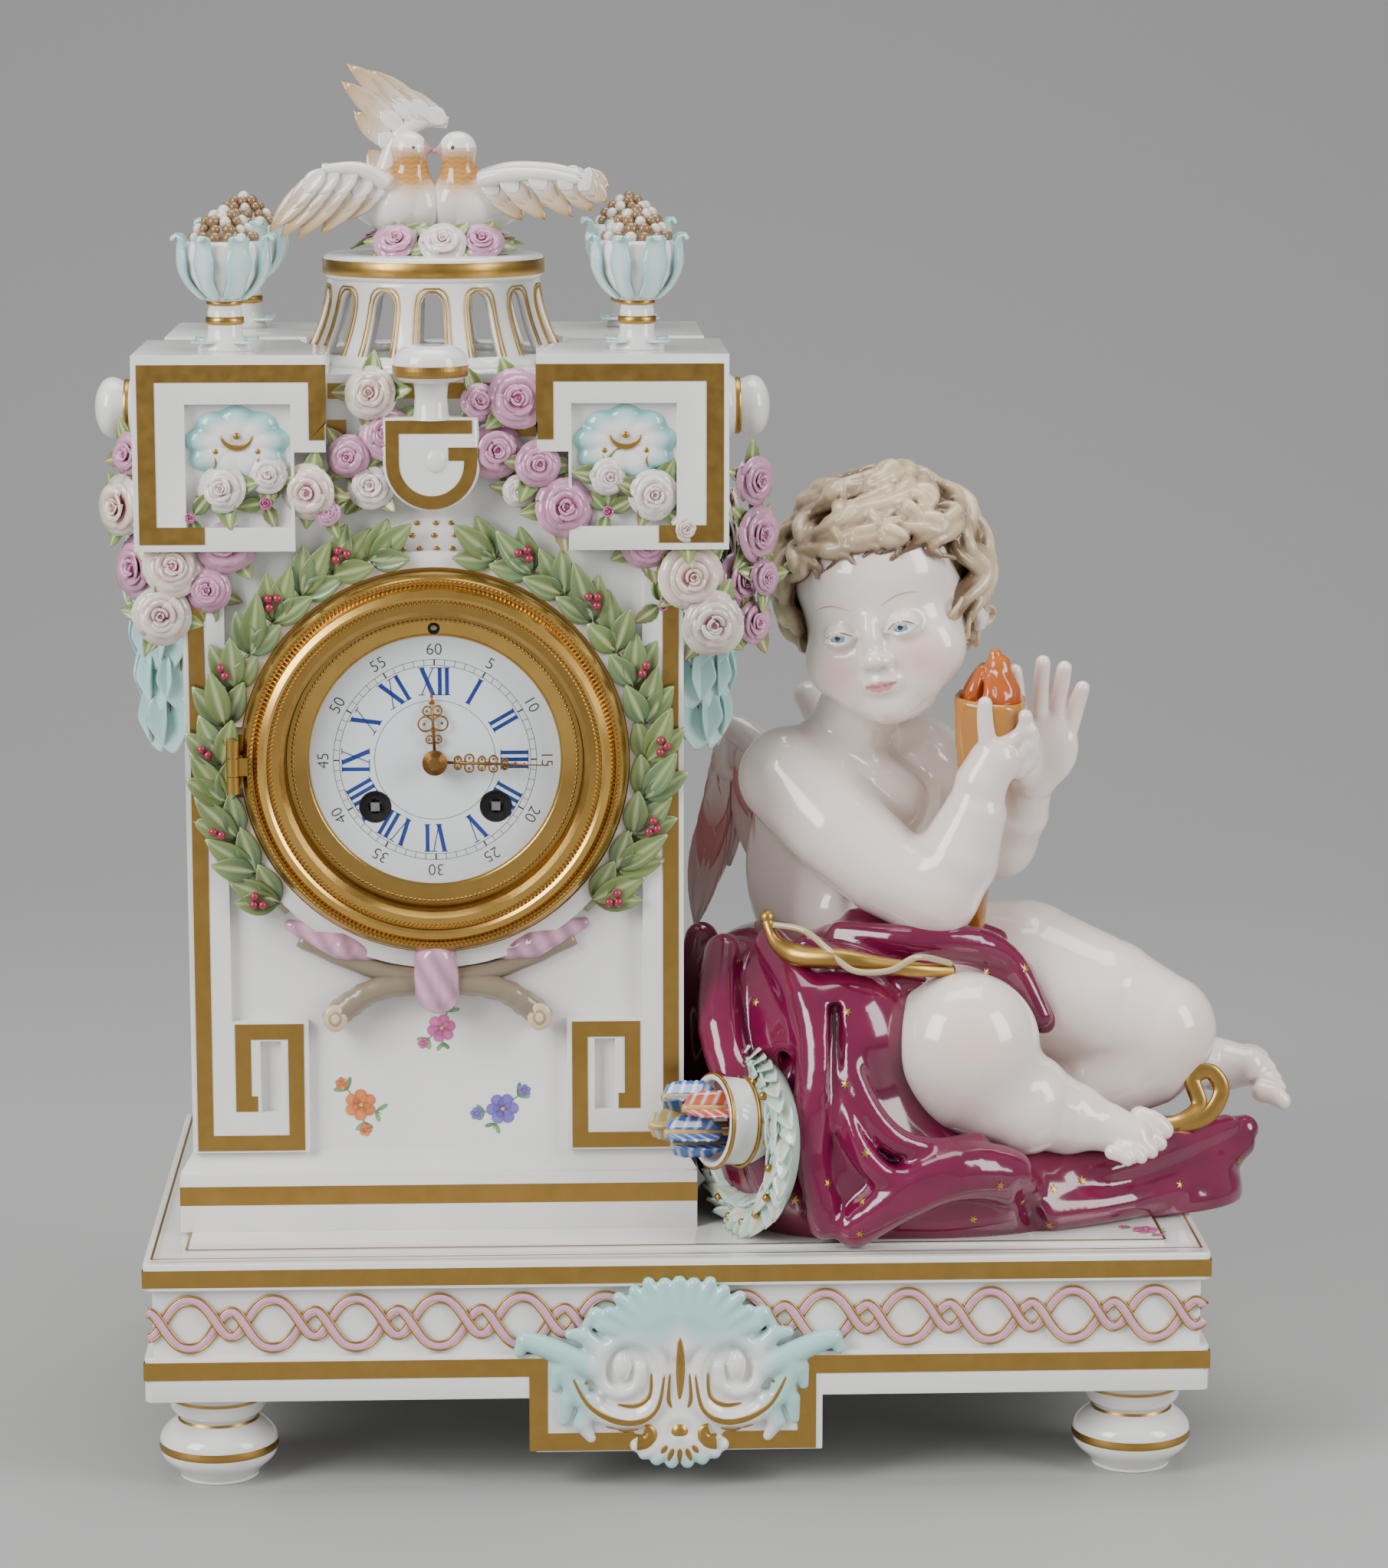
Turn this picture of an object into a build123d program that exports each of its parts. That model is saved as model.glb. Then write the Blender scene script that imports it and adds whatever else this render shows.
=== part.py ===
from build123d import *
from math import atan2, cos, degrees, hypot, pi, radians, sin, sqrt
import os

# A French porcelain mantel clock: a square case on a plinth, a seated child beside it,
# two doves over a pierced dome, and a round striking movement behind the dial.
# It stands on its feet at z = 0, faces -Y and has +Z up. All sizes are in millimetres.
# A value whose name ends in share or shares is a ratio, in direction an angle in degrees.

# Plinth and feet
plinth_width = 360.0
plinth_depth = 205.0
plinth_height = 48.0
foot_height = 33.0
foot_radius = 20.5
foot_spacing_x = 314.0
foot_spacing_y = 156.0
frieze_height = 23.3
frieze_lift = 15.5
frieze_recess = 3.0
platform_inset = 14.0
platform_rise = 1.2
plinth_wall = 9.0
plinth_edge_radius = 3.0
panel_width = 97.0
panel_drop = 19.0
panel_thickness = 16.0
cartouche_relief = 5.0
cartouche_width = 108.0
guilloche_pitch = 28.5
guilloche_ribbon = 2.8
guilloche_relief_height = 1.2
guilloche_count = 4

# Case
case_margin = 10.5
case_side_room = 12.7
case_front = -60.0
case_depth = 143.0
case_wall = 7.0
step_side = 4.5
step_overhang = 7.0
step_height = 20.0
cove_height = 7.0
deck_rise = 130.2
relief_height = 3.5
strip_width = 14.0
key_block_width = 26.0
key_block_height = 46.0
key_slot_width = 7.0
ear_side = 15.0
ear_overhang = 10.0
ear_rise = 72.0
ear_inner = 35.0
ear_step_rise = 105.0
ear_recess_width = 35.0
ear_recess_height = 41.0
ear_recess_lift = 8.0
ear_recess_depth = 4.0
ear_gap = 12.0
back_ear_inset = 5.0
deck_drop = 7.0
seat_ring_width = 5.5
seat_ring_height = 4.5
patera_thickness = 3.0

# Dome, finials and side ornament
dome_height = 37.0
dome_foot_radius = 46.0
dome_rim_radius = 36.5
dome_wall = 4.0
dome_band_height = 7.5
dome_slots = 14
dome_slot_width = 7.0
dome_slot_height = 23.0
mound_height = 7.0
mound_radius = 24.0
finial_height = 46.0
finial_radius = 15.0
finial_side_inset = 30.0
finial_front_inset = 23.0
finial_back_inset = 21.0
volute_radius = 11.0
volute_length = 16.0
pendant_height = 56.0
pendant_width = 30.0
pendant_thickness = 15.0
keystone_cap_radius = 12.5
keystone_cap_height = 9.0
keystone_post_radius = 6.0
keystone_plaque_radius = 17.0
keystone_plaque_thickness = 6.0
dove_length = 46.0
wing_thickness = 2.6

# Leaf and flower relief
rose_height = 8.0
garland_twig_radius = 2.4
leaf_length = 14.0
leaf_width = 5.6
leaf_thickness = 3.0
leaf_pairs = 11
wreath_stem_width = 2.4
stem_radius = 3.6
stem_length = 46.0
ribbon_width = 16.0
ribbon_thickness = 5.0

# Bezel, dial and hands
dial_rise = 89.8
dial_radius = 49.5
dial_sight_radius = 42.4
dial_thickness = 1.5
dial_front = -62.0
surround_thickness = 2.0
flange_radius = 65.5
flange_thickness = 2.5
tube_radius = 51.7
tube_wall = 1.5
tube_lip = 3.8
bezel_radius = 64.6
bezel_opening = 50.5
bezel_back = -63.0
bezel_height = 11.0
glass_thickness = 1.5
glass_rise = 7.5
glass_lip = 1.2
hinge_offset = 67.4
hinge_pin_radius = 1.1
hinge_knuckle_radius = 2.2
hinge_knuckle_length = 6.0
hour_hand_length = 24.6
minute_hand_length = 39.0
hand_thickness = 1.0
hand_nut_radius = 4.2
hand_nut_length = 4.0
winding_hole_radius = 5.1
winding_square = 4.2
regulator_radius = 0.9
regulator_height = 45.0

# Movement
plate_radius = 49.0
plate_thickness = 2.0
front_plate_y = -52.5
plate_gap = 34.0
pillar_radius = 2.2
pillar_pitch_radius = 42.0
pillar_directions = (5.0, 50.0, 130.0, 270.0)
dial_foot_directions = (30.0, 150.0, 315.0)
dial_foot_radius = 1.6
dial_foot_pitch_radius = 44.0
arbor_radius = 0.9
pivot_radius = 0.55
pipe_radius = 1.5
barrel_x = 20.4
barrel_z = -16.0
drum_radius = 17.9
drum_start = 9.0
drum_length = 18.0
great_module = 0.78
intermediate_module = 0.625
centre_module = 0.415
third_module = 0.464
minute_module = 0.75
hour_module = 0.6
strike_module = 0.5
great_teeth = 48
great_pinion_teeth = 8
intermediate_teeth = 48
centre_pinion_teeth = 8
centre_teeth = 72
third_pinion_teeth = 6
third_teeth = 60
escape_pinion_teeth = 6
escape_teeth = 40
cannon_teeth = 8
minute_teeth = 24
minute_pinion_teeth = 8
hour_teeth = 32
strike_wheel_teeth = 36
fly_pinion_teeth = 6
third_direction = 143.0
strike_direction = 127.0
fly_direction = 117.0
fly_reach = 5.6
escape_radius = 8.0
pallet_drop = 11.3
wheel_thickness = 1.4
pinion_length = 3.0
crutch_length = 32.0
cock_width = 24.0
cock_height = 16.0
cock_standoff = 3.0
cock_thickness = 2.0
suspension_pin_radius = 1.0
pendulum_length = 112.0
pendulum_rod_radius = 1.0
bob_radius = 15.0
bob_thickness = 7.0
bell_radius = 39.0
bell_depth = 19.0
bell_wall = 1.6
bell_mouth_y = 6.0
bell_post_radius = 2.2
bell_post_x = -12.0
bell_post_z = -26.0
hammer_x = -30.0
hammer_z = 22.0
hammer_head_radius = 4.0
hammer_head_length = 8.0
back_ring_radius = 62.0
back_ring_thickness = 2.5
back_door_radius = 50.0
back_door_thickness = 1.5
strap_width = 6.0

# Figure and what lies about it, counted in head lengths from the seat point
head_length = 76.0
figure_gap = 57.0
bow_radius = 3.4
quiver_radius = 14.0
quiver_length = 34.0
arrow_count = 5
arrow_length = 36.0
arrow_width = 9.0
torch_shaft_radius = 4.0
torch_cup_radius = 11.5
quiver_wreath_radius = 23.0
quiver_wreath_thickness = 14.0

# Clearances
running_gap = 0.06
fit_gap = 0.3
end_gap = 0.25
overrun = 5.0
tooth_addendum_share = 0.72
tooth_dedendum_share = 1.05

# Places that several pieces share
plinth_top = foot_height + plinth_height + platform_rise
case_floor = plinth_top + step_height + cove_height
dial_height = case_floor + key_block_height + dial_rise
ear_bottom = dial_height + ear_rise
ear_step_bottom = dial_height + ear_step_rise
deck_top = dial_height + deck_rise
case_top = deck_top + deck_drop
case_width = 2 * (flange_radius + fit_gap + seat_ring_width + case_side_room)
step_width = case_width + 2 * step_side
ear_width = case_width + 2 * ear_side
case_x = case_margin + step_width / 2 - plinth_width / 2
figure_x = case_x + case_width / 2 + figure_gap
case_back = case_front + case_depth
ear_front = case_front - ear_overhang
finial_spacing_x = ear_width - 2 * finial_side_inset
finial_front = ear_front + finial_front_inset
finial_back = case_back - finial_back_inset
front_plate_inner = front_plate_y + plate_thickness
back_plate_inner = front_plate_inner + plate_gap
back_plate_y = back_plate_inner + plate_thickness
dial_back = dial_front + dial_thickness
surround_front = dial_front - surround_thickness
bezel_front = bezel_back - bezel_height
flange_front = case_front - flange_thickness


# Basic shapes

def block(x0, x1, y0, y1, z0, z1):
    """A box between two corners."""
    centre = Pos((x0 + x1) / 2, (y0 + y1) / 2, (z0 + z1) / 2)
    return centre * Box(abs(x1 - x0), abs(y1 - y0), abs(z1 - z0))


def facing(x, z, y):
    """A drawing plane that faces the viewer, with its origin at (x, y, z)."""
    return Plane(origin=(x, y, z), x_dir=(1, 0, 0), z_dir=(0, -1, 0))


def slab(sketch, x, z, y_front, y_back):
    """A flat piece of the sketch's outline, standing upright between two depths."""
    return extrude(facing(x, z, y_back) * sketch, y_back - y_front)


def disc(x, z, radius, y_front, y_back):
    return slab(Circle(radius), x, z, y_front, y_back)


def outline(*points):
    return make_face(Polyline(*points, close=True))


def turned_y(x, z, *points):
    """A turning about an axis along Y, from (radius, y) points."""
    return Pos(x, 0, z) * revolve(outline(*points), axis=Axis.Y)


def polar(radius, direction):
    return (radius * cos(radians(direction)), radius * sin(radians(direction)))


def at_dial(x, z):
    """Movement places are counted from the dial's centre."""
    return case_x + x, dial_height + z


def round_rod(start, end, radius):
    """A straight round bar with flat ends."""
    start, end = Vector(start), Vector(end)
    return extrude(Plane(start, z_dir=end - start) * Circle(radius), (end - start).length)


def skin(rings):
    """A closed solid of flat faces round a stack of rings that have as many points each."""
    faces = [Face(Wire.make_polygon(rings[0])), Face(Wire.make_polygon(rings[-1]))]
    for low, high in zip(rings, rings[1:]):
        for index in range(len(low)):
            after = (index + 1) % len(low)
            faces.append(Face(Wire.make_polygon([low[index], low[after], high[after], high[index]])))
    solid = Solid(Shell(faces))
    return solid if solid.volume > 0 else Solid(Shell([-face for face in faces]))


def faceted(place, stations, sides=12):
    """A turned form with flat facets, from (radius, height) stations along the plane's normal."""
    rings = []
    for radius, height in stations:
        corners = [polar(radius, 360 * index / sides) for index in range(sides)]
        rings.append([place.from_local_coords((x, y, height)) for x, y in corners])
    return skin(rings)


def rod(start, end, start_radius, end_radius, sides=12):
    """A straight faceted taper with flat ends."""
    start, end = Vector(start), Vector(end)
    length = (end - start).length
    return faceted(Plane(start, z_dir=end - start), ((start_radius, 0), (end_radius, length)), sides)


def limb(start, end, start_radius, end_radius, swell_share=0.04, sides=10):
    """A rounded taper with a slight swell, as a limb has."""
    start, end = Vector(start), Vector(end)
    length = (end - start).length
    middle = (start_radius + end_radius) / 2 * (1 + swell_share)
    near_shares = ((0.4, -0.9), (0.84, -0.52), (1.0, 0.0))
    far_shares = ((1.0, 0.0), (0.84, 0.52), (0.4, 0.9))
    stations = [(r * start_radius, h * start_radius) for r, h in near_shares]
    stations.append((middle, length / 2))
    stations += [(r * end_radius, length + h * end_radius) for r, h in far_shares]
    return faceted(Plane(start, z_dir=end - start), stations, sides)


def standing(x, y, *points, sides=12):
    """A faceted turning about an upright axis, from (radius, z) points."""
    return faceted(Plane(origin=(x, y, 0), x_dir=(1, 0, 0), z_dir=(0, 0, 1)), points, sides)


def largest_of(shape):
    return max(solids_of(shape), key=lambda solid: solid.volume)


def solids_of(shape):
    """Every solid of a result, without the crumbs a cut may leave."""
    found = shape.solids() if hasattr(shape, "solids") else ShapeList([s for p in shape for s in p.solids()])
    largest = max(solid.volume for solid in found)
    crumb_share = 0.01
    return [solid for solid in found if solid.volume > crumb_share * largest]


# Plinth

def make_plinth():
    x = plinth_width / 2
    y = plinth_depth / 2
    bottom = foot_height
    frieze_bottom = bottom + frieze_lift
    frieze_top = frieze_bottom + frieze_height
    top = bottom + plinth_height
    lower = block(-x, x, -y, y, bottom, frieze_bottom)
    upper = block(-x, x, -y, y, frieze_top, top)
    rounded = [fillet(p.edges().filter_by(Axis.Z), plinth_edge_radius) for p in (lower, upper)]
    inset = frieze_recess
    middle = block(-x + inset, x - inset, -y + inset, y - inset, frieze_bottom, frieze_top)
    edge = platform_inset
    platform = block(-x + edge, x - edge, -y + edge, y - edge, top, plinth_top)
    half = panel_width / 2
    panel = block(-half, half, -y, -y + panel_thickness, bottom - panel_drop, frieze_bottom)
    wall = plinth_wall
    inside = block(-x + wall, x - wall, -y + panel_thickness, y - wall, bottom - overrun, top - wall)
    corner_posts = [make_corner_post(sx, sy) for sx in (-1, 1) for sy in (-1, 1)]
    return rounded[0] + rounded[1] + middle + platform + panel - (inside - corner_posts)


def make_corner_post(side_x, side_y):
    """The thick inner corner that a foot is fixed under."""
    size = foot_radius + plinth_wall
    x0 = side_x * (plinth_width / 2 - plinth_wall / 2)
    y0 = side_y * (plinth_depth / 2 - plinth_wall / 2)
    x1 = side_x * (foot_spacing_x / 2 - size)
    y1 = side_y * (foot_spacing_y / 2 - size)
    return block(x0, x1, y0, y1, foot_height, foot_height + frieze_lift)


def make_feet():
    """Turned bun feet: a neck disc, a belly and a narrow sole."""
    height_shares = (0, 0.06, 0.27, 0.5, 0.62, 0.7, 0.78, 1)
    radius_shares = (0.62, 0.66, 1.0, 0.97, 0.72, 0.74, 0.82, 0.8)
    profile = [(r * foot_radius, h * foot_height) for r, h in zip(radius_shares, height_shares)]
    x, y = foot_spacing_x / 2, foot_spacing_y / 2
    return [standing(sx * x, sy * y, *profile, sides=20) for sx in (-1, 1) for sy in (-1, 1)]


def make_cartouche(plinth):
    """The shell and leaf relief over the dropped panel."""
    half_shares = ((0, 1.0), (0.16, 0.97), (0.27, 0.86), (0.3, 0.7), (0.42, 0.66), (0.62, 0.72))
    half_shares += ((0.88, 0.7), (1.0, 0.6), (0.84, 0.52), (0.72, 0.38), (0.52, 0.3), (0.3, 0.2))
    half_shares += ((0.2, 0.08), (0.12, 0.02), (0, 0))
    half = cartouche_width / 2
    bottom = foot_height - panel_drop - cartouche_relief
    height = plinth_top - cartouche_relief - bottom
    right = [(x * half, z * height) for x, z in half_shares]
    left = [(-x, z) for x, z in reversed(right[1:-1])]
    front = -plinth_depth / 2
    shell = slab(outline(*right, *left), 0, bottom, front - cartouche_relief, front + frieze_recess)
    return solids_of(shell - plinth)[0]


def make_guilloche():
    """Interlaced ribbon rings along the frieze, on both sides of the cartouche."""
    front = -plinth_depth / 2 + frieze_recess
    middle = foot_height + frieze_lift + frieze_height / 2
    large = frieze_height * 0.45
    small = large / 2
    first = cartouche_width / 2 + guilloche_pitch - guilloche_ribbon * 0.7
    chains = []
    for side in (-1, 1):
        chain = None
        for index in range(guilloche_count):
            x = side * (first + guilloche_pitch * index)
            loop = Pos(-side * guilloche_pitch / 2, 0) * ribbon_ring(small, 6)
            shape = Pos(x, 0) * (ribbon_ring(large, 8) + loop)
            chain = shape if chain is None else chain + shape
        chains.append(slab(chain, 0, middle, front - guilloche_relief_height, front))
    return [part for chain in chains for part in solids_of(chain)]


def ribbon_ring(radius, sides):
    return RegularPolygon(radius, sides) - RegularPolygon(radius - guilloche_ribbon, sides)


# Case

def make_case():
    half = case_width / 2
    x0, x1 = case_x - half, case_x + half
    wall = case_wall
    body = block(x0, x1, case_front, case_back, plinth_top + step_height, deck_top)
    body += make_case_step()
    body += make_front_relief()
    body += make_ears()
    body += make_seat_ring()
    inside = block(x0 + wall, x1 - wall, case_front + wall, case_back - wall, case_floor, deck_top - wall)
    x, z = at_dial(0, 0)
    front_hole = disc(x, z, tube_radius + fit_gap, case_front - overrun, case_front + 2 * wall)
    back_hole = disc(x, z, tube_radius + 2 * fit_gap, case_back - 2 * wall, case_back + overrun)
    seat_radius = dome_foot_radius + fit_gap
    seat_top = case_top + overrun
    dome_seat = standing(case_x, dome_y(), (seat_radius, deck_top), (seat_radius, seat_top), sides=28)
    return body - inside - front_hole - back_hole - dome_seat


def make_case_step():
    """The step at the foot of the case, with a slope up to the body."""
    half, over = step_width / 2, step_overhang
    grow = half - case_width / 2
    z0, z1 = plinth_top, plinth_top + step_height
    step = block(case_x - half, case_x + half, case_front - over, case_back + grow, z0, z1)
    lower = [(case_x - half, case_front - over / 2, z1), (case_x + half, case_front - over / 2, z1),
             (case_x + half, case_back + grow, z1), (case_x - half, case_back + grow, z1)]
    x0, x1 = case_x - case_width / 2, case_x + case_width / 2
    upper = [(x0, case_front, case_floor), (x1, case_front, case_floor),
             (x1, case_back, case_floor), (x0, case_back, case_floor)]
    return step + skin([lower, upper])


def make_front_relief():
    """Raised side strips and the key blocks in the lower corners."""
    front = case_front - relief_height
    low = case_floor
    relief = None
    for side in (-1, 1):
        edge = case_x + side * case_width / 2
        strip = block(edge, edge - side * strip_width, front, case_front, low, ear_bottom)
        inner = edge - side * (strip_width + key_block_width)
        key = block(edge - side * strip_width, inner, front, case_front, low, low + key_block_height)
        slot_x = edge - side * (strip_width + (key_block_width - key_slot_width) / 2)
        slot_top = low + key_block_height - key_slot_width
        slot = block(slot_x, slot_x - side * key_slot_width, front - overrun, case_front,
                     low + key_slot_width * 2, slot_top)
        relief = strip + key - slot if relief is None else relief + strip + key - slot
    return relief


def make_ears():
    """The wide upper block: corner blocks in front and behind, stepped in at their inner sides."""
    ears = None
    half = ear_width / 2
    body_half = case_width / 2
    for side in (-1, 1):
        outer = case_x + side * half
        inner = case_x + side * ear_inner
        low_inner = case_x + side * (ear_inner + strip_width - relief_height)
        split = (case_front + case_back) / 2 - ear_gap
        front_high = block(outer, inner, ear_front, split, ear_step_bottom, case_top)
        front_low = block(outer, low_inner, ear_front, split, ear_bottom, case_top)
        front = front_high + front_low - ear_recess(side)
        back_outer = outer - side * back_ear_inset
        back = block(back_outer, inner, split + ear_gap, case_back, ear_bottom, case_top)
        core = block(case_x + side * body_half / 2, outer - side * ear_gap, split, split + ear_gap,
                     ear_bottom, deck_top)
        pair = front + back + core
        ears = pair if ears is None else ears + pair
    return ears


def ear_recess(side):
    """The sunk square in the front of an ear, where a shell patera sits."""
    outer = case_x + side * (ear_width / 2 - strip_width - relief_height)
    inner = outer - side * ear_recess_width
    low = ear_bottom + ear_recess_lift
    return block(outer, inner, ear_front - overrun, ear_front + ear_recess_depth,
                 low, low + ear_recess_height)


def make_seat_ring():
    """The raised ring round the bezel, notched on the left for the door's hinge."""
    x, z = at_dial(0, 0)
    inner = flange_radius + fit_gap
    front = case_front - seat_ring_height
    ring = disc(x, z, inner + seat_ring_width, front, case_front) - disc(x, z, inner, front, case_front)
    reach = 2 * hinge_knuckle_length
    notch = block(x - inner - 2 * seat_ring_width, x - flange_radius / 2, front, case_front,
                  z - reach, z + reach)
    return ring - notch


def make_paterae():
    """Scalloped shells in the two ear recesses."""
    radius = ear_recess_width * 0.39
    lobes = 7
    scallop = RegularPolygon(radius, lobes)
    for index in range(lobes):
        scallop += Pos(*polar(radius * 0.8, 360 / lobes * (index + 0.5))) * RegularPolygon(radius * 0.36, 6)
    shells = []
    for side in (-1, 1):
        x = case_x + side * (ear_width / 2 - strip_width - relief_height - ear_recess_width / 2)
        z = ear_bottom + ear_recess_lift + ear_recess_height * 0.6
        back = ear_front + ear_recess_depth
        shells.append(slab(scallop, x, z, back - patera_thickness, back))
    return shells


# Dome and ornament

def make_dome():
    """A flared gallery pierced by tall arched slots, closed by a flat top."""
    band = dome_band_height
    sides = 2 * dome_slots
    flare_shares = ((1.0, 0), (0.9, 0.3), (0.83, 0.62))
    z0, z1 = deck_top, deck_top + dome_height
    outer = [(r * dome_foot_radius, z0 + h * dome_height) for r, h in flare_shares]
    outer += [(dome_rim_radius, z1 - band), (dome_rim_radius, z1)]
    inner = [(r - dome_wall, z) for r, z in outer]
    inner[-1] = (dome_rim_radius - dome_wall, z1 - dome_wall)
    shell = standing(case_x, dome_y(), *outer, sides=sides) - standing(case_x, dome_y(), *inner, sides=sides)
    half, low = dome_slot_width / 2, z0 + dome_height * 0.1
    top = low + dome_slot_height
    arch = outline((-half, low), (half, low), (half * 0.8, top - half), (half * 0.4, top),
                   (-half * 0.4, top), (-half * 0.8, top - half))
    for index in range(dome_slots):
        window = facing(0, 0, -dome_rim_radius / 2) * arch
        cutter = extrude(window, dome_foot_radius)
        shell -= Pos(case_x, dome_y(), 0) * Rot(0, 0, 360 / dome_slots * (index + 0.25)) * cutter
    return shell


def dome_y():
    return (case_front + case_back) / 2 - ear_gap


def make_mound():
    """The low bed of leaves and flowers that the doves sit on."""
    z0 = deck_top + dome_height
    base = standing(case_x, dome_y(), (mound_radius, z0), (mound_radius * 0.9, z0 + mound_height * 0.5),
                    (mound_radius * 0.5, z0 + mound_height * 0.8), sides=14)
    size = rose_height * 0.6
    for index in range(3):
        x = case_x + (index - 1) * mound_radius * 0.62
        y = dome_y() - mound_radius * (0.62 if index != 1 else 0.78)
        start = (x, y, z0 + size * 0.9)
        base += rod(start, (x, y - size, z0 + size * 1.3), size * 0.6, size, sides=6)
    return base


def dove_parts(side, head_x, body_x, tail_x):
    """One dove's body, neck, head and beak, facing the other."""
    size = dove_length
    y = dome_y()
    seat = deck_top + dome_height + mound_height * 0.55
    body_z = seat + size * 0.27
    head_z = seat + size * 0.68
    chest = (body_x, y, body_z)
    tail = (tail_x, y, body_z + size * 0.08)
    head = (head_x, y, head_z)
    dove = limb(chest, tail, size * 0.26, size * 0.1)
    dove += rod(chest, head, size * 0.2, size * 0.125)
    dove += limb((head_x, y, head_z - size * 0.02), (head_x, y, head_z + size * 0.02),
                 size * 0.13, size * 0.13)
    beak_end = (case_x + side * fit_gap, y, head_z - size * 0.03)
    dove += rod((head_x, y, head_z), beak_end, size * 0.06, size * 0.02)
    return dove


def wing(root, tip, width, droop_share):
    """A feathered wing blade from the shoulder to its tip, with a scalloped trailing edge."""
    root, tip = Vector(root), Vector(tip)
    span = (tip - root).length
    up = Vector(0, 0, 1)
    plane = Plane(root, x_dir=tip - root, z_dir=(tip - root).cross(up))
    edge_shares = ((0, 0.35), (0.3, 0.55), (0.6, 0.5), (1.0, 0.08), (0.97, -0.1), (0.8, -0.2))
    edge_shares += ((0.74, -0.42), (0.56, -0.4), (0.5, -0.6), (0.3, -0.5), (0.24, -0.62), (0, -0.4))
    points = [(x * span, (z - droop_share * x) * width) for x, z in edge_shares]
    return extrude(plane * outline(*points), wing_thickness / 2, both=True)


def make_doves():
    size = dove_length
    y = dome_y()
    seat = deck_top + dome_height + mound_height * 0.55
    left_body = case_x - size * 0.42
    right_body = case_x + size * 0.42
    left = dove_parts(-1, case_x - size * 0.2, left_body, left_body - size * 0.5)
    right = dove_parts(1, case_x + size * 0.2, right_body, right_body + size * 0.5)
    shoulder = seat + size * 0.4
    near = -size * 0.2
    left += wing((left_body, y + near, shoulder), (left_body - size * 0.92, y + near, seat + size * 0.02),
                 size * 0.3, 0)
    left += wing((left_body + size * 0.12, y - near, shoulder),
                 (left_body - size * 0.3, y - near * 1.4, seat + size * 1.3), size * 0.3, 0)
    right += wing((right_body, y + near, shoulder),
                  (right_body + size * 0.95, y + near, shoulder - size * 0.1), size * 0.32, 0.3)
    right += wing((right_body, y - near, shoulder),
                  (right_body + size * 0.8, y - near * 1.6, shoulder + size * 0.05), size * 0.3, 0.3)
    mound = make_mound()
    return left - mound, right - mound


def make_finials():
    """Four acanthus cups with berry cones, one on each corner block."""
    radius_shares = (0.75, 0.44, 0.42, 0.46, 0.42, 0.85, 1.0, 0.95, 0.45)
    height_shares = (0, 0.12, 0.16, 0.22, 0.34, 0.5, 0.72, 0.84, 1.0)
    profile = [(r * finial_radius, case_top + h * finial_height)
               for r, h in zip(radius_shares, height_shares)]
    half = finial_spacing_x / 2
    places = [(side * half, y) for side in (-1, 1) for y in (finial_front, finial_back)]
    return [standing(case_x + x, y, *profile) for x, y in places]


def make_volutes():
    """Scrolled brackets on the sides of the ears."""
    scrolls = []
    z = ear_bottom + (case_top - ear_bottom) * 0.68
    y = ear_front + (case_back - ear_front) * 0.28
    for side in (-1, 1):
        face = case_x + side * ear_width / 2
        start = (face, y, z)
        middle = (face + side * volute_length * 0.62, y, z)
        end = (face + side * volute_length, y, z)
        drum = rod(start, middle, volute_radius, volute_radius)
        drum += rod(middle, end, volute_radius * 0.85, volute_radius * 0.5)
        scrolls.append(drum)
    return scrolls


def make_pendants():
    """Husks of acanthus hanging down the sides of the case under the ears."""
    pieces = []
    y = ear_front + (case_back - ear_front) * 0.28
    width, thick = pendant_width / 2, pendant_thickness
    drop_shares = (0, 0.2, 0.45, 0.7, 1.0)
    size_shares = (0.5, 1.0, 0.92, 0.8, 0.25)
    for side in (-1, 1):
        face = case_x + side * case_width / 2
        sections = []
        for drop, size in zip(drop_shares, size_shares):
            z = ear_bottom - drop * pendant_height
            reach = face + side * thick * size
            sections.append([(face, y - width * size, z), (reach, y - width * size / 2, z),
                             (reach, y + width * size / 2, z), (face, y + width * size, z)])
        pieces.append(skin(sections))
    return pieces


def make_keystone():
    """A round capped bracket over a scrolled plaque, above the bezel."""
    cap_top = case_top + relief_height
    y = case_front - keystone_cap_radius
    height, radius = keystone_cap_height, keystone_cap_radius
    cap = standing(case_x, y, (radius * 0.8, cap_top - height), (radius, cap_top - height * 0.7),
                   (radius, cap_top - height * 0.3), (radius * 0.7, cap_top), sides=20)
    post_bottom = cap_top - 3 * height
    half = keystone_post_radius
    post = standing(case_x, y, (half * 1.25, post_bottom), (half, cap_top - height))
    web = block(case_x - half, case_x + half, y, case_front, post_bottom, cap_top - height * 1.5)
    radius = keystone_plaque_radius
    plaque_z = post_bottom - radius * 0.7
    front = case_front - keystone_plaque_thickness
    plaque = slab(RegularPolygon(radius, 20), case_x, plaque_z, front, case_front)
    scroll = slab(RegularPolygon(radius * 0.42, 12), case_x, plaque_z, front - half / 2, front)
    head = block(case_x - radius, case_x + radius * 0.8, front, case_front, plaque_z, post_bottom)
    ledge = block(case_x - half, case_x + half, y - half, case_front, post_bottom - half, post_bottom)
    return cap + post + web + plaque + scroll + head + ledge


# Flowers and leaves

def bloom(plane, radius):
    """One rose: an outer cup of petals with a smaller bud standing in it."""
    cup = faceted(plane, ((radius * 0.75, 0), (radius, rose_height * 0.55)), 6)
    bud = faceted(plane, ((radius * 0.7, rose_height * 0.4), (radius * 0.45, rose_height)), 5)
    return cup + bud


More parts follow.
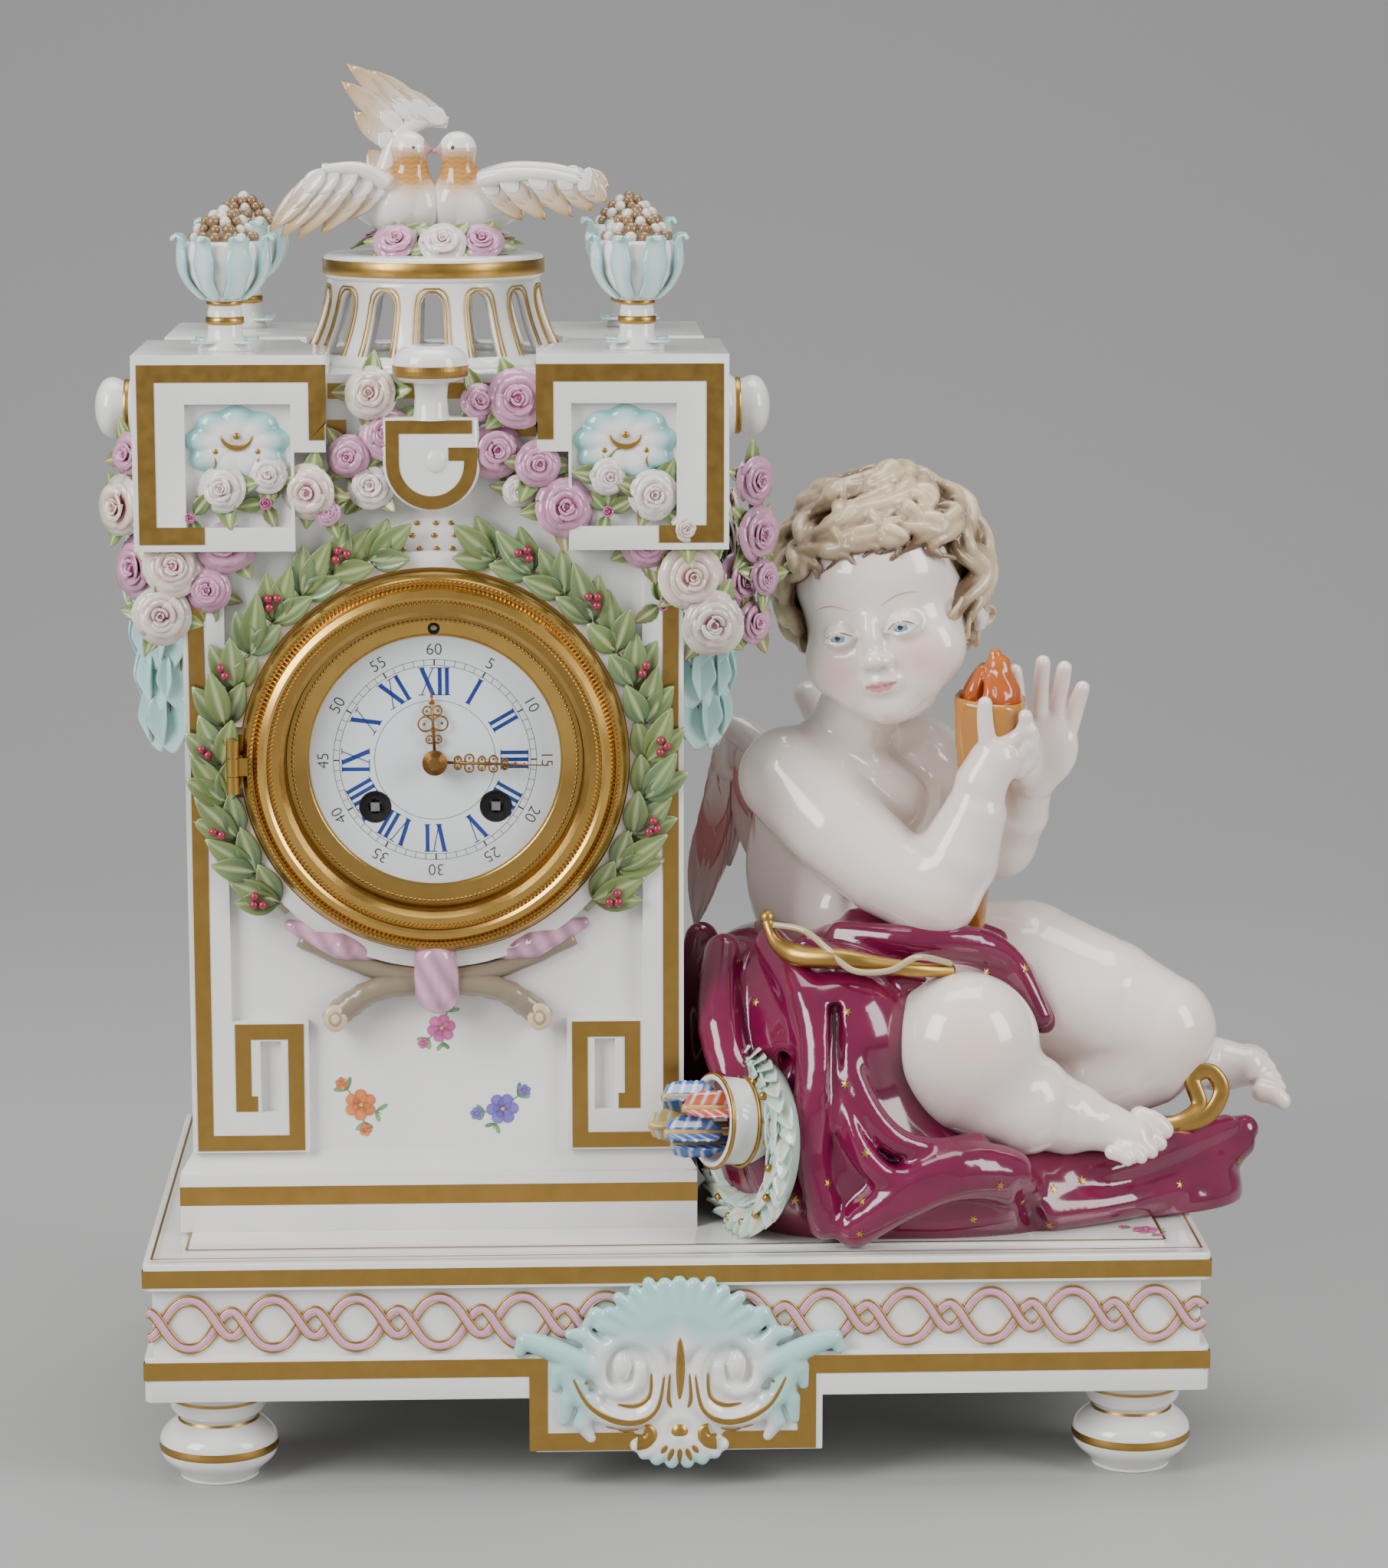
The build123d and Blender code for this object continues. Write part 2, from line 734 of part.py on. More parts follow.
def make_garlands():
    """Two swags of roses from the keystone across each ear and down its outer side."""
    rose_place_shares = {
        -1: ((0.24, 1.47, 0.08), (0.18, 1.31, 0.08), (0.33, 1.22, 0.07), (0.28, 1.08, 0.07),
             (0.49, 1.09, 0.08), (0.65, 1.16, 0.06), (0.8, 1.12, 0.07), (0.66, 1.03, 0.05),
             (0.93, 1.0, 0.06), (0.84, 0.86, 0.09), (1.01, 0.77, 0.09), (1.12, 0.64, 0.08),
             (0.93, 0.64, 0.07)),
        1: ((0.2, 1.44, 0.06), (0.35, 1.45, 0.09), (0.25, 1.25, 0.08), (0.42, 1.2, 0.06),
            (0.35, 1.08, 0.05), (0.52, 1.03, 0.09), (0.69, 1.01, 0.05), (0.71, 1.14, 0.06),
            (0.87, 1.08, 0.07), (1.0, 0.94, 0.06), (0.85, 0.87, 0.07), (1.02, 0.74, 0.09),
            (0.9, 0.62, 0.05), (1.1, 0.56, 0.09)),
    }
    side_place_shares = ((0.2, 1.22, 0.07), (0.16, 1.04, 0.09), (0.3, 0.9, 0.08), (0.14, 0.84, 0.08))
    half = case_width / 2
    twig_radii = (garland_twig_radius, garland_twig_radius)
    swags = []
    for side, places in rose_place_shares.items():
        swag, last = None, None
        for x_share, z_share, size_share in places:
            x, z = case_x + side * x_share * half, dial_height + z_share * half
            rose = bloom(facing(x, z, ear_front), size_share * half)
            twig = Vector(x, ear_front - 1.1 * garland_twig_radius, z)
            swag = rose if swag is None else swag + rose + rod(last, twig, *twig_radii, sides=6)
            last = twig
        swags += solids_of(swag)
        swags += side_blooms(side, side_place_shares)
    return swags


def side_blooms(side, places):
    """The roses that hang on the outer side of an ear."""
    half = case_width / 2
    face = case_x + side * ear_width / 2
    found, last = None, None
    twig_radii = (garland_twig_radius, garland_twig_radius)
    for y_share, z_share, size_share in places:
        base = Plane(origin=(face, ear_front + y_share * half, dial_height + z_share * half),
                     x_dir=(0, 1, 0), z_dir=(side, 0, 0))
        rose = bloom(base, size_share * half)
        twig = base.from_local_coords((0, 0, 1.1 * garland_twig_radius))
        found = rose if found is None else found + rose + rod(last, twig, *twig_radii, sides=6)
        last = twig
    return solids_of(found)


def leaf_outline():
    length, width = leaf_length, leaf_width / 2
    return outline((0, 0), (length * 0.35, width), (length * 0.7, width * 0.8), (length, 0),
                   (length * 0.7, -width * 0.8), (length * 0.35, -width))


def make_laurel(case):
    """Laurel sprays that climb both sides of the bezel from the crossed stems."""
    x, z = at_dial(0, 0)
    ring = flange_radius + fit_gap + seat_ring_width + fit_gap
    track = ring + leaf_width * 0.75
    start_direction, end_direction = 222.0, 96.0
    stem_outer = track + wreath_stem_width / 2
    sketch = Circle(stem_outer) - Circle(stem_outer - wreath_stem_width)
    reach = 2 * track
    sketch &= outline((0, 0), polar(reach, end_direction), polar(reach, 135), polar(reach, 180),
                      polar(reach, start_direction))
    for index in range(leaf_pairs):
        turn = start_direction + (end_direction - start_direction) * index / (leaf_pairs - 1)
        for tilt in (-24, 18):
            place = Pos(*polar(track, turn)) * Rot(0, 0, turn - 90 + tilt)
            sketch += place * leaf_outline()
    keep_out = Circle(ring)
    sketch -= keep_out
    front = case_front - relief_height - leaf_thickness
    spray = slab(sketch, x, z, front, case_front)
    other = mirror(spray, Plane(origin=(x, 0, 0), z_dir=(1, 0, 0)))
    return [part for half_spray in (spray, other) for part in solids_of(half_spray - case)]


def make_stems():
    """The crossed cut ends of the two laurel boughs below the bezel."""
    x, z = at_dial(0, 0)
    ring = flange_radius + fit_gap + seat_ring_width + stem_radius
    y = case_front - stem_radius
    cross = z - ring - stem_radius * 2.6
    reach = stem_length * 0.8
    left = rod((x + reach * 0.5, y, cross + stem_radius * 2), (x - reach, y, cross - stem_radius * 3),
               stem_radius * 0.8, stem_radius)
    right = rod((x - reach * 0.5, y, cross + stem_radius * 2), (x + reach, y, cross - stem_radius * 3),
                stem_radius * 0.8, stem_radius)
    return left + right


def make_ribbon(stems, laurel):
    """The ribbon that ties the boughs, with its two ends laid along the ring."""
    x, z = at_dial(0, 0)
    ring = flange_radius + fit_gap + seat_ring_width + fit_gap
    half = ribbon_width / 2
    low = z - ring - ribbon_width * 1.25
    knot = outline((-half * 0.9, 0), (half * 0.9, 0), (half * 0.6, ribbon_width), (-half * 0.6, ribbon_width))
    band = Circle(ring + ribbon_width * 0.45) - Circle(ring)
    wedge_reach = 2 * ring
    wedge = outline((0, 0), polar(wedge_reach, 228), polar(wedge_reach, 270), polar(wedge_reach, 312))
    shape = (band & wedge) + Pos(0, low - z) * knot - Circle(ring)
    tie = slab(shape, x, z, case_front - 2 * stem_radius - ribbon_thickness / 2, case_front)
    return solids_of(tie - stems - laurel)[0]


# Bezel, dial and hands

def make_flange():
    """The brass mount on the case: a flat ring, a tube into the case and a lip for the plate."""
    x, z = at_dial(0, 0)
    inner = tube_radius - tube_wall
    flange = turned_y(x, z, (inner, flange_front), (flange_radius, flange_front), (flange_radius, case_front),
                      (tube_radius, case_front), (tube_radius, front_plate_y),
                      (inner - tube_lip, front_plate_y),
                      (inner - tube_lip, front_plate_y - tube_wall), (inner, front_plate_y - tube_wall))
    return flange + hinge_post()


def hinge_axis():
    return case_x - hinge_offset, bezel_front


def hinge_post():
    """Two fixed knuckles on a bracket at nine o'clock."""
    x, y = hinge_axis()
    radius, length = hinge_knuckle_radius, hinge_knuckle_length
    arm = block(x - radius, case_x - flange_radius + 2 * radius, flange_front, case_front,
                dial_height - 1.5 * length, dial_height + 1.5 * length)
    bracket = None
    for side in (-1, 1):
        z0 = dial_height + side * (length / 2 + end_gap)
        z1 = dial_height + side * length * 1.5
        low, high = min(z0, z1), max(z0, z1)
        knuckle = Pos(x, y, (low + high) / 2) * Cylinder(radius, high - low)
        web = block(x - radius, x, y, flange_front, low, high)
        piece = knuckle + web
        bracket = piece if bracket is None else bracket + piece
    bore = Pos(x, y, dial_height) * Cylinder(hinge_pin_radius + running_gap, 4 * length)
    return arm + bracket - bore


def make_bezel_door():
    """The opening bezel: a moulded brass ring with one knuckle."""
    x, z = at_dial(0, 0)
    back, rise = bezel_back, bezel_height
    width = bezel_radius - bezel_opening
    width_shares = (1.0, 1.0, 0.86, 0.72, 0.5, 0.36, 0.12, 0.0)
    rise_shares = (0.0, 0.36, 0.62, 0.56, 0.72, 0.96, 1.0, 0.82)
    outer = [(bezel_opening + w * width, back - h * rise) for w, h in zip(width_shares, rise_shares)]
    seat = back - rise * 0.45
    lip = bezel_opening + glass_lip + fit_gap + glass_thickness
    ring = turned_y(x, z, *outer, (bezel_opening, seat), (lip, seat), (lip, back))
    pin_x, pin_y = hinge_axis()
    radius, length = hinge_knuckle_radius, hinge_knuckle_length
    knuckle = Pos(pin_x, pin_y, z) * Cylinder(radius, length)
    arm = block(pin_x, x - bezel_radius + radius, pin_y, back - rise * 0.4, z - length / 2, z + length / 2)
    bore = Pos(pin_x, pin_y, z) * Cylinder(hinge_pin_radius, 2 * length)
    return ring + knuckle + arm - bore


def make_hinge_pin():
    x, y = hinge_axis()
    return Pos(x, y, dial_height) * Cylinder(hinge_pin_radius, 3 * hinge_knuckle_length)


def make_glass():
    """The domed glass, seated from behind on the bezel's inner lip."""
    x, z = at_dial(0, 0)
    seat = bezel_back - bezel_height * 0.45
    radius = bezel_opening + glass_lip
    inner = bezel_opening - fit_gap
    crown_shares = ((0.1, 1.0), (0.36, 0.88), (0.72, 0.5), (1.0, 0.0))
    back = Plane(origin=(x, 0, z), x_dir=(1, 0, 0), z_dir=(0, 1, 0))
    crown = [(r * inner, seat - glass_thickness - rise * glass_rise) for r, rise in crown_shares]
    hollow = [(r, y + glass_thickness) for r, y in crown]
    lip = [(inner, seat), (radius, seat), (radius, seat + glass_thickness)]
    return faceted(back, crown + lip, 48) - faceted(back, hollow + [(inner, seat + overrun)], 48)


def make_surround():
    """The beaded inner ring in front of the dial's edge."""
    x, z = at_dial(0, 0)
    outer = tube_radius - tube_wall - fit_gap
    ring = turned_y(x, z, (dial_sight_radius, dial_front), (outer, dial_front), (outer, surround_front),
                    (outer - surround_thickness, surround_front),
                    (dial_sight_radius, dial_front - surround_thickness / 4))
    hole = regulator_hole(surround_front, dial_front)
    return ring - hole


def regulator_hole(y_front, y_back):
    x, z = at_dial(0, regulator_height)
    return disc(x, z, regulator_radius + fit_gap, y_front - overrun, y_back + overrun)


def make_dial():
    """An enamelled disc with a centre hole, two winding holes and the regulator's hole."""
    x, z = at_dial(0, 0)
    dial = disc(x, z, dial_radius, dial_front, dial_back)
    dial -= disc(x, z, hour_pipe_radius() + 2 * fit_gap, dial_front - overrun, dial_back + overrun)
    for side in (-1, 1):
        hole_x, hole_z = at_dial(side * barrel_x, barrel_z)
        dial -= disc(hole_x, hole_z, winding_hole_radius, dial_front - overrun, dial_back + overrun)
    return dial - regulator_hole(dial_front, dial_back)


def hour_pipe_radius():
    return pipe_radius + running_gap + hand_thickness * 0.8


def hour_hand_y():
    return dial_front - hand_thickness - end_gap


def minute_hand_y():
    return hour_hand_y() - hand_thickness * 3


def hand_outline(length, width, hub):
    """A pierced hand: a hub ring, an open scroll and a slender point."""
    arm = outline((hub * 0.5, -width * 0.12), (length * 0.3, -width * 0.2), (length * 0.42, -width / 2),
                  (length * 0.62, -width * 0.42), (length * 0.72, -width * 0.12), (length, 0),
                  (length * 0.72, width * 0.12), (length * 0.62, width * 0.42), (length * 0.42, width / 2),
                  (length * 0.3, width * 0.2), (hub * 0.5, width * 0.12))
    window = outline((length * 0.38, 0), (length * 0.45, -width * 0.3), (length * 0.6, -width * 0.22),
                     (length * 0.66, 0), (length * 0.6, width * 0.22), (length * 0.45, width * 0.3))
    return arm + Circle(hub) - window


def make_hour_hand():
    x, z = at_dial(0, 0)
    hub = hour_pipe_radius() * 1.6
    shape = Rot(0, 0, 91) * hand_outline(hour_hand_length, hour_hand_length * 0.4, hub)
    y = hour_hand_y()
    hand = slab(shape, x, z, y - hand_thickness, y)
    return hand - disc(x, z, hour_pipe_radius() - hand_thickness * 0.3, y - overrun, y + overrun)


def make_hour_wheel():
    """The wheel and pipe that carry the hour hand."""
    x, z = at_dial(0, 0)
    y_back = hour_wheel_y()
    wheel = slab(gear(hour_teeth, hour_module, hour_phase()), x, z, y_back - wheel_thickness, y_back)
    y = hour_hand_y()
    pipe = disc(x, z, hour_pipe_radius(), y, y_back)
    neck_radius = hour_pipe_radius() - hand_thickness * 0.3 - running_gap
    neck = disc(x, z, neck_radius, y - hand_thickness, y)
    bore = disc(x, z, pipe_radius + running_gap, y - overrun, y_back + overrun)
    return wheel + pipe + neck - bore


def make_minute_hand():
    x, z = at_dial(0, 0)
    hub = pipe_radius * 2
    shape = Rot(0, 0, -5) * hand_outline(minute_hand_length, minute_hand_length * 0.17, hub)
    y = minute_hand_y()
    bore = disc(x, z, pipe_radius * 0.7 + running_gap, y - overrun, y + overrun)
    return slab(shape, x, z, y - hand_thickness, y) - bore


def make_hand_nut():
    x, z = at_dial(0, 0)
    y = minute_hand_y() - hand_thickness
    nut = turned_y(x, z, (0, y - hand_nut_length), (hand_nut_radius * 0.5, y - hand_nut_length),
                   (hand_nut_radius, y - hand_nut_length * 0.5), (hand_nut_radius, y), (0, y))
    return nut - disc(x, z, pipe_radius * 0.7 + running_gap, y - hand_nut_length / 2, y + overrun)


# Gear outlines and places

def gear(teeth, module, phase):
    """A clock wheel's outline: pointed teeth with straight flanks."""
    radius = teeth * module / 2
    tip = radius + tooth_addendum_share * module
    root = radius - tooth_dedendum_share * module
    step = 360 / teeth
    points = []
    for index in range(teeth):
        points.append(polar(tip, phase + index * step))
        points.append(polar(root, phase + (index + 0.5) * step))
    return outline(*points)


def meshed_phase(teeth_a, phase_a, teeth_b, direction):
    """The turn of wheel b that sets its gaps on the teeth of wheel a."""
    tooth_share = (direction - phase_a) * teeth_a / 360
    return direction + 180 - (0.5 - tooth_share) * 360 / teeth_b


def direction_to(start, end):
    return degrees(atan2(end[1] - start[1], end[0] - start[0]))


def centre_distance(teeth_a, teeth_b, module):
    return (teeth_a + teeth_b) * module / 2


def moved(point, distance, direction):
    dx, dz = polar(distance, direction)
    return point[0] + dx, point[1] + dz


def intermediate_place():
    """Where the intermediate arbor meshes with both the great wheel and the centre pinion."""
    to_barrel = centre_distance(great_teeth, great_pinion_teeth, great_module)
    to_centre = centre_distance(intermediate_teeth, centre_pinion_teeth, intermediate_module)
    base = hypot(barrel_x, barrel_z)
    along = (to_centre ** 2 - to_barrel ** 2 + base ** 2) / (2 * base)
    across = sqrt(to_centre ** 2 - along ** 2)
    ux, uz = barrel_x / base, barrel_z / base
    return along * ux - across * uz, along * uz + across * ux


def third_place():
    return polar(centre_distance(centre_teeth, third_pinion_teeth, centre_module), third_direction)


def escape_place():
    x, z = third_place()
    distance = centre_distance(third_teeth, escape_pinion_teeth, third_module)
    return 0, z + sqrt(distance ** 2 - x ** 2)


def pallet_place():
    x, z = escape_place()
    return x, z + pallet_drop


def minute_place():
    return 0, -centre_distance(cannon_teeth, minute_teeth, minute_module)


def pin_wheel_place():
    distance = centre_distance(great_teeth, great_pinion_teeth, great_module)
    return moved((-barrel_x, barrel_z), distance, strike_direction)


def fly_place():
    distance = centre_distance(strike_wheel_teeth, fly_pinion_teeth, strike_module)
    return moved(pin_wheel_place(), distance, fly_direction)


def minute_phase():
    return meshed_phase(cannon_teeth, 0, minute_teeth, direction_to((0, 0), minute_place()))


def hour_phase():
    direction = direction_to(minute_place(), (0, 0))
    return meshed_phase(minute_pinion_teeth, 0, hour_teeth, direction)


def hour_wheel_y():
    return front_plate_y - end_gap - pinion_length - wheel_thickness / 2


# Layers of the going train, counted from the front plate's inner face
def layer(start, length):
    return front_plate_inner + start, front_plate_inner + start + length


def between_plates(x, z, radius):
    """An arbor between the plates with a pivot in each."""
    front, back = front_plate_inner + end_gap, back_plate_inner - end_gap
    arbor = disc(x, z, radius, front, back)
    return arbor + disc(x, z, pivot_radius, front_plate_y, back_plate_y)


def crossed(outline_face, radius, count=4):
    """A wheel with windows cut between its spokes."""
    rim, hub = radius * 0.8, radius * 0.3
    half = 180 / count
    for index in range(count):
        turn = 360 / count * (index + 0.5)
        spread = half * 0.72
        window = outline(polar(hub, turn - spread * 0.5), polar(rim, turn - spread), polar(rim, turn),
                         polar(rim, turn + spread), polar(hub, turn + spread * 0.5))
        outline_face -= window
    return outline_face


centre_layer = wheel_thickness
intermediate_layer = 3.6 * wheel_thickness
great_layer = drum_start + drum_length + end_gap
third_layer = plate_gap - 2 * wheel_thickness
escape_layer = plate_gap * 0.42


def make_barrel(side, phase):
    """A spring barrel: the drum with its great wheel behind, bored for the winding arbor."""
    x, z = at_dial(side * barrel_x, barrel_z)
    y0, y1 = layer(drum_start, drum_length)
    drum = disc(x, z, drum_radius, y0, y1 + end_gap)
    w0, w1 = layer(great_layer, 2 * wheel_thickness)
    wheel = slab(gear(great_teeth, great_module, phase), x, z, w0, w1)
    bore = disc(x, z, winding_square / 2 + fit_gap + running_gap, y0 - overrun, w1 + overrun)
    return drum + wheel - bore


def make_winding_arbor(side):
    """The arbor through a barrel, squared at the front for the key."""
    x, z = at_dial(side * barrel_x, barrel_z)
    front, back = front_plate_inner + end_gap, back_plate_inner - end_gap
    shaft = disc(x, z, winding_square / 2 + fit_gap, front, back)
    shaft += disc(x, z, winding_square / 2, back, back_plate_y)
    shaft += disc(x, z, winding_square / 2, front_plate_y - end_gap, front)
    side_length = winding_square / sqrt(2)
    square = slab(Rectangle(side_length, side_length), x, z, dial_front, front_plate_y - end_gap)
    return shaft + square


def make_intermediate():
    """The arbor between the going barrel and the centre pinion."""
    place = intermediate_place()
    x, z = at_dial(*place)
    to_barrel = direction_to((barrel_x, barrel_z), place)
    phase = meshed_phase(great_teeth, 0, great_pinion_teeth, to_barrel)
    y0, y1 = layer(great_layer - end_gap, 2 * wheel_thickness + 2 * end_gap)
    piece = slab(gear(great_pinion_teeth, great_module, phase), x, z, y0, y1)
    w0, w1 = layer(intermediate_layer, wheel_thickness)
    face = gear(intermediate_teeth, intermediate_module, 0)
    face = crossed(face, intermediate_teeth * intermediate_module / 2)
    return piece + slab(face, x, z, w0, w1) + between_plates(x, z, arbor_radius)


def make_centre_arbor():
    """The hourly arbor: pinion, centre wheel and cannon pinion, through to the minute hand."""
    x, z = at_dial(0, 0)
    direction = direction_to(intermediate_place(), (0, 0))
    phase = meshed_phase(intermediate_teeth, 0, centre_pinion_teeth, direction)
    y0, y1 = layer(intermediate_layer - end_gap, wheel_thickness + 2 * end_gap)
    piece = slab(gear(centre_pinion_teeth, intermediate_module, phase), x, z, y0, y1)
    w0, w1 = layer(centre_layer, wheel_thickness)
    face = crossed(gear(centre_teeth, centre_module, 0), centre_teeth * centre_module / 2)
    piece += slab(face, x, z, w0, w1)
    piece += disc(x, z, pipe_radius, minute_hand_y(), back_plate_inner - end_gap)
    piece += disc(x, z, pivot_radius, back_plate_inner - end_gap, back_plate_y)
    tip = minute_hand_y() - hand_thickness - hand_nut_length * 0.4
    piece += disc(x, z, pipe_radius * 0.7, tip, minute_hand_y())
    cannon_back = front_plate_y - end_gap
    cannon = gear(cannon_teeth, minute_module, 0)
    return piece + slab(cannon, x, z, cannon_back - wheel_thickness, cannon_back)


def make_minute_wheel():
    """The motion work's wheel and pinion, turning on a stud on the front plate."""
    x, z = at_dial(*minute_place())
    back = front_plate_y - end_gap
    wheel = slab(gear(minute_teeth, minute_module, minute_phase()), x, z, back - wheel_thickness, back)
    pinion_front = hour_wheel_y() - wheel_thickness - end_gap
    pinion = slab(gear(minute_pinion_teeth, hour_module, 0), x, z, pinion_front, back - wheel_thickness)
    bore = disc(x, z, arbor_radius + running_gap, pinion_front - overrun, back + overrun)
    return wheel + pinion - bore


def make_third():
    x, z = at_dial(*third_place())
    direction = direction_to((0, 0), third_place())
    phase = meshed_phase(centre_teeth, 0, third_pinion_teeth, direction)
    y0, y1 = layer(centre_layer - end_gap, wheel_thickness + 2 * end_gap)
    piece = slab(gear(third_pinion_teeth, centre_module, phase), x, z, y0, y1)
    w0, w1 = layer(third_layer, wheel_thickness)
    face = crossed(gear(third_teeth, third_module, 0), third_teeth * third_module / 2)
    return piece + slab(face, x, z, w0, w1) + between_plates(x, z, pivot_radius * 1.2)


def make_escape():
    """The escape wheel, whose teeth lean forward like a saw's."""
    x, z = at_dial(*escape_place())
    direction = direction_to(third_place(), escape_place())
    phase = meshed_phase(third_teeth, 0, escape_pinion_teeth, direction)
    y0, y1 = layer(third_layer - end_gap, wheel_thickness + 2 * end_gap)
    piece = slab(gear(escape_pinion_teeth, third_module, phase), x, z, y0, y1)
    step = 360 / escape_teeth
    points = []
    for index in range(escape_teeth):
        points.append(polar(escape_radius * 0.82, index * step))
        points.append(polar(escape_radius, (index + 0.2) * step))
    w0, w1 = layer(escape_layer, wheel_thickness)
    piece += slab(crossed(outline(*points), escape_radius * 0.8, 3), x, z, w0, w1)
    return piece + between_plates(x, z, arbor_radius * 0.8)


def make_pallets():
    """The anchor over the escape wheel, and the crutch behind the plate that leads the pendulum."""
    x, z = at_dial(*pallet_place())
    y0, y1 = layer(escape_layer, wheel_thickness)
    reach = escape_radius * 0.78
    drop = pallet_drop - sqrt(escape_radius ** 2 - reach ** 2) - fit_gap * 2
    nib = arbor_radius
    anchor = outline((-reach - nib * 2, -drop - nib), (-reach - nib, -drop - nib), (-reach * 0.8, -nib * 2),
                     (0, -nib * 0.5), (reach * 0.8, -nib * 2), (reach + nib, -drop - nib),
                     (reach + nib * 2, -drop - nib), (reach, 0), (0, nib * 2), (-reach, 0))
    piece = slab(anchor, x, z, y0, y1)
    piece += disc(x, z, arbor_radius, front_plate_inner + end_gap, back_plate_y + cock_standoff - end_gap)
    piece += disc(x, z, pivot_radius, front_plate_y, back_plate_y + cock_standoff + cock_thickness)
    arm_y = back_plate_y + end_gap * 2
    half = arbor_radius
    arm = block(x - half, x + half, arm_y, arm_y + wheel_thickness, z - crutch_length, z)
    foot_end = pendulum_y() + pendulum_rod_radius
    gap = pendulum_rod_radius + running_gap * 2
    cross_bar = block(x - gap - half, x + gap + half, arm_y, arm_y + wheel_thickness,
                      z - crutch_length - 2 * half, z - crutch_length)
    piece += arm + cross_bar
    for side in (-1, 1):
        piece += block(x + side * gap, x + side * (gap + half), arm_y, foot_end,
                       z - crutch_length - 2 * half, z - crutch_length)
    return piece


def pendulum_y():
    return back_plate_y + cock_standoff + cock_thickness + end_gap + 2 * pendulum_rod_radius


def make_cock():
    """The bridge behind the back plate that holds the pallet pivot and the pendulum's pin."""
    x, z = at_dial(*pallet_place())
    y0 = back_plate_y + cock_standoff
    half = cock_width / 2
    bridge = block(x - half, x + half, y0, y0 + cock_thickness, z - cock_height * 0.3, z + cock_height * 0.55)
    for side in (-1, 1):
        leg_x = x + side * (half - pillar_radius)
        bridge += disc(leg_x, z, pillar_radius, back_plate_y, y0)
    bridge -= disc(x, z, pivot_radius + running_gap, y0 - overrun, y0 + cock_thickness)
    pin_end = pendulum_y() + 3 * pendulum_rod_radius
    pin = disc(x, z, suspension_pin_radius, y0 + cock_thickness + running_gap, pin_end)
    collar = disc(x, z, suspension_pin_radius * 1.8, y0 + cock_thickness, y0 + cock_thickness + end_gap)
    return bridge + pin + collar


def make_pendulum():
    """A rod hung by its eye from the cock's pin, with a lens shaped bob and a rating nut."""
    x, z = at_dial(*pallet_place())
    y = pendulum_y()
    rod_radius = pendulum_rod_radius
    eye_radius = suspension_pin_radius + 2 * rod_radius
    eye = disc(x, z, eye_radius, y - rod_radius, y + rod_radius)
    bottom = z - pendulum_length - bob_radius * 1.4
    shaft = round_rod((x, y, bottom), (x, y, z - suspension_pin_radius - rod_radius), rod_radius)
    half = bob_thickness / 2
    bob = turned_y(x, z - pendulum_length, (0, y - half), (bob_radius * 0.7, y - half * 0.7),
                   (bob_radius, y), (bob_radius * 0.7, y + half * 0.7), (0, y + half))
    nut_top = z - pendulum_length - bob_radius - rod_radius
    nut = round_rod((x, y, bottom), (x, y, nut_top), 3 * rod_radius)
    bore = disc(x, z, suspension_pin_radius + running_gap, y - overrun, y + overrun)
    return eye + shaft + bob + nut - bore


def make_regulator():
    """The small arbor above the dial that raises and lowers the pendulum's suspension."""
    x, z = at_dial(0, regulator_height)
    side_length = regulator_radius * sqrt(2)
    front = surround_front + surround_thickness / 4
    square = slab(Rectangle(side_length, side_length), x, z, front, front_plate_y - end_gap)
    shaft = disc(x, z, regulator_radius, front_plate_y - end_gap, back_plate_y + cock_standoff)
    collar = disc(x, z, 2 * regulator_radius, back_plate_y + end_gap, back_plate_y + cock_standoff)
    return square + shaft + collar


def make_plate(y_front, y_back, extra_holes):
    """A round plate drilled for the arbors that cross it."""
    x, z = at_dial(0, 0)
    plate = disc(x, z, plate_radius, y_front, y_back)
    small = (intermediate_place(), third_place(), escape_place(), pin_wheel_place(), fly_place())
    drilled = [(place, pivot_radius + running_gap) for place in small]
    for side in (-1, 1):
        drilled.append(((side * barrel_x, barrel_z), winding_square / 2 + running_gap))
    drilled.append(((0, regulator_height), regulator_radius + running_gap))
    for place, radius in drilled + extra_holes:
        hole_x, hole_z = at_dial(*place)
        plate -= disc(hole_x, hole_z, radius, y_front - overrun, y_back + overrun)
    return plate


def make_front_plate():
    """The pillar plate under the dial, with the minute wheel's stud and three dial feet."""
    extra = [((0, 0), pipe_radius + running_gap), (pallet_place(), pivot_radius + running_gap),
             ((hammer_x, hammer_z), pivot_radius + running_gap)]
    plate = make_plate(front_plate_y, front_plate_inner, extra)
    stud_x, stud_z = at_dial(*minute_place())
    plate += disc(stud_x, stud_z, arbor_radius, hour_wheel_y() - 2 * wheel_thickness, front_plate_y)
    for direction in dial_foot_directions:
        foot_x, foot_z = at_dial(*polar(dial_foot_pitch_radius, direction))
        plate += disc(foot_x, foot_z, dial_foot_radius, dial_back, front_plate_y)
    return plate


def make_back_plate():
    extra = [((0, 0), pivot_radius + running_gap), (pallet_place(), arbor_radius + 4 * running_gap),
             ((hammer_x, hammer_z), arbor_radius + running_gap)]
    return make_plate(back_plate_inner, back_plate_y, extra)


def make_pillars():
    pillars = []
    for direction in pillar_directions:
        x, z = at_dial(*polar(pillar_pitch_radius, direction))
        pillars.append(disc(x, z, pillar_radius, front_plate_inner, back_plate_inner))
    return pillars


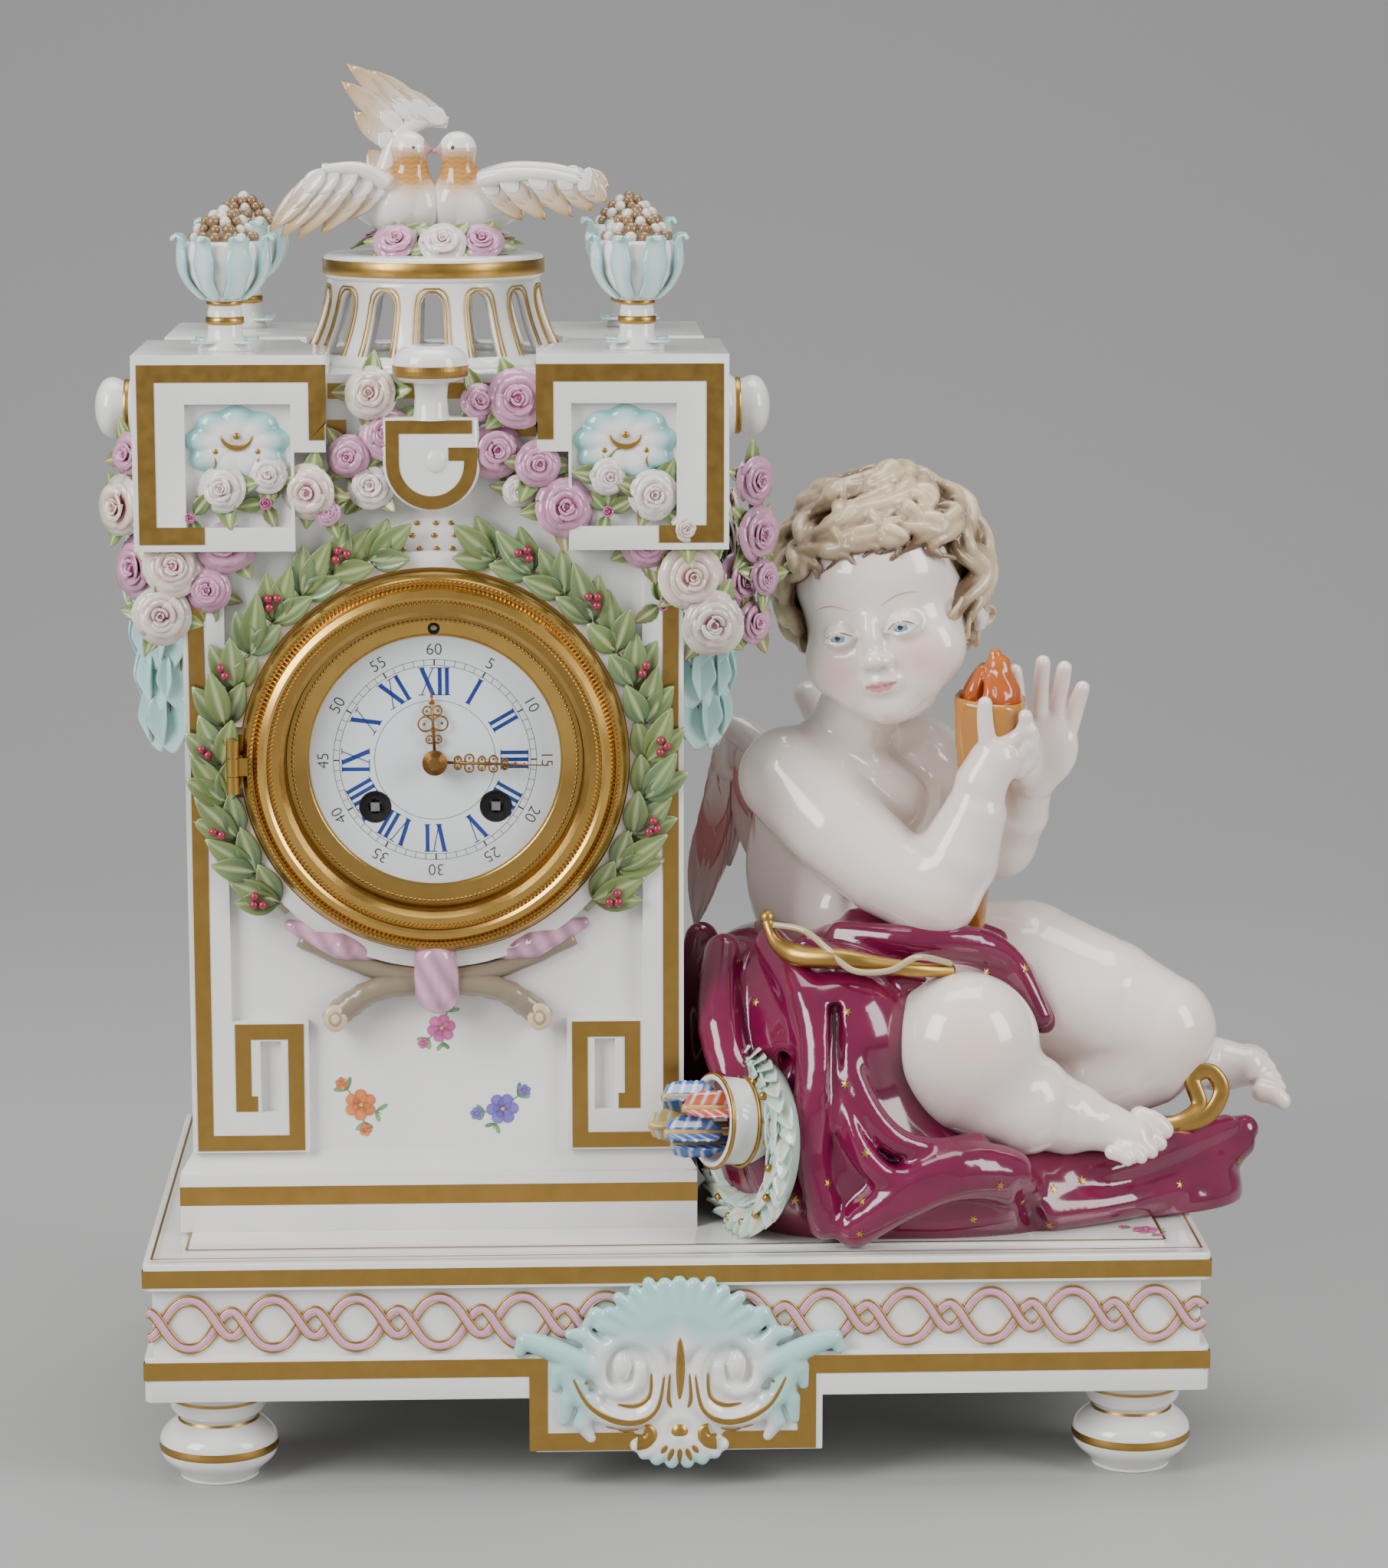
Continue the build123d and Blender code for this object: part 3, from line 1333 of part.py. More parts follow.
def make_pin_wheel():
    """The strike's second wheel, with the pins that lift the hammer."""
    place = pin_wheel_place()
    x, z = at_dial(*place)
    phase = meshed_phase(great_teeth, 0, great_pinion_teeth, strike_direction)
    y0, y1 = layer(great_layer - end_gap, 2 * wheel_thickness + 2 * end_gap)
    piece = slab(gear(great_pinion_teeth, great_module, phase), x, z, y0, y1)
    w0, w1 = layer(2 * wheel_thickness, wheel_thickness)
    piece += slab(gear(strike_wheel_teeth, strike_module, 0), x, z, w0, w1)
    pin_radius = strike_wheel_teeth * strike_module / 2 * 0.8
    for direction in range(0, 360, 90):
        px, pz = polar(pin_radius, direction)
        piece += disc(x + px, z + pz, pivot_radius, w1, w1 + pinion_length)
    return piece + between_plates(x, z, arbor_radius)


def make_fly():
    """The two bladed air brake that steadies the striking."""
    x, z = at_dial(*fly_place())
    phase = meshed_phase(strike_wheel_teeth, 0, fly_pinion_teeth, fly_direction)
    y0, y1 = layer(2 * wheel_thickness - end_gap, wheel_thickness + 2 * end_gap)
    piece = slab(gear(fly_pinion_teeth, strike_module, phase), x, z, y0, y1)
    v0, v1 = layer(escape_layer - 2 * wheel_thickness, plate_gap * 0.4)
    reach, half = fly_reach, wheel_thickness / 3
    piece += block(x - reach, x + reach, v0, v1, z - half, z + half)
    return piece + between_plates(x, z, pivot_radius * 1.2)


def make_hammer():
    """The hammer on its own arbor, with its head outside the bell's rim."""
    x, z = at_dial(hammer_x, hammer_z)
    head_distance = bell_radius + hammer_head_radius + 2 * fit_gap
    head_direction = 173.0
    head_x, head_z = at_dial(*polar(head_distance, head_direction))
    arm_y = bell_mouth_y - wheel_thickness - fit_gap
    piece = between_plates(x, z, arbor_radius)
    piece += disc(x, z, arbor_radius, back_plate_inner - end_gap, arm_y + wheel_thickness)
    arm_middle = arm_y + wheel_thickness / 2
    arm = round_rod((x, arm_middle, z), (head_x, arm_middle, head_z), wheel_thickness / 2)
    head = disc(head_x, head_z, hammer_head_radius, arm_y, arm_y + hammer_head_length)
    tail_y = front_plate_inner + escape_layer
    tail = block(x - arbor_radius / 2, x + arbor_radius / 2, tail_y, tail_y + wheel_thickness,
                 z - 6 * arbor_radius, z)
    return piece + arm + head + tail


def make_bell():
    """A shallow bell behind the movement, open towards it, flat where it is bolted."""
    x, z = at_dial(0, 0)
    radius_shares = (1.0, 0.93, 0.66, 0.2)
    depth_shares = (0.0, 0.45, 0.86, 1.0)
    outer = [(r * bell_radius, bell_mouth_y + d * bell_depth) for r, d in zip(radius_shares, depth_shares)]
    inner = [(r - bell_wall, y - bell_wall) for r, y in outer]
    inner[0] = (bell_radius - bell_wall, bell_mouth_y)
    back = Plane(origin=(x, 0, z), x_dir=(1, 0, 0), z_dir=(0, 1, 0))
    bell = faceted(back, outer, 36) - faceted(back, inner, 36)
    hole_radius = bell_post_radius / 2 + running_gap
    return bell - disc(x, z, hole_radius, bell_mouth_y, bell_mouth_y + 2 * bell_depth)


def make_bell_stand():
    """A post from the back plate, an arm to the middle and the stud that holds the bell."""
    post_x, post_z = at_dial(bell_post_x, bell_post_z)
    x, z = at_dial(0, 0)
    radius = bell_post_radius
    arm_y = bell_mouth_y + bell_depth * 0.35
    post = disc(post_x, post_z, radius, back_plate_y, arm_y + radius)
    arm = round_rod((post_x, arm_y, post_z), (x, arm_y, z), radius * 0.7)
    crown = bell_mouth_y + bell_depth
    stud = disc(x, z, radius, arm_y - radius, crown - bell_wall)
    stud += disc(x, z, radius / 2, crown - bell_wall, crown + bell_wall)
    nut = disc(x, z, radius * 1.4, crown, crown + bell_wall)
    return post + arm + stud + nut


def make_back_ring():
    """The brass ring in the back opening, with fixed knuckles for the back door."""
    x, z = at_dial(0, 0)
    inner = tube_radius - tube_wall
    face = case_back + back_ring_thickness
    ring = turned_y(x, z, (inner, case_back - case_wall), (tube_radius, case_back - case_wall),
                    (tube_radius, case_back), (back_ring_radius, case_back), (back_ring_radius, face),
                    (inner, face))
    pin_x, pin_y = back_hinge_axis()
    radius, length = hinge_knuckle_radius, hinge_knuckle_length
    for side in (-1, 1):
        z0 = z + side * (length + end_gap)
        knuckle = Pos(pin_x, pin_y, z0) * Cylinder(radius, length)
        foot = block(pin_x - radius, pin_x + radius, face, pin_y, z0 - length / 2, z0 + length / 2)
        ring += knuckle + foot
    bore = Pos(pin_x, pin_y, z) * Cylinder(hinge_pin_radius + running_gap, 4 * length)
    return ring - bore


def back_hinge_axis():
    y = case_back + back_ring_thickness + hinge_knuckle_radius + fit_gap
    return case_x - back_door_radius - 2 * hinge_knuckle_radius - fit_gap, y


def make_back_door():
    """A plain brass cover disc, hinged on its left with its own pin."""
    x, z = at_dial(0, 0)
    pin_x, pin_y = back_hinge_axis()
    radius, length = hinge_knuckle_radius, hinge_knuckle_length
    y0 = case_back + back_ring_thickness + fit_gap
    cover = disc(x, z, back_door_radius, y0, y0 + back_door_thickness)
    tab = block(pin_x, x - back_door_radius + 2 * radius, y0, y0 + back_door_thickness,
                z - length / 2, z + length / 2)
    knuckle = Pos(pin_x, pin_y, z) * Cylinder(radius, length)
    pin = Pos(pin_x, pin_y, z) * Cylinder(hinge_pin_radius, 3 * length)
    return cover + tab + knuckle + pin


def make_straps():
    """The two long straps inside the case that pull the front and back rings together."""
    straps = []
    inner = tube_radius - tube_wall
    for side in (-1, 1):
        x0 = case_x + side * inner
        x1 = case_x + side * tube_radius
        straps.append(block(x0, x1, front_plate_y, case_back - case_wall,
                            dial_height - strap_width / 2, dial_height + strap_width / 2))
    return straps


# The seated child and its attributes

def placed(x_share, y_share, z_share):
    """A point counted in head lengths from the seat point on the plinth."""
    return (figure_x + x_share * head_length, y_share * head_length, plinth_top + z_share * head_length)


def part_of(places_share, start, end, start_share, end_share):
    return limb(placed(*places_share[start]), placed(*places_share[end]),
                start_share * head_length, end_share * head_length)


figure_places_share = {
    "pelvis": (0.13, 0.07, 0.9), "belly": (0.12, 0.02, 1.2), "chest": (0.08, 0.04, 1.66),
    "throat": (0.05, -0.02, 2.02), "chin": (0.2, -0.28, 2.44), "crown": (0.23, -0.14, 2.86),
    "near_shoulder": (-0.16, -0.2, 1.86), "near_elbow": (0.42, -0.6, 1.46),
    "near_wrist": (0.62, -0.6, 1.9), "near_hand": (0.71, -0.56, 2.12),
    "far_shoulder": (0.38, 0.12, 1.9), "far_elbow": (0.78, 0.02, 1.48),
    "far_wrist": (0.9, -0.28, 1.86), "far_palm": (0.94, -0.3, 2.1), "far_fingers": (0.99, -0.3, 2.4),
    "near_hip": (0.14, -0.16, 0.86), "near_knee": (0.55, -0.84, 0.8), "near_ankle": (0.9, -0.78, 0.36),
    "near_toes": (1.32, -0.8, 0.4), "far_hip": (0.46, 0.14, 0.92), "far_knee": (1.46, -0.34, 0.74),
    "far_ankle": (1.72, -0.12, 0.5), "far_toes": (2.02, -0.14, 0.6),
}


def make_figure():
    """A plump seated child, bare, with one hand on a torch and the other raised."""
    at = figure_places_share
    body = part_of(at, "pelvis", "belly", 0.5, 0.47)
    body += part_of(at, "belly", "chest", 0.455, 0.39)
    body += part_of(at, "near_shoulder", "near_elbow", 0.24, 0.175)
    body += part_of(at, "far_shoulder", "far_elbow", 0.22, 0.165)
    body += part_of(at, "throat", "chin", 0.24, 0.2)
    body += part_of(at, "chin", "crown", 0.33, 0.44)
    body += part_of(at, "near_elbow", "near_wrist", 0.185, 0.12)
    body += part_of(at, "near_wrist", "near_hand", 0.11, 0.1)
    body += part_of(at, "far_elbow", "far_wrist", 0.155, 0.11)
    body += part_of(at, "far_wrist", "far_palm", 0.1, 0.125)
    body += part_of(at, "far_palm", "far_fingers", 0.11, 0.07)
    body += part_of(at, "near_hip", "near_knee", 0.4, 0.33)
    body += part_of(at, "near_knee", "near_ankle", 0.3, 0.17)
    body += part_of(at, "near_ankle", "near_toes", 0.18, 0.11)
    body += part_of(at, "far_hip", "far_knee", 0.42, 0.27)
    body += part_of(at, "far_knee", "far_ankle", 0.255, 0.15)
    body += part_of(at, "far_ankle", "far_toes", 0.16, 0.1)
    return body


def make_hair(figure):
    """A cap of curls over the back and sides of the head."""
    size = head_length
    crown = Vector(*placed(*figure_places_share["crown"]))
    middle = crown + Vector(0, size * 0.06, size * 0.02)
    cap = limb(middle - Vector(0, 0, size * 0.05), middle + Vector(0, 0, size * 0.05),
               size * 0.49, size * 0.47, sides=12)
    cap -= block(crown.X - size, crown.X + size, crown.Y - size, crown.Y - size * 0.22,
                 crown.Z - size, crown.Z + size * 0.14)
    ring_shares = ((9, -0.3, 0.42), (11, 0.0, 0.5), (9, 0.26, 0.4), (4, 0.44, 0.16))
    for count, height_share, reach_share in ring_shares:
        for index in range(count):
            turn = 360 / count * (index + 0.5)
            if sin(radians(turn)) < -0.6 and height_share < 0.2:
                continue
            dx, dy = polar(size * reach_share, turn)
            tip = middle + Vector(dx, dy, size * height_share)
            root = middle + Vector(dx * 0.7, dy * 0.7, size * height_share * 0.7)
            cap += rod(root, tip, size * 0.15, size * 0.09, sides=6)
    return solids_of(cap - figure)[:1]


def make_figure_wings(figure):
    """Two small feathered wings behind the shoulders."""
    size = head_length
    root = Vector(*placed(-0.32, 0.34, 1.96))
    near = wing(root, root + Vector(-size * 0.3, size * 0.06, -size * 0.78), size * 0.42, -0.2)
    far_root = Vector(*placed(0.17, 0.33, 1.84))
    far = wing(far_root, far_root + Vector(-size * 0.34, size * 0.3, size * 0.5), size * 0.34, 0.0)
    return [solids_of(part - figure)[0] for part in (near, far)]


def mound(centre_share, reach_shares):
    """A rounded heap with flat facets, from its middle and its reach along X, Y and Z."""
    centre = Vector(*placed(*centre_share))
    reach_x, reach_y, reach_z = (share * head_length for share in reach_shares)
    level_shares = ((0.34, -0.94), (0.76, -0.66), (0.98, -0.24), (0.98, 0.24), (0.76, 0.66), (0.34, 0.94))
    sides = 14
    rings = []
    for width_share, height_share in level_shares:
        corners = [polar(width_share, 360 * index / sides) for index in range(sides)]
        rings.append([centre + Vector(x * reach_x, y * reach_y, height_share * reach_z) for x, y in corners])
    return skin(rings)


cloth_mound_shares = (
    ((0.08, -0.08, 0.39), (0.76, 0.82, 0.66)), ((-0.05, -0.39, 0.76), (0.56, 0.62, 0.46)),
    ((-0.03, 0.06, 0.89), (0.64, 0.52, 0.36)), ((0.68, -0.39, 0.1), (0.78, 0.68, 0.34)),
    ((1.29, -0.39, 0.02), (0.6, 0.41, 0.28)), ((-0.33, -0.26, 1.0), (0.33, 0.46, 0.28)),
    ((-0.03, -0.7, 0.84), (0.38, 0.41, 0.41)), ((-0.03, -0.62, 0.29), (0.6, 0.57, 0.55)),
    ((0.39, -0.73, 0.13), (0.55, 0.43, 0.28)),
)
cloth_fold_shares = (
    ((1.18, -0.45, 0.13, 0.22), (1.82, -0.29, 0.27, 0.09)),
    ((0.03, -0.45, 1.13, 0.2), (0.78, -0.46, 1.04, 0.15), (0.92, -0.49, 0.87, 0.09)),
    ((-0.2, -0.88, 1.06, 0.08), (-0.15, -1.06, 0.76, 0.12), (-0.19, -1.12, 0.44, 0.11),
     (-0.12, -1.14, 0.12, 0.08)),
    ((-0.5, -0.66, 1.0, 0.09), (-0.44, -0.9, 0.56, 0.1), (-0.36, -1.02, 0.24, 0.07)),
    ((-0.04, -1.0, 0.92, 0.06), (0.14, -1.18, 0.5, 0.07), (0.52, -1.04, 0.42, 0.06)),
    ((0.04, -1.17, 0.1, 0.09), (0.44, -1.16, 0.32, 0.13), (0.76, -0.96, 0.16, 0.09)),
    ((0.82, -0.81, 0.21, 0.11), (1.46, -0.6, 0.27, 0.1), (1.76, -0.38, 0.31, 0.07)),
    ((-0.64, 0.06, 1.1, 0.08), (-0.64, 0.02, 0.4, 0.09), (-0.58, -0.04, 0.1, 0.08)),
    ((-0.4, 0.42, 1.08, 0.08), (-0.52, 0.52, 0.4, 0.09)), ((0.42, 0.48, 1.0, 0.08), (0.56, 0.52, 0.4, 0.09)),
)


def make_drape(figure, case):
    """The starred cloth: heaps over the seat, the lap and the ground, with the large folds over them."""
    cloth = None
    for centre_share, reach_shares in cloth_mound_shares:
        heap = mound(centre_share, reach_shares)
        cloth = heap if cloth is None else cloth + heap
    for fold in cloth_fold_shares:
        for start, end in zip(fold, fold[1:]):
            cloth += limb(placed(*start[:3]), placed(*end[:3]), start[3] * head_length, end[3] * head_length)
    ground = block(-plinth_width, plinth_width, -plinth_depth, plinth_depth, 0, plinth_top)
    return largest_of(cloth - figure - case - ground)


def make_torch(figure, cloth):
    """A short torch held upright: a tapered shaft, a cup and its flame."""
    foot = placed(0.6, -0.44, 1.06)
    neck = placed(0.62, -0.44, 2.02)
    rim = placed(0.62, -0.44, 2.36)
    flame = placed(0.62, -0.44, 2.6)
    torch = rod(foot, neck, torch_shaft_radius * 0.8, torch_shaft_radius)
    torch += rod(neck, rim, torch_shaft_radius, torch_cup_radius)
    torch += rod(rim, flame, torch_cup_radius * 0.8, torch_shaft_radius / 2)
    return largest_of(torch - figure - cloth)


def make_bow(figure, cloth):
    """The gilt bow laid across the lap."""
    start, middle, end = (placed(*p) for p in ((-0.36, -0.76, 1.23), (0.0, -1.06, 1.08), (0.51, -1.14, 0.91)))
    bow = rod(start, middle, bow_radius * 0.6, bow_radius) + rod(middle, end, bow_radius, bow_radius * 0.6)
    return largest_of(bow - cloth - figure)


def quiver_axis():
    return Vector(*placed(-0.62, -1.02, 0.53)), Vector(-0.91, -0.4, 0.1).normalized()


def make_quiver(figure):
    """The mouth of the quiver coming out of the cloth, with raised rings."""
    mouth, direction = quiver_axis()
    start = mouth - direction * quiver_length
    quiver = rod(start, mouth, quiver_radius * 0.9, quiver_radius)
    for ring_share in (0.35, 0.72, 1.0):
        ring_end = start + direction * quiver_length * ring_share
        quiver += rod(ring_end - direction * quiver_length * 0.1, ring_end,
                      quiver_radius * 1.08, quiver_radius * 1.08)
    return largest_of(quiver - figure)


def make_arrows():
    """Feathered arrow ends standing out of the quiver's mouth."""
    mouth, direction = quiver_axis()
    base = Plane(mouth, x_dir=(0, 0, 1), z_dir=direction)
    bundle = None
    for index in range(arrow_count):
        place = Pos(*polar(quiver_radius * 0.55, 360 / arrow_count * index), 0)
        feather = base * place * Rot(0, 0, 72 * index) * Rectangle(arrow_width, arrow_width * 0.7)
        reach = arrow_length * (0.8 + 0.08 * index)
        arrow = extrude(feather, reach, dir=direction)
        bundle = arrow if bundle is None else bundle + arrow
    return solids_of(bundle)


def make_quiver_wreath(quiver, cloth, case, figure):
    """A ring of laurel round the quiver's mouth."""
    mouth, direction = quiver_axis()
    plane = Plane(mouth - direction * quiver_wreath_thickness * 0.9, z_dir=direction)
    ring = RegularPolygon(quiver_wreath_radius + quiver_wreath_thickness / 2, 12)
    ring -= RegularPolygon(quiver_wreath_radius - quiver_wreath_thickness / 2, 12)
    wreath = extrude(plane * ring, quiver_wreath_thickness * 0.8)
    floor = block(-plinth_width, plinth_width, -plinth_depth, plinth_depth, 0, plinth_top)
    return largest_of(wreath - quiver - cloth - case - figure - floor)


# Output: each named piece goes to a file of its own, with the whole clock centred over the origin
left_end = case_x - ear_width / 2 - volute_length
right_end = placed(*figure_places_share["far_toes"])[0] + 0.09 * head_length
part_centre_x = (left_end + right_end) / 2
part_centre_y = -cartouche_relief / 2
os.makedirs("parts", exist_ok=True)


def keep(name, shape):
    """Write one named piece."""
    items = shape if isinstance(shape, (list, ShapeList)) else [shape]
    solids = [Solid(solid.wrapped) for item in items for solid in item.solids()]
    export_step(Pos(-part_centre_x, -part_centre_y, 0) * Compound(children=solids), f"parts/{name}.step")


case = make_case()
plinth = make_plinth()
figure = make_figure()
stems = make_stems()
laurel = make_laurel(case)
quiver = make_quiver(figure)
cloth = largest_of(make_drape(figure, case) - quiver)
dove_left, dove_right = make_doves()
keep("plinth", plinth)
keep("bun_feet", make_feet())
keep("plinth_cartouche", make_cartouche(plinth))
keep("guilloche_relief", make_guilloche())
keep("case_body", case)
keep("shell_paterae", make_paterae())
keep("pierced_dome", make_dome())
keep("dome_flower_mound", make_mound())
keep("dove_left", dove_left)
keep("dove_right", dove_right)
keep("urn_finials", make_finials())
keep("side_volutes", make_volutes())
keep("husk_pendants", make_pendants())
keep("keystone_bracket", make_keystone())
keep("garland_roses", make_garlands())
keep("laurel_wreath", laurel + [stems])
keep("ribbon_tie", make_ribbon(stems, laurel))
keep("bezel_flange", make_flange())
keep("bezel_door", make_bezel_door())
keep("bezel_hinge_pin", make_hinge_pin())
keep("bezel_glass", make_glass())
keep("dial_surround", make_surround())
keep("dial", make_dial())
keep("hour_hand", make_hour_hand())
keep("hour_wheel", make_hour_wheel())
keep("minute_hand", make_minute_hand())
keep("hand_nut", make_hand_nut())
keep("front_plate", make_front_plate())
keep("back_plate", make_back_plate())
keep("plate_pillars", make_pillars())
keep("going_barrel", make_barrel(1, 0))
keep("strike_barrel", make_barrel(-1, 0))
keep("going_winding_arbor", make_winding_arbor(1))
keep("strike_winding_arbor", make_winding_arbor(-1))
keep("intermediate_wheel", make_intermediate())
keep("centre_wheel", make_centre_arbor())
keep("minute_wheel", make_minute_wheel())
keep("third_wheel", make_third())
keep("escape_wheel", make_escape())
keep("pallets_crutch", make_pallets())
keep("suspension_cock", make_cock())
keep("pendulum", make_pendulum())
keep("regulator_arbor", make_regulator())
keep("strike_pin_wheel", make_pin_wheel())
keep("strike_fly", make_fly())
keep("strike_hammer", make_hammer())
keep("bell", make_bell())
keep("bell_stand", make_bell_stand())
keep("case_straps", make_straps())
keep("back_ring", make_back_ring())
keep("back_door", make_back_door())
keep("figure_body", figure)
keep("figure_hair", make_hair(figure))
keep("figure_wings", make_figure_wings(figure))
keep("drape", cloth)
keep("torch", make_torch(figure, cloth))
keep("bow", make_bow(figure, cloth))
keep("quiver", quiver)
keep("arrows", make_arrows())
keep("quiver_wreath", make_quiver_wreath(quiver, cloth, case, figure))
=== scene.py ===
import math
import random

import bmesh
import bpy
import numpy as np
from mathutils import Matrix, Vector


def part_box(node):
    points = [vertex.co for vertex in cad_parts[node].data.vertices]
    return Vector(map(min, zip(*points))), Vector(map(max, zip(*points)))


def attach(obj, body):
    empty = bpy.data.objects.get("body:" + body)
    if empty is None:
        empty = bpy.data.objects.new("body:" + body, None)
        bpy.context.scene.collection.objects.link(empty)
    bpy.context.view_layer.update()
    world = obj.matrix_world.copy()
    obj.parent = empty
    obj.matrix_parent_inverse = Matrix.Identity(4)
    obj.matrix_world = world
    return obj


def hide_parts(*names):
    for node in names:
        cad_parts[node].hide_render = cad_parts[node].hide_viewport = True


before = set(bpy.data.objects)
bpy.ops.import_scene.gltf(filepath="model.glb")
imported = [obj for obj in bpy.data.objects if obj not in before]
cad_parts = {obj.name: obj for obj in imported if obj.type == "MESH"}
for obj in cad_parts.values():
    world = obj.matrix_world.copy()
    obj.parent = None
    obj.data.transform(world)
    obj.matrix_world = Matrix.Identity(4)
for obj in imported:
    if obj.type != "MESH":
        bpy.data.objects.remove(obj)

import openvdb
from mathutils import Vector
from mathutils.bvhtree import BVHTree

# The looks of a porcelain mantel clock. Everything is worked out in millimetres in the row's own frame,
# with x to the viewer's right, y away from the viewer and z up, and is turned into metres when it is made.

MM = 0.001
PI = math.pi
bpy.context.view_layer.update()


def node_box(name):
    """The lowest and highest corner of a node, in millimetres."""
    low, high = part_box(name)
    return np.array(low) / MM, np.array(high) / MM


plinth_low, plinth_high = node_box("plinth")
case_low, case_high = node_box("case_body")
dial_low, dial_high = node_box("dial")
flange_low = node_box("bezel_flange")[0]
door_low = node_box("bezel_door")[0]
middle_x = (plinth_low[0] + plinth_high[0]) / 2
middle_y = (plinth_low[1] + plinth_high[1]) / 2
plinth_top = plinth_high[2]
dial_x = (dial_low[0] + dial_high[0]) / 2
dial_z = (dial_low[2] + dial_high[2]) / 2
case_x = dial_x


# Camera

camera_place = (middle_x - 52.0, middle_y - 1520.0, 496.0)
camera_pitch = 10.1
camera_yaw = 2.3
camera_lens = 100.39
sensor_width = 36.0
nearest, farthest = 0.05, 50.0


def make_camera():
    data = bpy.data.cameras.new("camera")
    data.lens = camera_lens
    data.sensor_width = sensor_width
    data.clip_start = nearest
    data.clip_end = farthest
    camera = link("camera", data)
    camera.location = Vector(camera_place) * MM
    camera.rotation_euler = (math.radians(90 - camera_pitch), 0, math.radians(-camera_yaw))
    bpy.context.scene.camera = camera


# Materials

def shader(name):
    material = bpy.data.materials.new(name)
    material.use_nodes = True
    tree = material.node_tree
    return material, tree, tree.nodes["Principled BSDF"]


def add_node(tree, kind, inputs=(), **settings):
    node = tree.nodes.new(kind)
    for key, value in settings.items():
        setattr(node, key, value)
    for key, value in dict(inputs).items():
        if isinstance(value, bpy.types.NodeSocket):
            tree.links.new(value, node.inputs[key])
        else:
            node.inputs[key].default_value = value
    return node


def noise_of(tree, scale, detail=3.0, roughness=0.5):
    """A noise value that stays put on the object, in the row's frame."""
    place = add_node(tree, "ShaderNodeTexCoord")
    return add_node(tree, "ShaderNodeTexNoise", {"Vector": place.outputs["Object"], "Scale": scale,
                                                 "Detail": detail, "Roughness": roughness}).outputs["Fac"]


def ramp(tree, value, low, high, out_low=0.0, out_high=1.0):
    return add_node(tree, "ShaderNodeMapRange", {"Value": value, "From Min": low, "From Max": high,
                                                 "To Min": out_low, "To Max": out_high}).outputs["Result"]


def mixed(tree, factor, first, second, mode="MIX"):
    node = add_node(tree, "ShaderNodeMix", data_type="RGBA", blend_type=mode)
    for socket, value in ((node.inputs[0], factor), (node.inputs[6], first), (node.inputs[7], second)):
        if isinstance(value, bpy.types.NodeSocket):
            tree.links.new(value, socket)
        else:
            socket.default_value = value
    return node.outputs[2]


def rgba(colour):
    return (*colour, 1.0)


def set_sockets(principled, values):
    for key, value in values.items():
        principled.inputs[key].default_value = value


def bumped(tree, principled, height, distance, strength=0.4):
    node = add_node(tree, "ShaderNodeBump", {"Height": height, "Distance": distance, "Strength": strength})
    tree.links.new(node.outputs["Normal"], principled.inputs["Normal"])


def make_glaze(name, colour=None, shade=None, gloss=0.12, wave=0.00025):
    """Glazed porcelain: a faintly mottled colour under a clear coat. With no colour, the mesh's own paint."""
    material, tree, principled = shader(name)
    if colour is None:
        paint = add_node(tree, "ShaderNodeAttribute", attribute_name="paint").outputs["Color"]
        shaded = mixed(tree, 0.12, paint, mixed(tree, noise_of(tree, 90), rgba((0.55, 0.55, 0.55)),
                                                rgba((1.35, 1.35, 1.35))), "MULTIPLY")
    else:
        mottled = ramp(tree, noise_of(tree, 35, 4), 0.35, 0.7)
        shaded = mixed(tree, mottled, rgba(colour), rgba(shade))
    tree.links.new(shaded, principled.inputs["Base Color"])
    tree.links.new(ramp(tree, noise_of(tree, 60), 0.3, 0.7, gloss * 0.8, gloss * 1.5),
                   principled.inputs["Roughness"])
    set_sockets(principled, {"IOR": 1.5, "Coat Weight": 0.6, "Coat Roughness": 0.04,
                             "Subsurface Weight": 0.06, "Subsurface Radius": (0.004, 0.003, 0.002)})
    bumped(tree, principled, noise_of(tree, 55, 2), wave, 0.35)
    return material


def make_dull(name, colour, roughness):
    """One plain colour without a gloss coat."""
    material, principled = shader(name)[::2]
    set_sockets(principled, {"Base Color": rgba(colour), "Roughness": roughness})
    return material


def make_metal(name, colour, worn, roughness, grain=900.0, depth=0.00003, uneven=1.0):
    """Metal or burnished gold: brighter and darker patches, fine scratches and an uneven shine."""
    material, tree, principled = shader(name)
    patches = ramp(tree, noise_of(tree, 120, 5, 0.6), 0.35, 0.68)
    tree.links.new(mixed(tree, patches, rgba(colour), rgba(worn)), principled.inputs["Base Color"])
    tree.links.new(ramp(tree, noise_of(tree, 260, 4), 0.3, 0.7,
                        roughness * (1 - 0.3 * uneven), roughness * (1 + 0.5 * uneven)),
                   principled.inputs["Roughness"])
    principled.inputs["Metallic"].default_value = 1.0
    bumped(tree, principled, noise_of(tree, grain, 4), depth, 0.5)
    return material


def make_clear_glass():
    """Thin clear glass: mostly see-through, with a soft reflection that grows towards the edge."""
    material, tree, principled = shader("clear_glass")
    see_through = add_node(tree, "ShaderNodeBsdfTransparent")
    shine = add_node(tree, "ShaderNodeBsdfGlossy", {"Roughness": 0.03})
    facing = add_node(tree, "ShaderNodeLayerWeight", {"Blend": 0.12}).outputs["Fresnel"]
    amount = ramp(tree, facing, 0.0, 1.0, 0.0, 0.55)
    both = add_node(tree, "ShaderNodeMixShader", {0: amount, 1: see_through.outputs[0], 2: shine.outputs[0]})
    tree.links.new(both.outputs[0], tree.nodes["Material Output"].inputs["Surface"])
    tree.nodes.remove(principled)
    return material


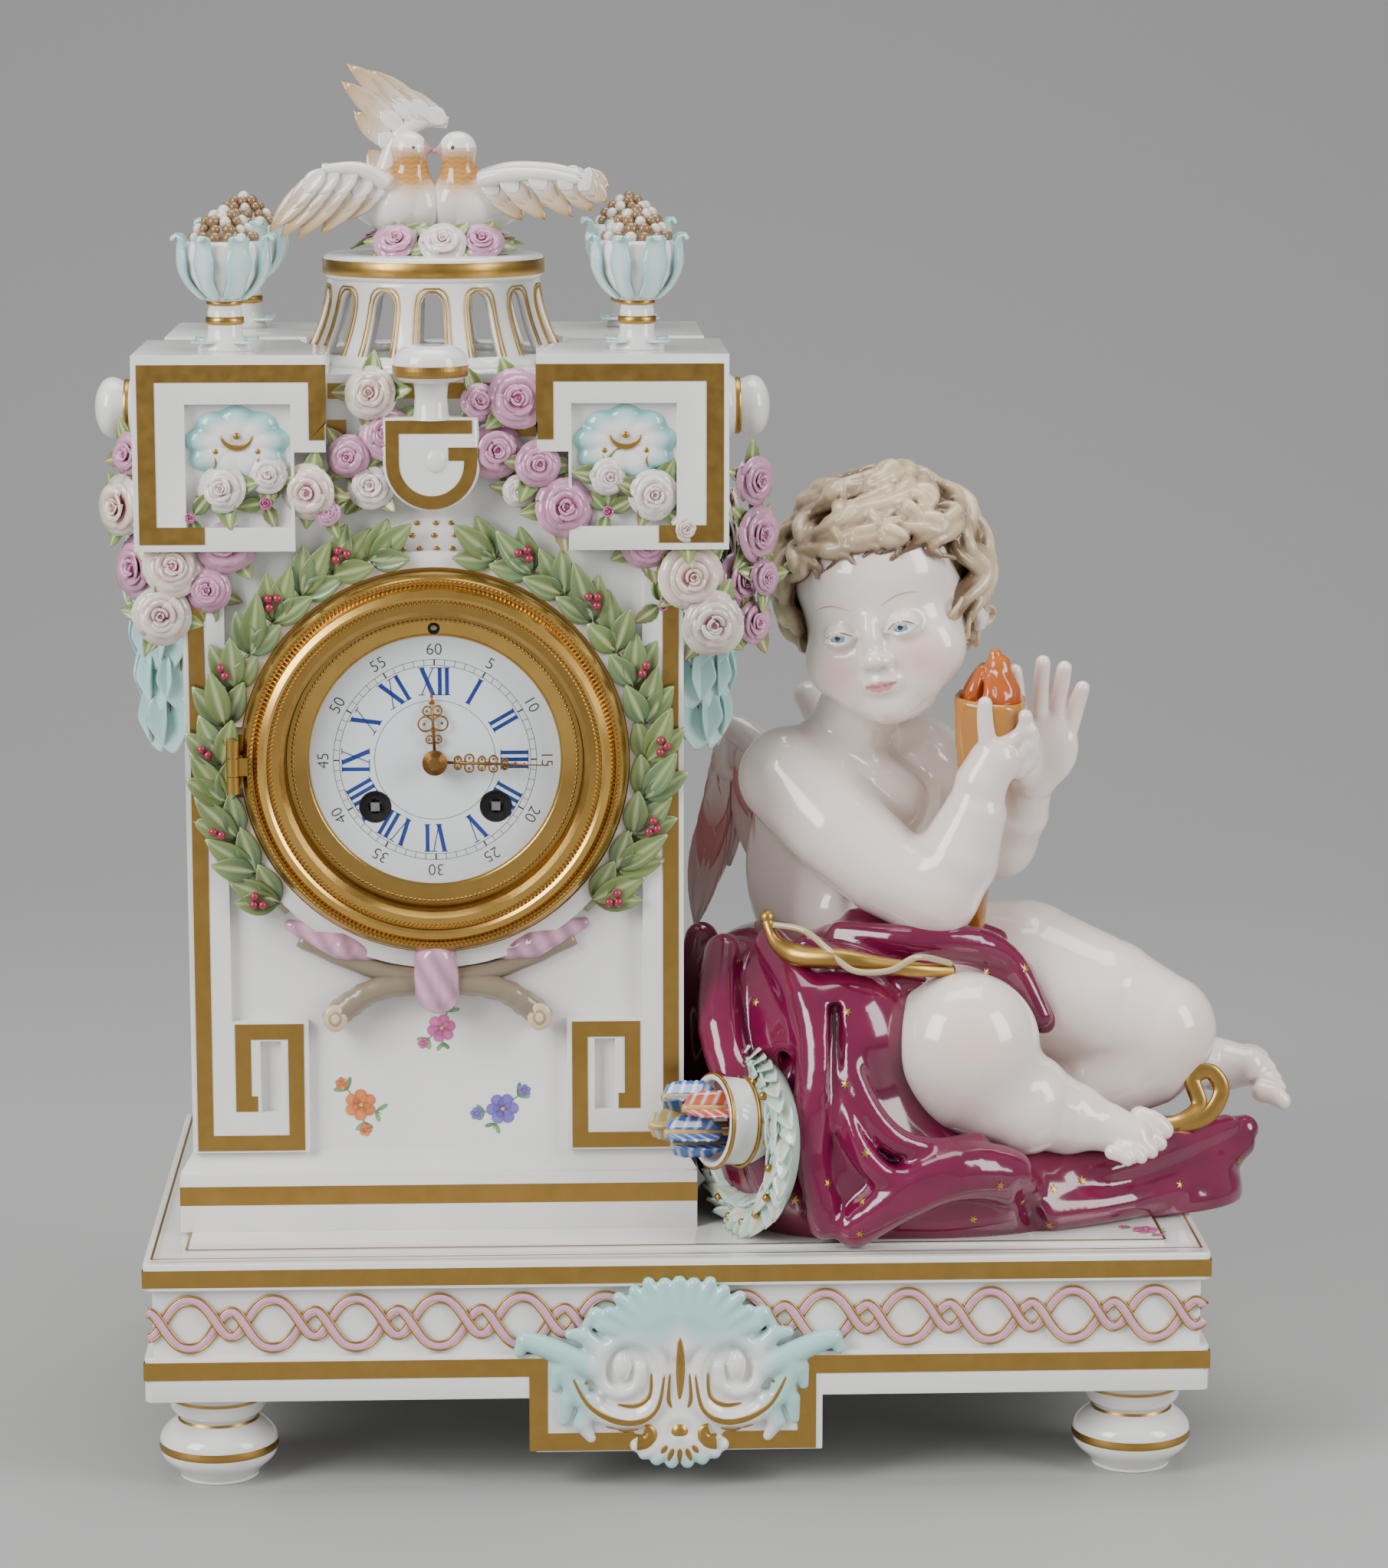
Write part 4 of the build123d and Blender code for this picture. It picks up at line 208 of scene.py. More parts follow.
def make_strands():
    """Painted hair: the mesh's paint with soft uneven washes."""
    material, tree, principled = shader("hair_glaze")
    paint = add_node(tree, "ShaderNodeAttribute", attribute_name="paint").outputs["Color"]
    washes = ramp(tree, noise_of(tree, 210, 5, 0.65), 0.35, 0.65)
    shaded = mixed(tree, 0.5, paint, mixed(tree, washes, rgba((0.62, 0.54, 0.44)), rgba((1.1, 1.1, 1.1))),
                   "MULTIPLY")
    tree.links.new(shaded, principled.inputs["Base Color"])
    set_sockets(principled, {"Roughness": 0.3, "Coat Weight": 0.4})
    bumped(tree, principled, noise_of(tree, 300, 3), 0.0001, 0.2)
    return material


white = make_glaze("white_glaze", (0.83, 0.82, 0.79), (0.78, 0.775, 0.75))
painted = make_glaze("painted_glaze")
satin_painted = make_glaze("painted_soft_glaze", gloss=0.3)
gold = make_metal("burnished_gold", (0.47, 0.285, 0.08), (0.42, 0.25, 0.065), 0.34, uneven=0.4)
bezel_brass = make_metal("gilt_bezel", (0.60, 0.37, 0.10), (0.55, 0.33, 0.085), 0.24,
                         depth=0.000006, uneven=0.15)
brass = make_metal("lacquered_brass", (0.66, 0.47, 0.19), (0.52, 0.35, 0.12), 0.28)
steel = make_metal("polished_steel", (0.50, 0.51, 0.53), (0.36, 0.37, 0.39), 0.24)
hand_gilt = make_metal("darkened_gilt", (0.36, 0.19, 0.06), (0.20, 0.10, 0.03), 0.38)
bell_metal = make_metal("bell_metal", (0.70, 0.60, 0.36), (0.58, 0.47, 0.24), 0.2)
enamel = make_glaze("white_enamel", (0.80, 0.84, 0.86), (0.76, 0.80, 0.82), 0.08, 0.00005)
numeral_blue = make_glaze("numeral_blue", (0.008, 0.03, 0.20), (0.015, 0.05, 0.28), 0.15, 0.00005)
numeral_black = make_glaze("numeral_black", (0.03, 0.03, 0.035), (0.07, 0.07, 0.08), 0.15, 0.00005)
# Near black, for the painted shade inside the dial's holes.
painted_hole_shade = make_dull("painted_hole_shade", (0.003, 0.003, 0.003), 0.8)
glass = make_clear_glass()
hair_glaze = make_strands()
cloth_glaze = make_glaze("cloth_glaze", (0.18, 0.004, 0.048), (0.11, 0.002, 0.032), 0.12, 0.0003)


# Making pieces

def link(name, data):
    made = bpy.data.objects.new(name, data)
    bpy.context.scene.collection.objects.link(made)
    return made


def dress(made, body, slot, stands_for=()):
    """Lets an object ride on a body and hides the nodes that it stands for; the slot is not used."""
    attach(made, body)
    if stands_for:
        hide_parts(*stands_for)
    return made


def piece(name, points, faces, finish, slot, body="clock_case", stands_for=(), smooth=True, paint=None):
    """Makes one mesh object from points in millimetres and lets it ride on a body."""
    mesh = bpy.data.meshes.new(name)
    mesh.from_pydata([tuple(point) for point in np.asarray(points, float) * MM], [], faces)
    mesh.materials.append(finish)
    if paint is not None:
        layer = mesh.color_attributes.new("paint", "FLOAT_COLOR", "POINT")
        values = np.ones((len(points), 4), np.float32)
        values[:, :3] = paint
        layer.data.foreach_set("color", values.ravel())
    if smooth:
        mesh.shade_smooth()
    return dress(link(name, mesh), body, slot, stands_for)


def modify(made, kind, **settings):
    modifier = made.modifiers.new(kind.lower(), kind)
    for key, value in settings.items():
        setattr(modifier, key, value)
    return modifier


class Form:
    """Points, faces and paint of one piece in the making, in millimetres."""

    def __init__(self):
        self.points = []
        self.faces = []
        self.paint = []
        self.count = 0

    def add(self, points, faces, colour=(1, 1, 1)):
        points = np.asarray(points, float).reshape(-1, 3)
        colours = np.broadcast_to(np.asarray(colour, float), (len(points), 3))
        self.points.append(points)
        self.paint.append(colours)
        self.faces.extend(tuple(index + self.count for index in face) for face in faces)
        self.count += len(points)

    def make(self, name, finish, slot, **options):
        return piece(name, np.vstack(self.points), self.faces, finish, slot,
                     paint=np.vstack(self.paint), **options)


def grid_faces(rows, columns, wrap_rows=False, wrap_columns=False):
    """Four sided faces over points that lie in rows and columns."""
    faces = []
    for i in range(rows if wrap_rows else rows - 1):
        for j in range(columns if wrap_columns else columns - 1):
            right = (j + 1) % columns
            below = (i + 1) % rows
            faces.append((i * columns + j, i * columns + right, below * columns + right, below * columns + j))
    return faces


def turned(profile, centre, axis, segments=96, closed=False):
    """Points and faces of a turned form. The profile holds (radius, place along the axis)."""
    angles = np.arange(segments) * 2 * PI / segments
    profile = np.asarray(profile, float)
    radius = profile[:, 0][:, None]
    along = np.broadcast_to(profile[:, 1][:, None], (len(profile), segments))
    across = radius * np.cos(angles)
    upward = radius * np.sin(angles)
    if axis == "y":
        points = np.stack([centre[0] + across, along, centre[1] + upward], -1)
    else:
        points = np.stack([centre[0] + across, centre[1] - upward, along], -1)
    return points.reshape(-1, 3), grid_faces(len(profile), segments, closed, True)


def frames_along(path):
    """Unit directions along a path, and two steady directions across it."""
    path = np.asarray(path, float)
    along = np.gradient(path, axis=0)
    along /= np.linalg.norm(along, axis=1)[:, None] + 1e-9
    helper = np.array([0.0, 0.0, 1.0]) if abs(along[0][2]) < 0.9 else np.array([0.0, 1.0, 0.0])
    side = np.cross(along[0], helper)
    sides = []
    for direction in along:
        side = side - direction * side.dot(direction)
        side = side / (np.linalg.norm(side) + 1e-9)
        sides.append(side)
    sides = np.array(sides)
    return along, sides, np.cross(along, sides)


def tube(path, radius, sides=8, flat=1.0, up=None):
    """Points and faces of a round or flattened rod along a path, closed by its own narrow ends."""
    path = np.asarray(path, float)
    along, side, other = frames_along(path)
    if up is not None:
        side = np.cross(along, np.broadcast_to(up, along.shape))
        side /= np.linalg.norm(side, axis=1)[:, None] + 1e-9
        other = np.cross(side, along)
    radius = np.broadcast_to(np.asarray(radius, float), (len(path),))
    angles = np.arange(sides) * 2 * PI / sides
    ring = side[:, None, :] * np.cos(angles)[:, None] + other[:, None, :] * np.sin(angles)[:, None] * flat
    points = path[:, None, :] + ring * radius[:, None, None]
    faces = grid_faces(len(path), sides, False, True)
    last = (len(path) - 1) * sides
    faces.append(tuple(range(sides))[::-1])
    faces.append(tuple(range(last, last + sides)))
    return points.reshape(-1, 3), faces


def curve_through(points, steps=8):
    """A smooth line through given points."""
    points = np.asarray(points, float)
    count = len(points)
    line = []
    for i in range(count - 1):
        before, start, end, after = (points[min(max(i + k, 0), count - 1)] for k in (-1, 0, 1, 2))
        for step in range(steps):
            t = step / steps
            line.append(0.5 * (2 * start + (end - before) * t
                               + (2 * before - 5 * start + 4 * end - after) * t ** 2
                               + (3 * start - before - 3 * end + after) * t ** 3))
    line.append(points[-1])
    return np.array(line)


def spread_along(path, values, shares=None):
    """Values spread over a line, evenly or at the given shares of it."""
    shares = np.linspace(0, 1, len(values)) if shares is None else shares
    return np.interp(np.linspace(0, 1, len(path)), shares, values)


def unit(vector):
    return np.asarray(vector, float) / np.linalg.norm(vector)


def square_to(axis, helper=(0.05, 0.1, 1.0)):
    """Two directions square to an axis and to each other."""
    side = unit(np.cross(axis, helper))
    return side, np.cross(side, axis)


def spoke_at(side, other, angle):
    """The direction at an angle from one direction towards another."""
    return side * math.cos(angle) + other * math.sin(angle)


def ball(centre, radius, segments=10, rings=7, squeeze=(1, 1, 1)):
    """Points and faces of a small round berry or bead."""
    angles = np.linspace(0, PI, rings)
    around = np.arange(segments) * 2 * PI / segments
    points = np.stack([np.outer(np.sin(angles), np.cos(around)), np.outer(np.sin(angles), np.sin(around)),
                       np.outer(np.cos(angles), np.ones(segments))], -1)
    points = points * radius * np.asarray(squeeze) + np.asarray(centre)
    return points.reshape(-1, 3), grid_faces(rings, segments, False, True)


flat_angle = 1.0
soft_edge_angle = 35.0
weld_distance = 0.001


def softened(node, finish, slot, width):
    """A copy of a node with rounded edges, as glazed edges are, that stands for the node."""
    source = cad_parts[node]
    mesh = bmesh.new()
    mesh.from_mesh(source.data)
    bmesh.ops.remove_doubles(mesh, verts=mesh.verts, dist=MM * weld_distance)
    bmesh.ops.dissolve_limit(mesh, angle_limit=math.radians(flat_angle), verts=mesh.verts, edges=mesh.edges)
    data = bpy.data.meshes.new("dressed_" + node)
    mesh.to_mesh(data)
    mesh.free()
    data.materials.append(finish)
    data.shade_smooth()
    made = link("dressed_" + node, data)
    modify(made, "BEVEL", width=width * MM, segments=3, limit_method="ANGLE",
           angle_limit=math.radians(soft_edge_angle), harden_normals=True)
    dress(made, "clock_case", slot, (node,))


def band(form, corners, front, thickness=0.25):
    """A flat painted band on a front face: corners are its outline in x and z."""
    corners = np.asarray(corners, float)
    count = len(corners)
    near = np.stack([corners[:, 0], np.full(count, front - thickness), corners[:, 1]], -1)
    far = np.stack([corners[:, 0], np.full(count, front + thickness), corners[:, 1]], -1)
    faces = [tuple(range(count))] + [(i, i + count, (i + 1) % count + count, (i + 1) % count)
                                     for i in range(count)]
    form.add(np.vstack([near, far]), faces)


def run_of_bands(form, path, width, front, thickness=0.25):
    """Bands of one width along straight runs with mitred corners, in x and z."""
    path = np.asarray(path, float)
    left, right = [], []
    for i, corner in enumerate(path):
        before = path[i] - path[i - 1] if i else path[1] - path[0]
        after = path[i + 1] - path[i] if i + 1 < len(path) else before
        before, after = unit(before), unit(after)
        normal = unit([-(before + after)[1], (before + after)[0]])
        reach = width / 2 / max(0.3, normal.dot([-after[1], after[0]]))
        left.append(corner + normal * reach)
        right.append(corner - normal * reach)
    for i in range(len(path) - 1):
        band(form, [left[i], left[i + 1], right[i + 1], right[i]], front, thickness)


# Places on the case and the plinth

ear_front = case_low[1]
body_front = ear_front + 10.0
relief_front = body_front - 3.5
step_front = ear_front + 3.0
plinth_front = plinth_low[1]
case_foot = plinth_top
case_top = case_high[2]
band_width = 5.8
line_width = 0.9
gilt_thickness = 0.1
step_band_height = (9.4, 16.0)
step_half = 88.5


def make_case():
    """The case with gold bands along its ears, its lower panels and its step."""
    softened("case_body", white, "white_porcelain", 0.9)
    bands = Form()
    for side in (-1, 1):
        ear = [(75.5, 322.3), (94.3, 322.3), (94.3, 376.2), (37.6, 376.2), (37.6, 357.0), (35.2, 357.0)]
        run_of_bands(bands, [(case_x + side * u, z) for u, z in ear], band_width, ear_front)
        edge = [(79.6, 316.5), (79.6, 112.6), (48.4, 112.6), (48.4, 151.6), (66.4, 151.6), (66.4, 126.4),
                (61.6, 126.4)]
        run_of_bands(bands, [(case_x + side * u, z) for u, z in edge], band_width * 0.92, relief_front)
        inner = [(34.8, 357.0), (28.5, 357.0)]
        run_of_bands(bands, [(case_x + side * u, z) for u, z in inner], band_width, body_front)
    middle = [(-34.5, 369.5), (34.5, 369.5)]
    run_of_bands(bands, [(case_x + u, z) for u, z in middle], band_width * 0.9, body_front)
    step_band(bands)
    bands.make("case_gilding", gold, "white_porcelain", smooth=False)


def step_band(form):
    """The gold band round the step at the foot of the case."""
    low = (case_x - step_half, step_front, case_foot + step_band_height[0])
    high = (case_x + step_half, case_high[1], case_foot + step_band_height[1])
    band_round(form, low, high)


def band_round(form, low, high, sides=4):
    """A thin flat band round the upright sides of a box. With three sides the front stays bare."""
    x0, y0, z0 = np.asarray(low, float) - (gilt_thickness, gilt_thickness, 0)
    x1, y1, z1 = np.asarray(high, float) + (gilt_thickness, gilt_thickness, 0)
    corners = [(x0, y0), (x1, y0), (x1, y1), (x0, y1)]
    points = [(x, y, z) for z in (z0, z1) for x, y in corners]
    form.add(points, [(i, (i + 1) % 4, (i + 1) % 4 + 4, i + 4) for i in range(4 - sides, 4)])


upper_band = (73.0, 79.0)
lower_band = 43.9
lower_band_width = 6.2
drop_panel = (middle_x - 47.6, middle_x + 43.2)
drop_panel_foot = 17.6


def make_plinth():
    """The plinth with a gold band above and one below, which dips round the dropped panel."""
    softened("plinth", white, "white_porcelain", 1.1)
    bands = Form()
    low, high = plinth_low, plinth_high
    band_round(bands, (low[0], low[1], upper_band[0]), (high[0], high[1], upper_band[1]))
    for start, panel, end in ((low[0] - 0.2, drop_panel[0], middle_x - 13.0),
                              (high[0] + 0.2, drop_panel[1], middle_x + 9.0)):
        path = [(start, lower_band), (panel, lower_band), (panel, drop_panel_foot), (end, drop_panel_foot)]
        run_of_bands(bands, path, lower_band_width, plinth_front)
    half = lower_band_width / 2
    band_round(bands, (low[0], low[1], lower_band - half), (high[0], high[1], lower_band + half), 3)
    top_lines(bands)
    bands.make("plinth_gilding", gold, "white_porcelain", smooth=False)


def top_lines(form):
    """Two thin gold lines on the plinth's top, near its edge."""
    z = plinth_top + 0.12
    for inset in (2.6, 13.5):
        x0, y0 = plinth_low[0] + inset, plinth_low[1] + inset
        x1, y1 = plinth_high[0] - inset, plinth_high[1] - inset
        for low, high in (((x0, y0), (x1, y0 + line_width)), ((x0, y1 - line_width), (x1, y1)),
                          ((x0, y0), (x0 + line_width, y1)), ((x1 - line_width, y0), (x1, y1))):
            form.add([(low[0], low[1], z), (high[0], low[1], z), (high[0], high[1], z), (low[0], high[1], z)],
                     [(0, 1, 2, 3)])


def make_feet():
    """Four turned bun feet with gold lines."""
    low, high = node_box("bun_feet")
    reach = 20.5
    form = Form()
    gilt = Form()
    top = high[2]
    profile = [(0.5, 0.0), (12.4, 0.0), (13.2, 1.0), (15.5, 3.6), (19.2, 7.2), (20.3, 11.0), (19.6, 15.2),
               (16.4, 18.6), (13.8, 20.4), (13.4, 21.6), (14.6, 22.6), (16.2, 24.4), (16.6, 27.0),
               (16.2, 30.2), (14.6, top - 0.6), (14.2, top)]
    belly = [(19.0, 8.0), (19.9, 9.6), (20.35, 11.0), (20.1, 13.0)]
    line = [(16.45, 27.8), (16.5, 29.0)]
    neck = [(13.9, 20.3), (13.5, 21.2)]
    for x in (low[0] + reach, high[0] - reach):
        for y in (low[1] + reach, high[1] - reach):
            form.add(*turned(curve_through(profile, 4), (x, y), "z", 64))
            for strip in (belly, line, neck):
                outward = [(radius + 0.12, z) for radius, z in strip]
                gilt.add(*turned(curve_through(outward, 3), (x, y), "z", 64))
    form.make("foot_turnings", white, "white_porcelain", stands_for=("bun_feet",))
    gilt.make("foot_gilding", gold, "white_porcelain")


# Bezel, dial and hands

def beads(form, radius, y, size, count):
    for i in range(count):
        angle = 2 * PI * i / count
        centre = (dial_x + radius * math.cos(angle), y, dial_z + radius * math.sin(angle))
        form.add(*ball(centre, size, 6, 5))


def make_bezel():
    """The door's moulded gilt ring with two rows of beads."""
    front = door_low[1]
    back = flange_low[1] + 10.7
    door = Form()
    profile = [(64.6, back + 0.0), (64.6, front + 7.6), (64.0, front + 5.6), (62.9, front + 4.4),
               (61.0, front + 4.6), (60.2, front + 3.6), (59.2, front + 1.4), (57.2, front + 0.5),
               (56.2, front + 1.2), (55.9, front + 2.4), (54.4, front + 2.6), (53.8, front + 3.6),
               (52.9, front + 5.2), (51.9, front + 6.4), (51.8, front + 7.4), (50.7, front + 7.8),
               (50.6, front + 9.2), (52.8, back)]
    door.add(*turned(profile, (dial_x, dial_z), "y", 144, closed=True))
    beads(door, 61.9, front + 4.3, 0.72, 250)
    beads(door, 55.1, front + 2.3, 0.66, 232)
    made = door.make("bezel_ring", bezel_brass, "gilt_brass", body="bezel_door_body")
    modify(made, "EDGE_SPLIT", split_angle=math.radians(38))
    finish_node("bezel_door", bezel_brass)


def make_surround():
    """The stepped gilt ring between the bezel and the dial."""
    low, high = node_box("dial_surround")
    front, back = low[1], high[1]
    profile = [(50.0, front + 0.2), (49.4, front), (47.2, front + 0.25), (46.4, front + 0.6),
               (45.2, front + 0.9), (43.6, front + 1.1), (42.5, back - 0.5), (42.5, back), (49.9, back)]
    ring = Form()
    ring.add(*turned(profile, (dial_x, dial_z), "y", 128, closed=True))
    beads(ring, 48.0, front + 0.1, 0.6, 190)
    ring.make("surround_ring", bezel_brass, "gilt_brass")


# Each letter has its width and its straight strokes: (start, end, width) in shares of its height.
roman_strokes = {
    "I": (0.26, [((0.13, 0), (0.13, 1), 0.14)]),
    "V": (0.62, [((0.12, 1), (0.33, 0), 0.15), ((0.33, 0), (0.52, 1), 0.035)]),
    "X": (0.66, [((0.12, 1), (0.54, 0), 0.16), ((0.54, 1), (0.12, 0), 0.035)]),
}
roman_numbers = ("XII", "I", "II", "III", "IIII", "V", "VI", "VII", "VIII", "IX", "X", "XI")
numeral_foot = 22.2
numeral_height = 9.2
serif_reach = 0.12
serif_width = 0.28
track_radii = (20.4, 32.3, 34.3)
track_line = 0.16
five_minute_line = 0.5
figure_radius = 37.6
figure_size = 5.6
figure_thinning = -0.06
paint_lift = 0.06
regulator_height = 45.0
winding_side = 20.4
winding_drop = 16.0
winding_holes = tuple(np.array((dial_x + side * winding_side, dial_z - winding_drop)) for side in (-1, 1))
hole_radius = 5.3


def dial_point(clock_angle, radius, sideways=0.0):
    """A place on the dial: angle clockwise from twelve, radius, and a step to the right of it."""
    angle = math.radians(clock_angle)
    out = np.array([math.sin(angle), math.cos(angle)])
    right = np.array([out[1], -out[0]])
    place = out * radius + right * sideways
    return dial_x + place[0], dial_z + place[1]


stroke_cell = 0.35


def hole_distance(spot):
    return min(np.linalg.norm(np.array(spot) - hole) for hole in winding_holes)


def flat_stroke(form, start, end, width, y):
    """A painted stroke on the dial. Near a winding hole it is laid in small cells that stop at its edge."""
    start, end = np.array(start), np.array(end)
    length = np.linalg.norm(end - start)
    along = (end - start) / (length + 1e-9)
    across = np.array([-along[1], along[0]]) * width / 2
    middle = (start + end) / 2
    near = hole_distance(middle) < hole_radius + (length + width) / 2
    rows, columns = (max(1, int(size / stroke_cell)) if near else 1 for size in (length, width))
    for row in range(rows):
        for column in range(columns):
            lines = [start + (end - start) * (row + step) / rows for step in (0, 1)]
            sides = [across * (2 * (column + step) / columns - 1) for step in (1, 0)]
            corners = [lines[0] + sides[0], lines[1] + sides[0], lines[1] + sides[1], lines[0] + sides[1]]
            if hole_distance(sum(corners) / 4) > hole_radius:
                form.add([(x, y, z) for x, z in corners], [(0, 1, 2, 3)])


def roman_number(form, letters, clock_angle, y):
    total = sum(roman_strokes[letter][0] for letter in letters)
    left = -total / 2
    for letter in letters:
        width, strokes = roman_strokes[letter]
        for start, end, thick in strokes:
            ends = [dial_point(clock_angle, numeral_foot + v * numeral_height, (left + u) * numeral_height)
                    for u, v in (start, end)]
            flat_stroke(form, ends[0], ends[1], thick * numeral_height, y)
            for u, v in (start, end):
                serif = [dial_point(clock_angle, numeral_foot + v * numeral_height,
                                    (left + u + s) * numeral_height) for s in (-serif_reach, serif_reach)]
                flat_stroke(form, serif[0], serif[1], serif_width, y)
        left += width


def ring_line(form, radius, width, y, segments=180):
    form.add(*turned([(radius - width / 2, y), (radius + width / 2, y)], (dial_x, dial_z), "y", segments))


def make_minute_figures(y):
    """The plain minute numbers round the dial."""
    for index in range(12):
        minutes = 60 if index == 0 else index * 5
        curve = bpy.data.curves.new("figure", "FONT")
        curve.body = str(minutes)
        curve.size = figure_size * MM
        curve.align_x = "CENTER"
        curve.align_y = "CENTER"
        curve.offset = figure_thinning * MM
        text = link("minute_figure_%02d" % minutes, curve)
        x, z = dial_point(index * 30, figure_radius)
        text.location = Vector((x, y, z)) * MM
        text.rotation_euler = (PI / 2, math.radians(index * 30), 0)
        bpy.context.view_layer.update()
        mesh = bpy.data.meshes.new_from_object(text.evaluated_get(bpy.context.evaluated_depsgraph_get()))
        mesh.transform(text.matrix_world)
        bpy.data.objects.remove(text)
        mesh.materials.clear()
        mesh.materials.append(numeral_black)
        dress(link("minute_figure_%02d" % minutes, mesh), "clock_case", "white_enamel")


def make_dial():
    """The enamel dial with its figures, its minute track and near black rims and cups in its holes, which are
    painted shade.
    """
    finish_node("dial", enamel)
    y = dial_low[1] - paint_lift
    hours = Form()
    for index, letters in enumerate(roman_numbers):
        roman_number(hours, letters, index * 30, y)
    hours.make("hour_numerals", numeral_blue, "white_enamel", smooth=False)
    track = Form()
    for radius in track_radii:
        ring_line(track, radius, track_line, y)
    for minute in range(60):
        ends = [dial_point(minute * 6, radius) for radius in track_radii[1:]]
        flat_stroke(track, *ends, track_line if minute % 5 else five_minute_line, y)
    track.make("minute_track", numeral_black, "white_enamel", smooth=False)
    make_minute_figures(y)
    # Painted shade: near black rims and cups in the winding holes and round the regulator square stand for
    # the shade inside the holes.
    rims = Form()
    face = dial_low[1]
    for hole in winding_holes:
        rims.add(*turned([(2.5, face + 1.3), (5.0, face + 1.3), (5.0, face - 0.1), (5.5, face - 0.1),
                          (5.5, face + 0.2)], tuple(hole), "y", 40))
    stepped = node_box("dial_surround")[0][1]
    rims.add(*turned([(1.05, stepped + 0.9), (1.1, stepped + 0.3), (2.0, stepped + 0.2),
                      (2.05, stepped + 1.2)], (dial_x, dial_z + regulator_height), "y", 32))
    rims.make("winding_hole_shades", painted_hole_shade, "white_enamel")


def make_hand(name, length, clock_angle, y, body, node, pairs, tip):
    """A pierced hand: rings and scrolls of wire on both sides of a stem, with a leaf shaped tip."""
    form = Form()
    angle = math.radians(clock_angle)
    out = np.array([math.sin(angle), 0, math.cos(angle)])
    right = np.array([out[2], 0, -out[0]])
    start = np.array([dial_x, y, dial_z])
    form.add(*tube([start + out * 2.5, start + out * length * 0.5, start + out * length],
                   [0.55, 0.5, 0.18], 6))
    for share, size in pairs:
        for side in (-1, 1):
            centre = start + out * length * share + right * side * size
            circle = []
            for step in range(20):
                a = 2 * PI * step / 19
                circle.append(centre + out * math.cos(a) * size + right * math.sin(a) * size)
            form.add(*tube(circle, 0.34, 6))
            form.add(*ball(centre + right * side * size * 0.2, 0.55, 8, 5))
    for share, width in tip:
        form.add(*ball(start + out * length * share, width, 10, 7, (1, 0.35, 1)))
    form.add(*turned([(0.2, y - 0.7), (3.2, y - 0.6), (3.5, y), (3.2, y + 0.5), (0.2, y + 0.5)],
                     (dial_x, dial_z), "y", 40))
    form.make(name, hand_gilt, "gilt_bronze_hands", body=body, stands_for=(node,))


def make_hands():
    hour_low, hour_high = node_box("hour_hand")
    minute_low, minute_high = node_box("minute_hand")
    make_hand("pierced_hour_hand", 24.4, -2.5, (hour_low[1] + hour_high[1]) / 2, "hour_body", "hour_hand",
              ((0.30, 1.3), (0.52, 2.5), (0.70, 1.6)), ((0.82, 1.1), (0.9, 0.6), (0.42, 0.9)))
    make_hand("pierced_minute_hand", 38.6, 92.0, (minute_low[1] + minute_high[1]) / 2, "minute_body",
              "minute_hand", ((0.2, 1.1), (0.30, 1.5), (0.41, 1.2), (0.51, 1.4), (0.61, 0.9)),
              ((0.7, 0.9), (0.78, 0.7), (0.25, 0.8), (0.46, 0.8)))
    finish_node("hand_nut", hand_gilt)


def finish_node(node, finish):
    """Gives a node that keeps its own form its finish."""
    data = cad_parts[node].data
    data.materials.clear()
    data.materials.append(finish)


node_finishes = (
    (brass, ("front_plate", "back_plate", "plate_pillars", "going_barrel", "strike_barrel",
             "intermediate_wheel", "centre_wheel", "minute_wheel", "third_wheel", "escape_wheel",
             "suspension_cock", "pendulum", "strike_pin_wheel", "case_straps", "back_ring", "back_door",
             "hour_wheel")),
    (steel, ("bezel_hinge_pin", "going_winding_arbor", "strike_winding_arbor", "pallets_crutch",
             "regulator_arbor", "strike_fly", "strike_hammer", "bell_stand")),
    (bell_metal, ("bell",)),
    (glass, ("bezel_glass",)),
    (bezel_brass, ("bezel_flange", "dial_surround")),
)


def finish_movement():
    for finish, names in node_finishes:
        for name in names:
            finish_node(name, finish)


# Soft forms

far_outside = 50.0
skin_depth = 4.0


class Clay:
    """Soft forms joined smoothly on a grid, in millimetres. The field is below zero inside."""

    def __init__(self, low, high, cell):
        self.low = np.array(low, float)
        self.cell = cell
        size = np.ceil((np.array(high, float) - self.low) / cell).astype(int) + 1
        self.field = np.full(size, far_outside, np.float32)

    def window(self, low, high):
        size = np.array(self.field.shape)
        first = np.clip(np.floor((low - self.low) / self.cell).astype(int), 0, size - 1)
        last = np.clip(np.ceil((high - self.low) / self.cell).astype(int) + 1, first + 1, size)
        axes = [(self.low[k] + self.cell * np.arange(first[k], last[k])).astype(np.float32) for k in range(3)]
        return tuple(slice(a, b) for a, b in zip(first, last)), np.meshgrid(*axes, indexing="ij", sparse=True)

    def press(self, form, blend, sign):
        """Joins a form to the clay, or takes it away with the sign -1, and rounds the seam."""
        measure, low, high = form
        margin = blend + 2 * self.cell
        cut, spots = self.window(low - margin, high + margin)
        new = measure(*spots)
        old = sign * self.field[cut]
        overlap = np.maximum(blend - np.abs(old - new), 0) / blend
        self.field[cut] = sign * (np.minimum(old, new) - overlap * overlap * blend / 4)

    def add(self, form, blend=3.0):
        self.press(form, blend, 1)

    def carve(self, form, blend):
        self.press(form, blend, -1)

    def limb(self, points, radii, blend):
        self.add(chain(places(*points), radii), blend)

    def skin(self):
        """Points in millimetres and four sided faces of the surface."""
        grid = openvdb.FloatGrid(skin_depth)
        grid.copyFromArray(np.clip(self.field, -skin_depth, skin_depth))
        points, quads = grid.convertToQuads(0.0)
        faces = [tuple(quad) for quad in np.asarray(quads)[:, ::-1]]
        return np.asarray(points, float) * self.cell + self.low, faces


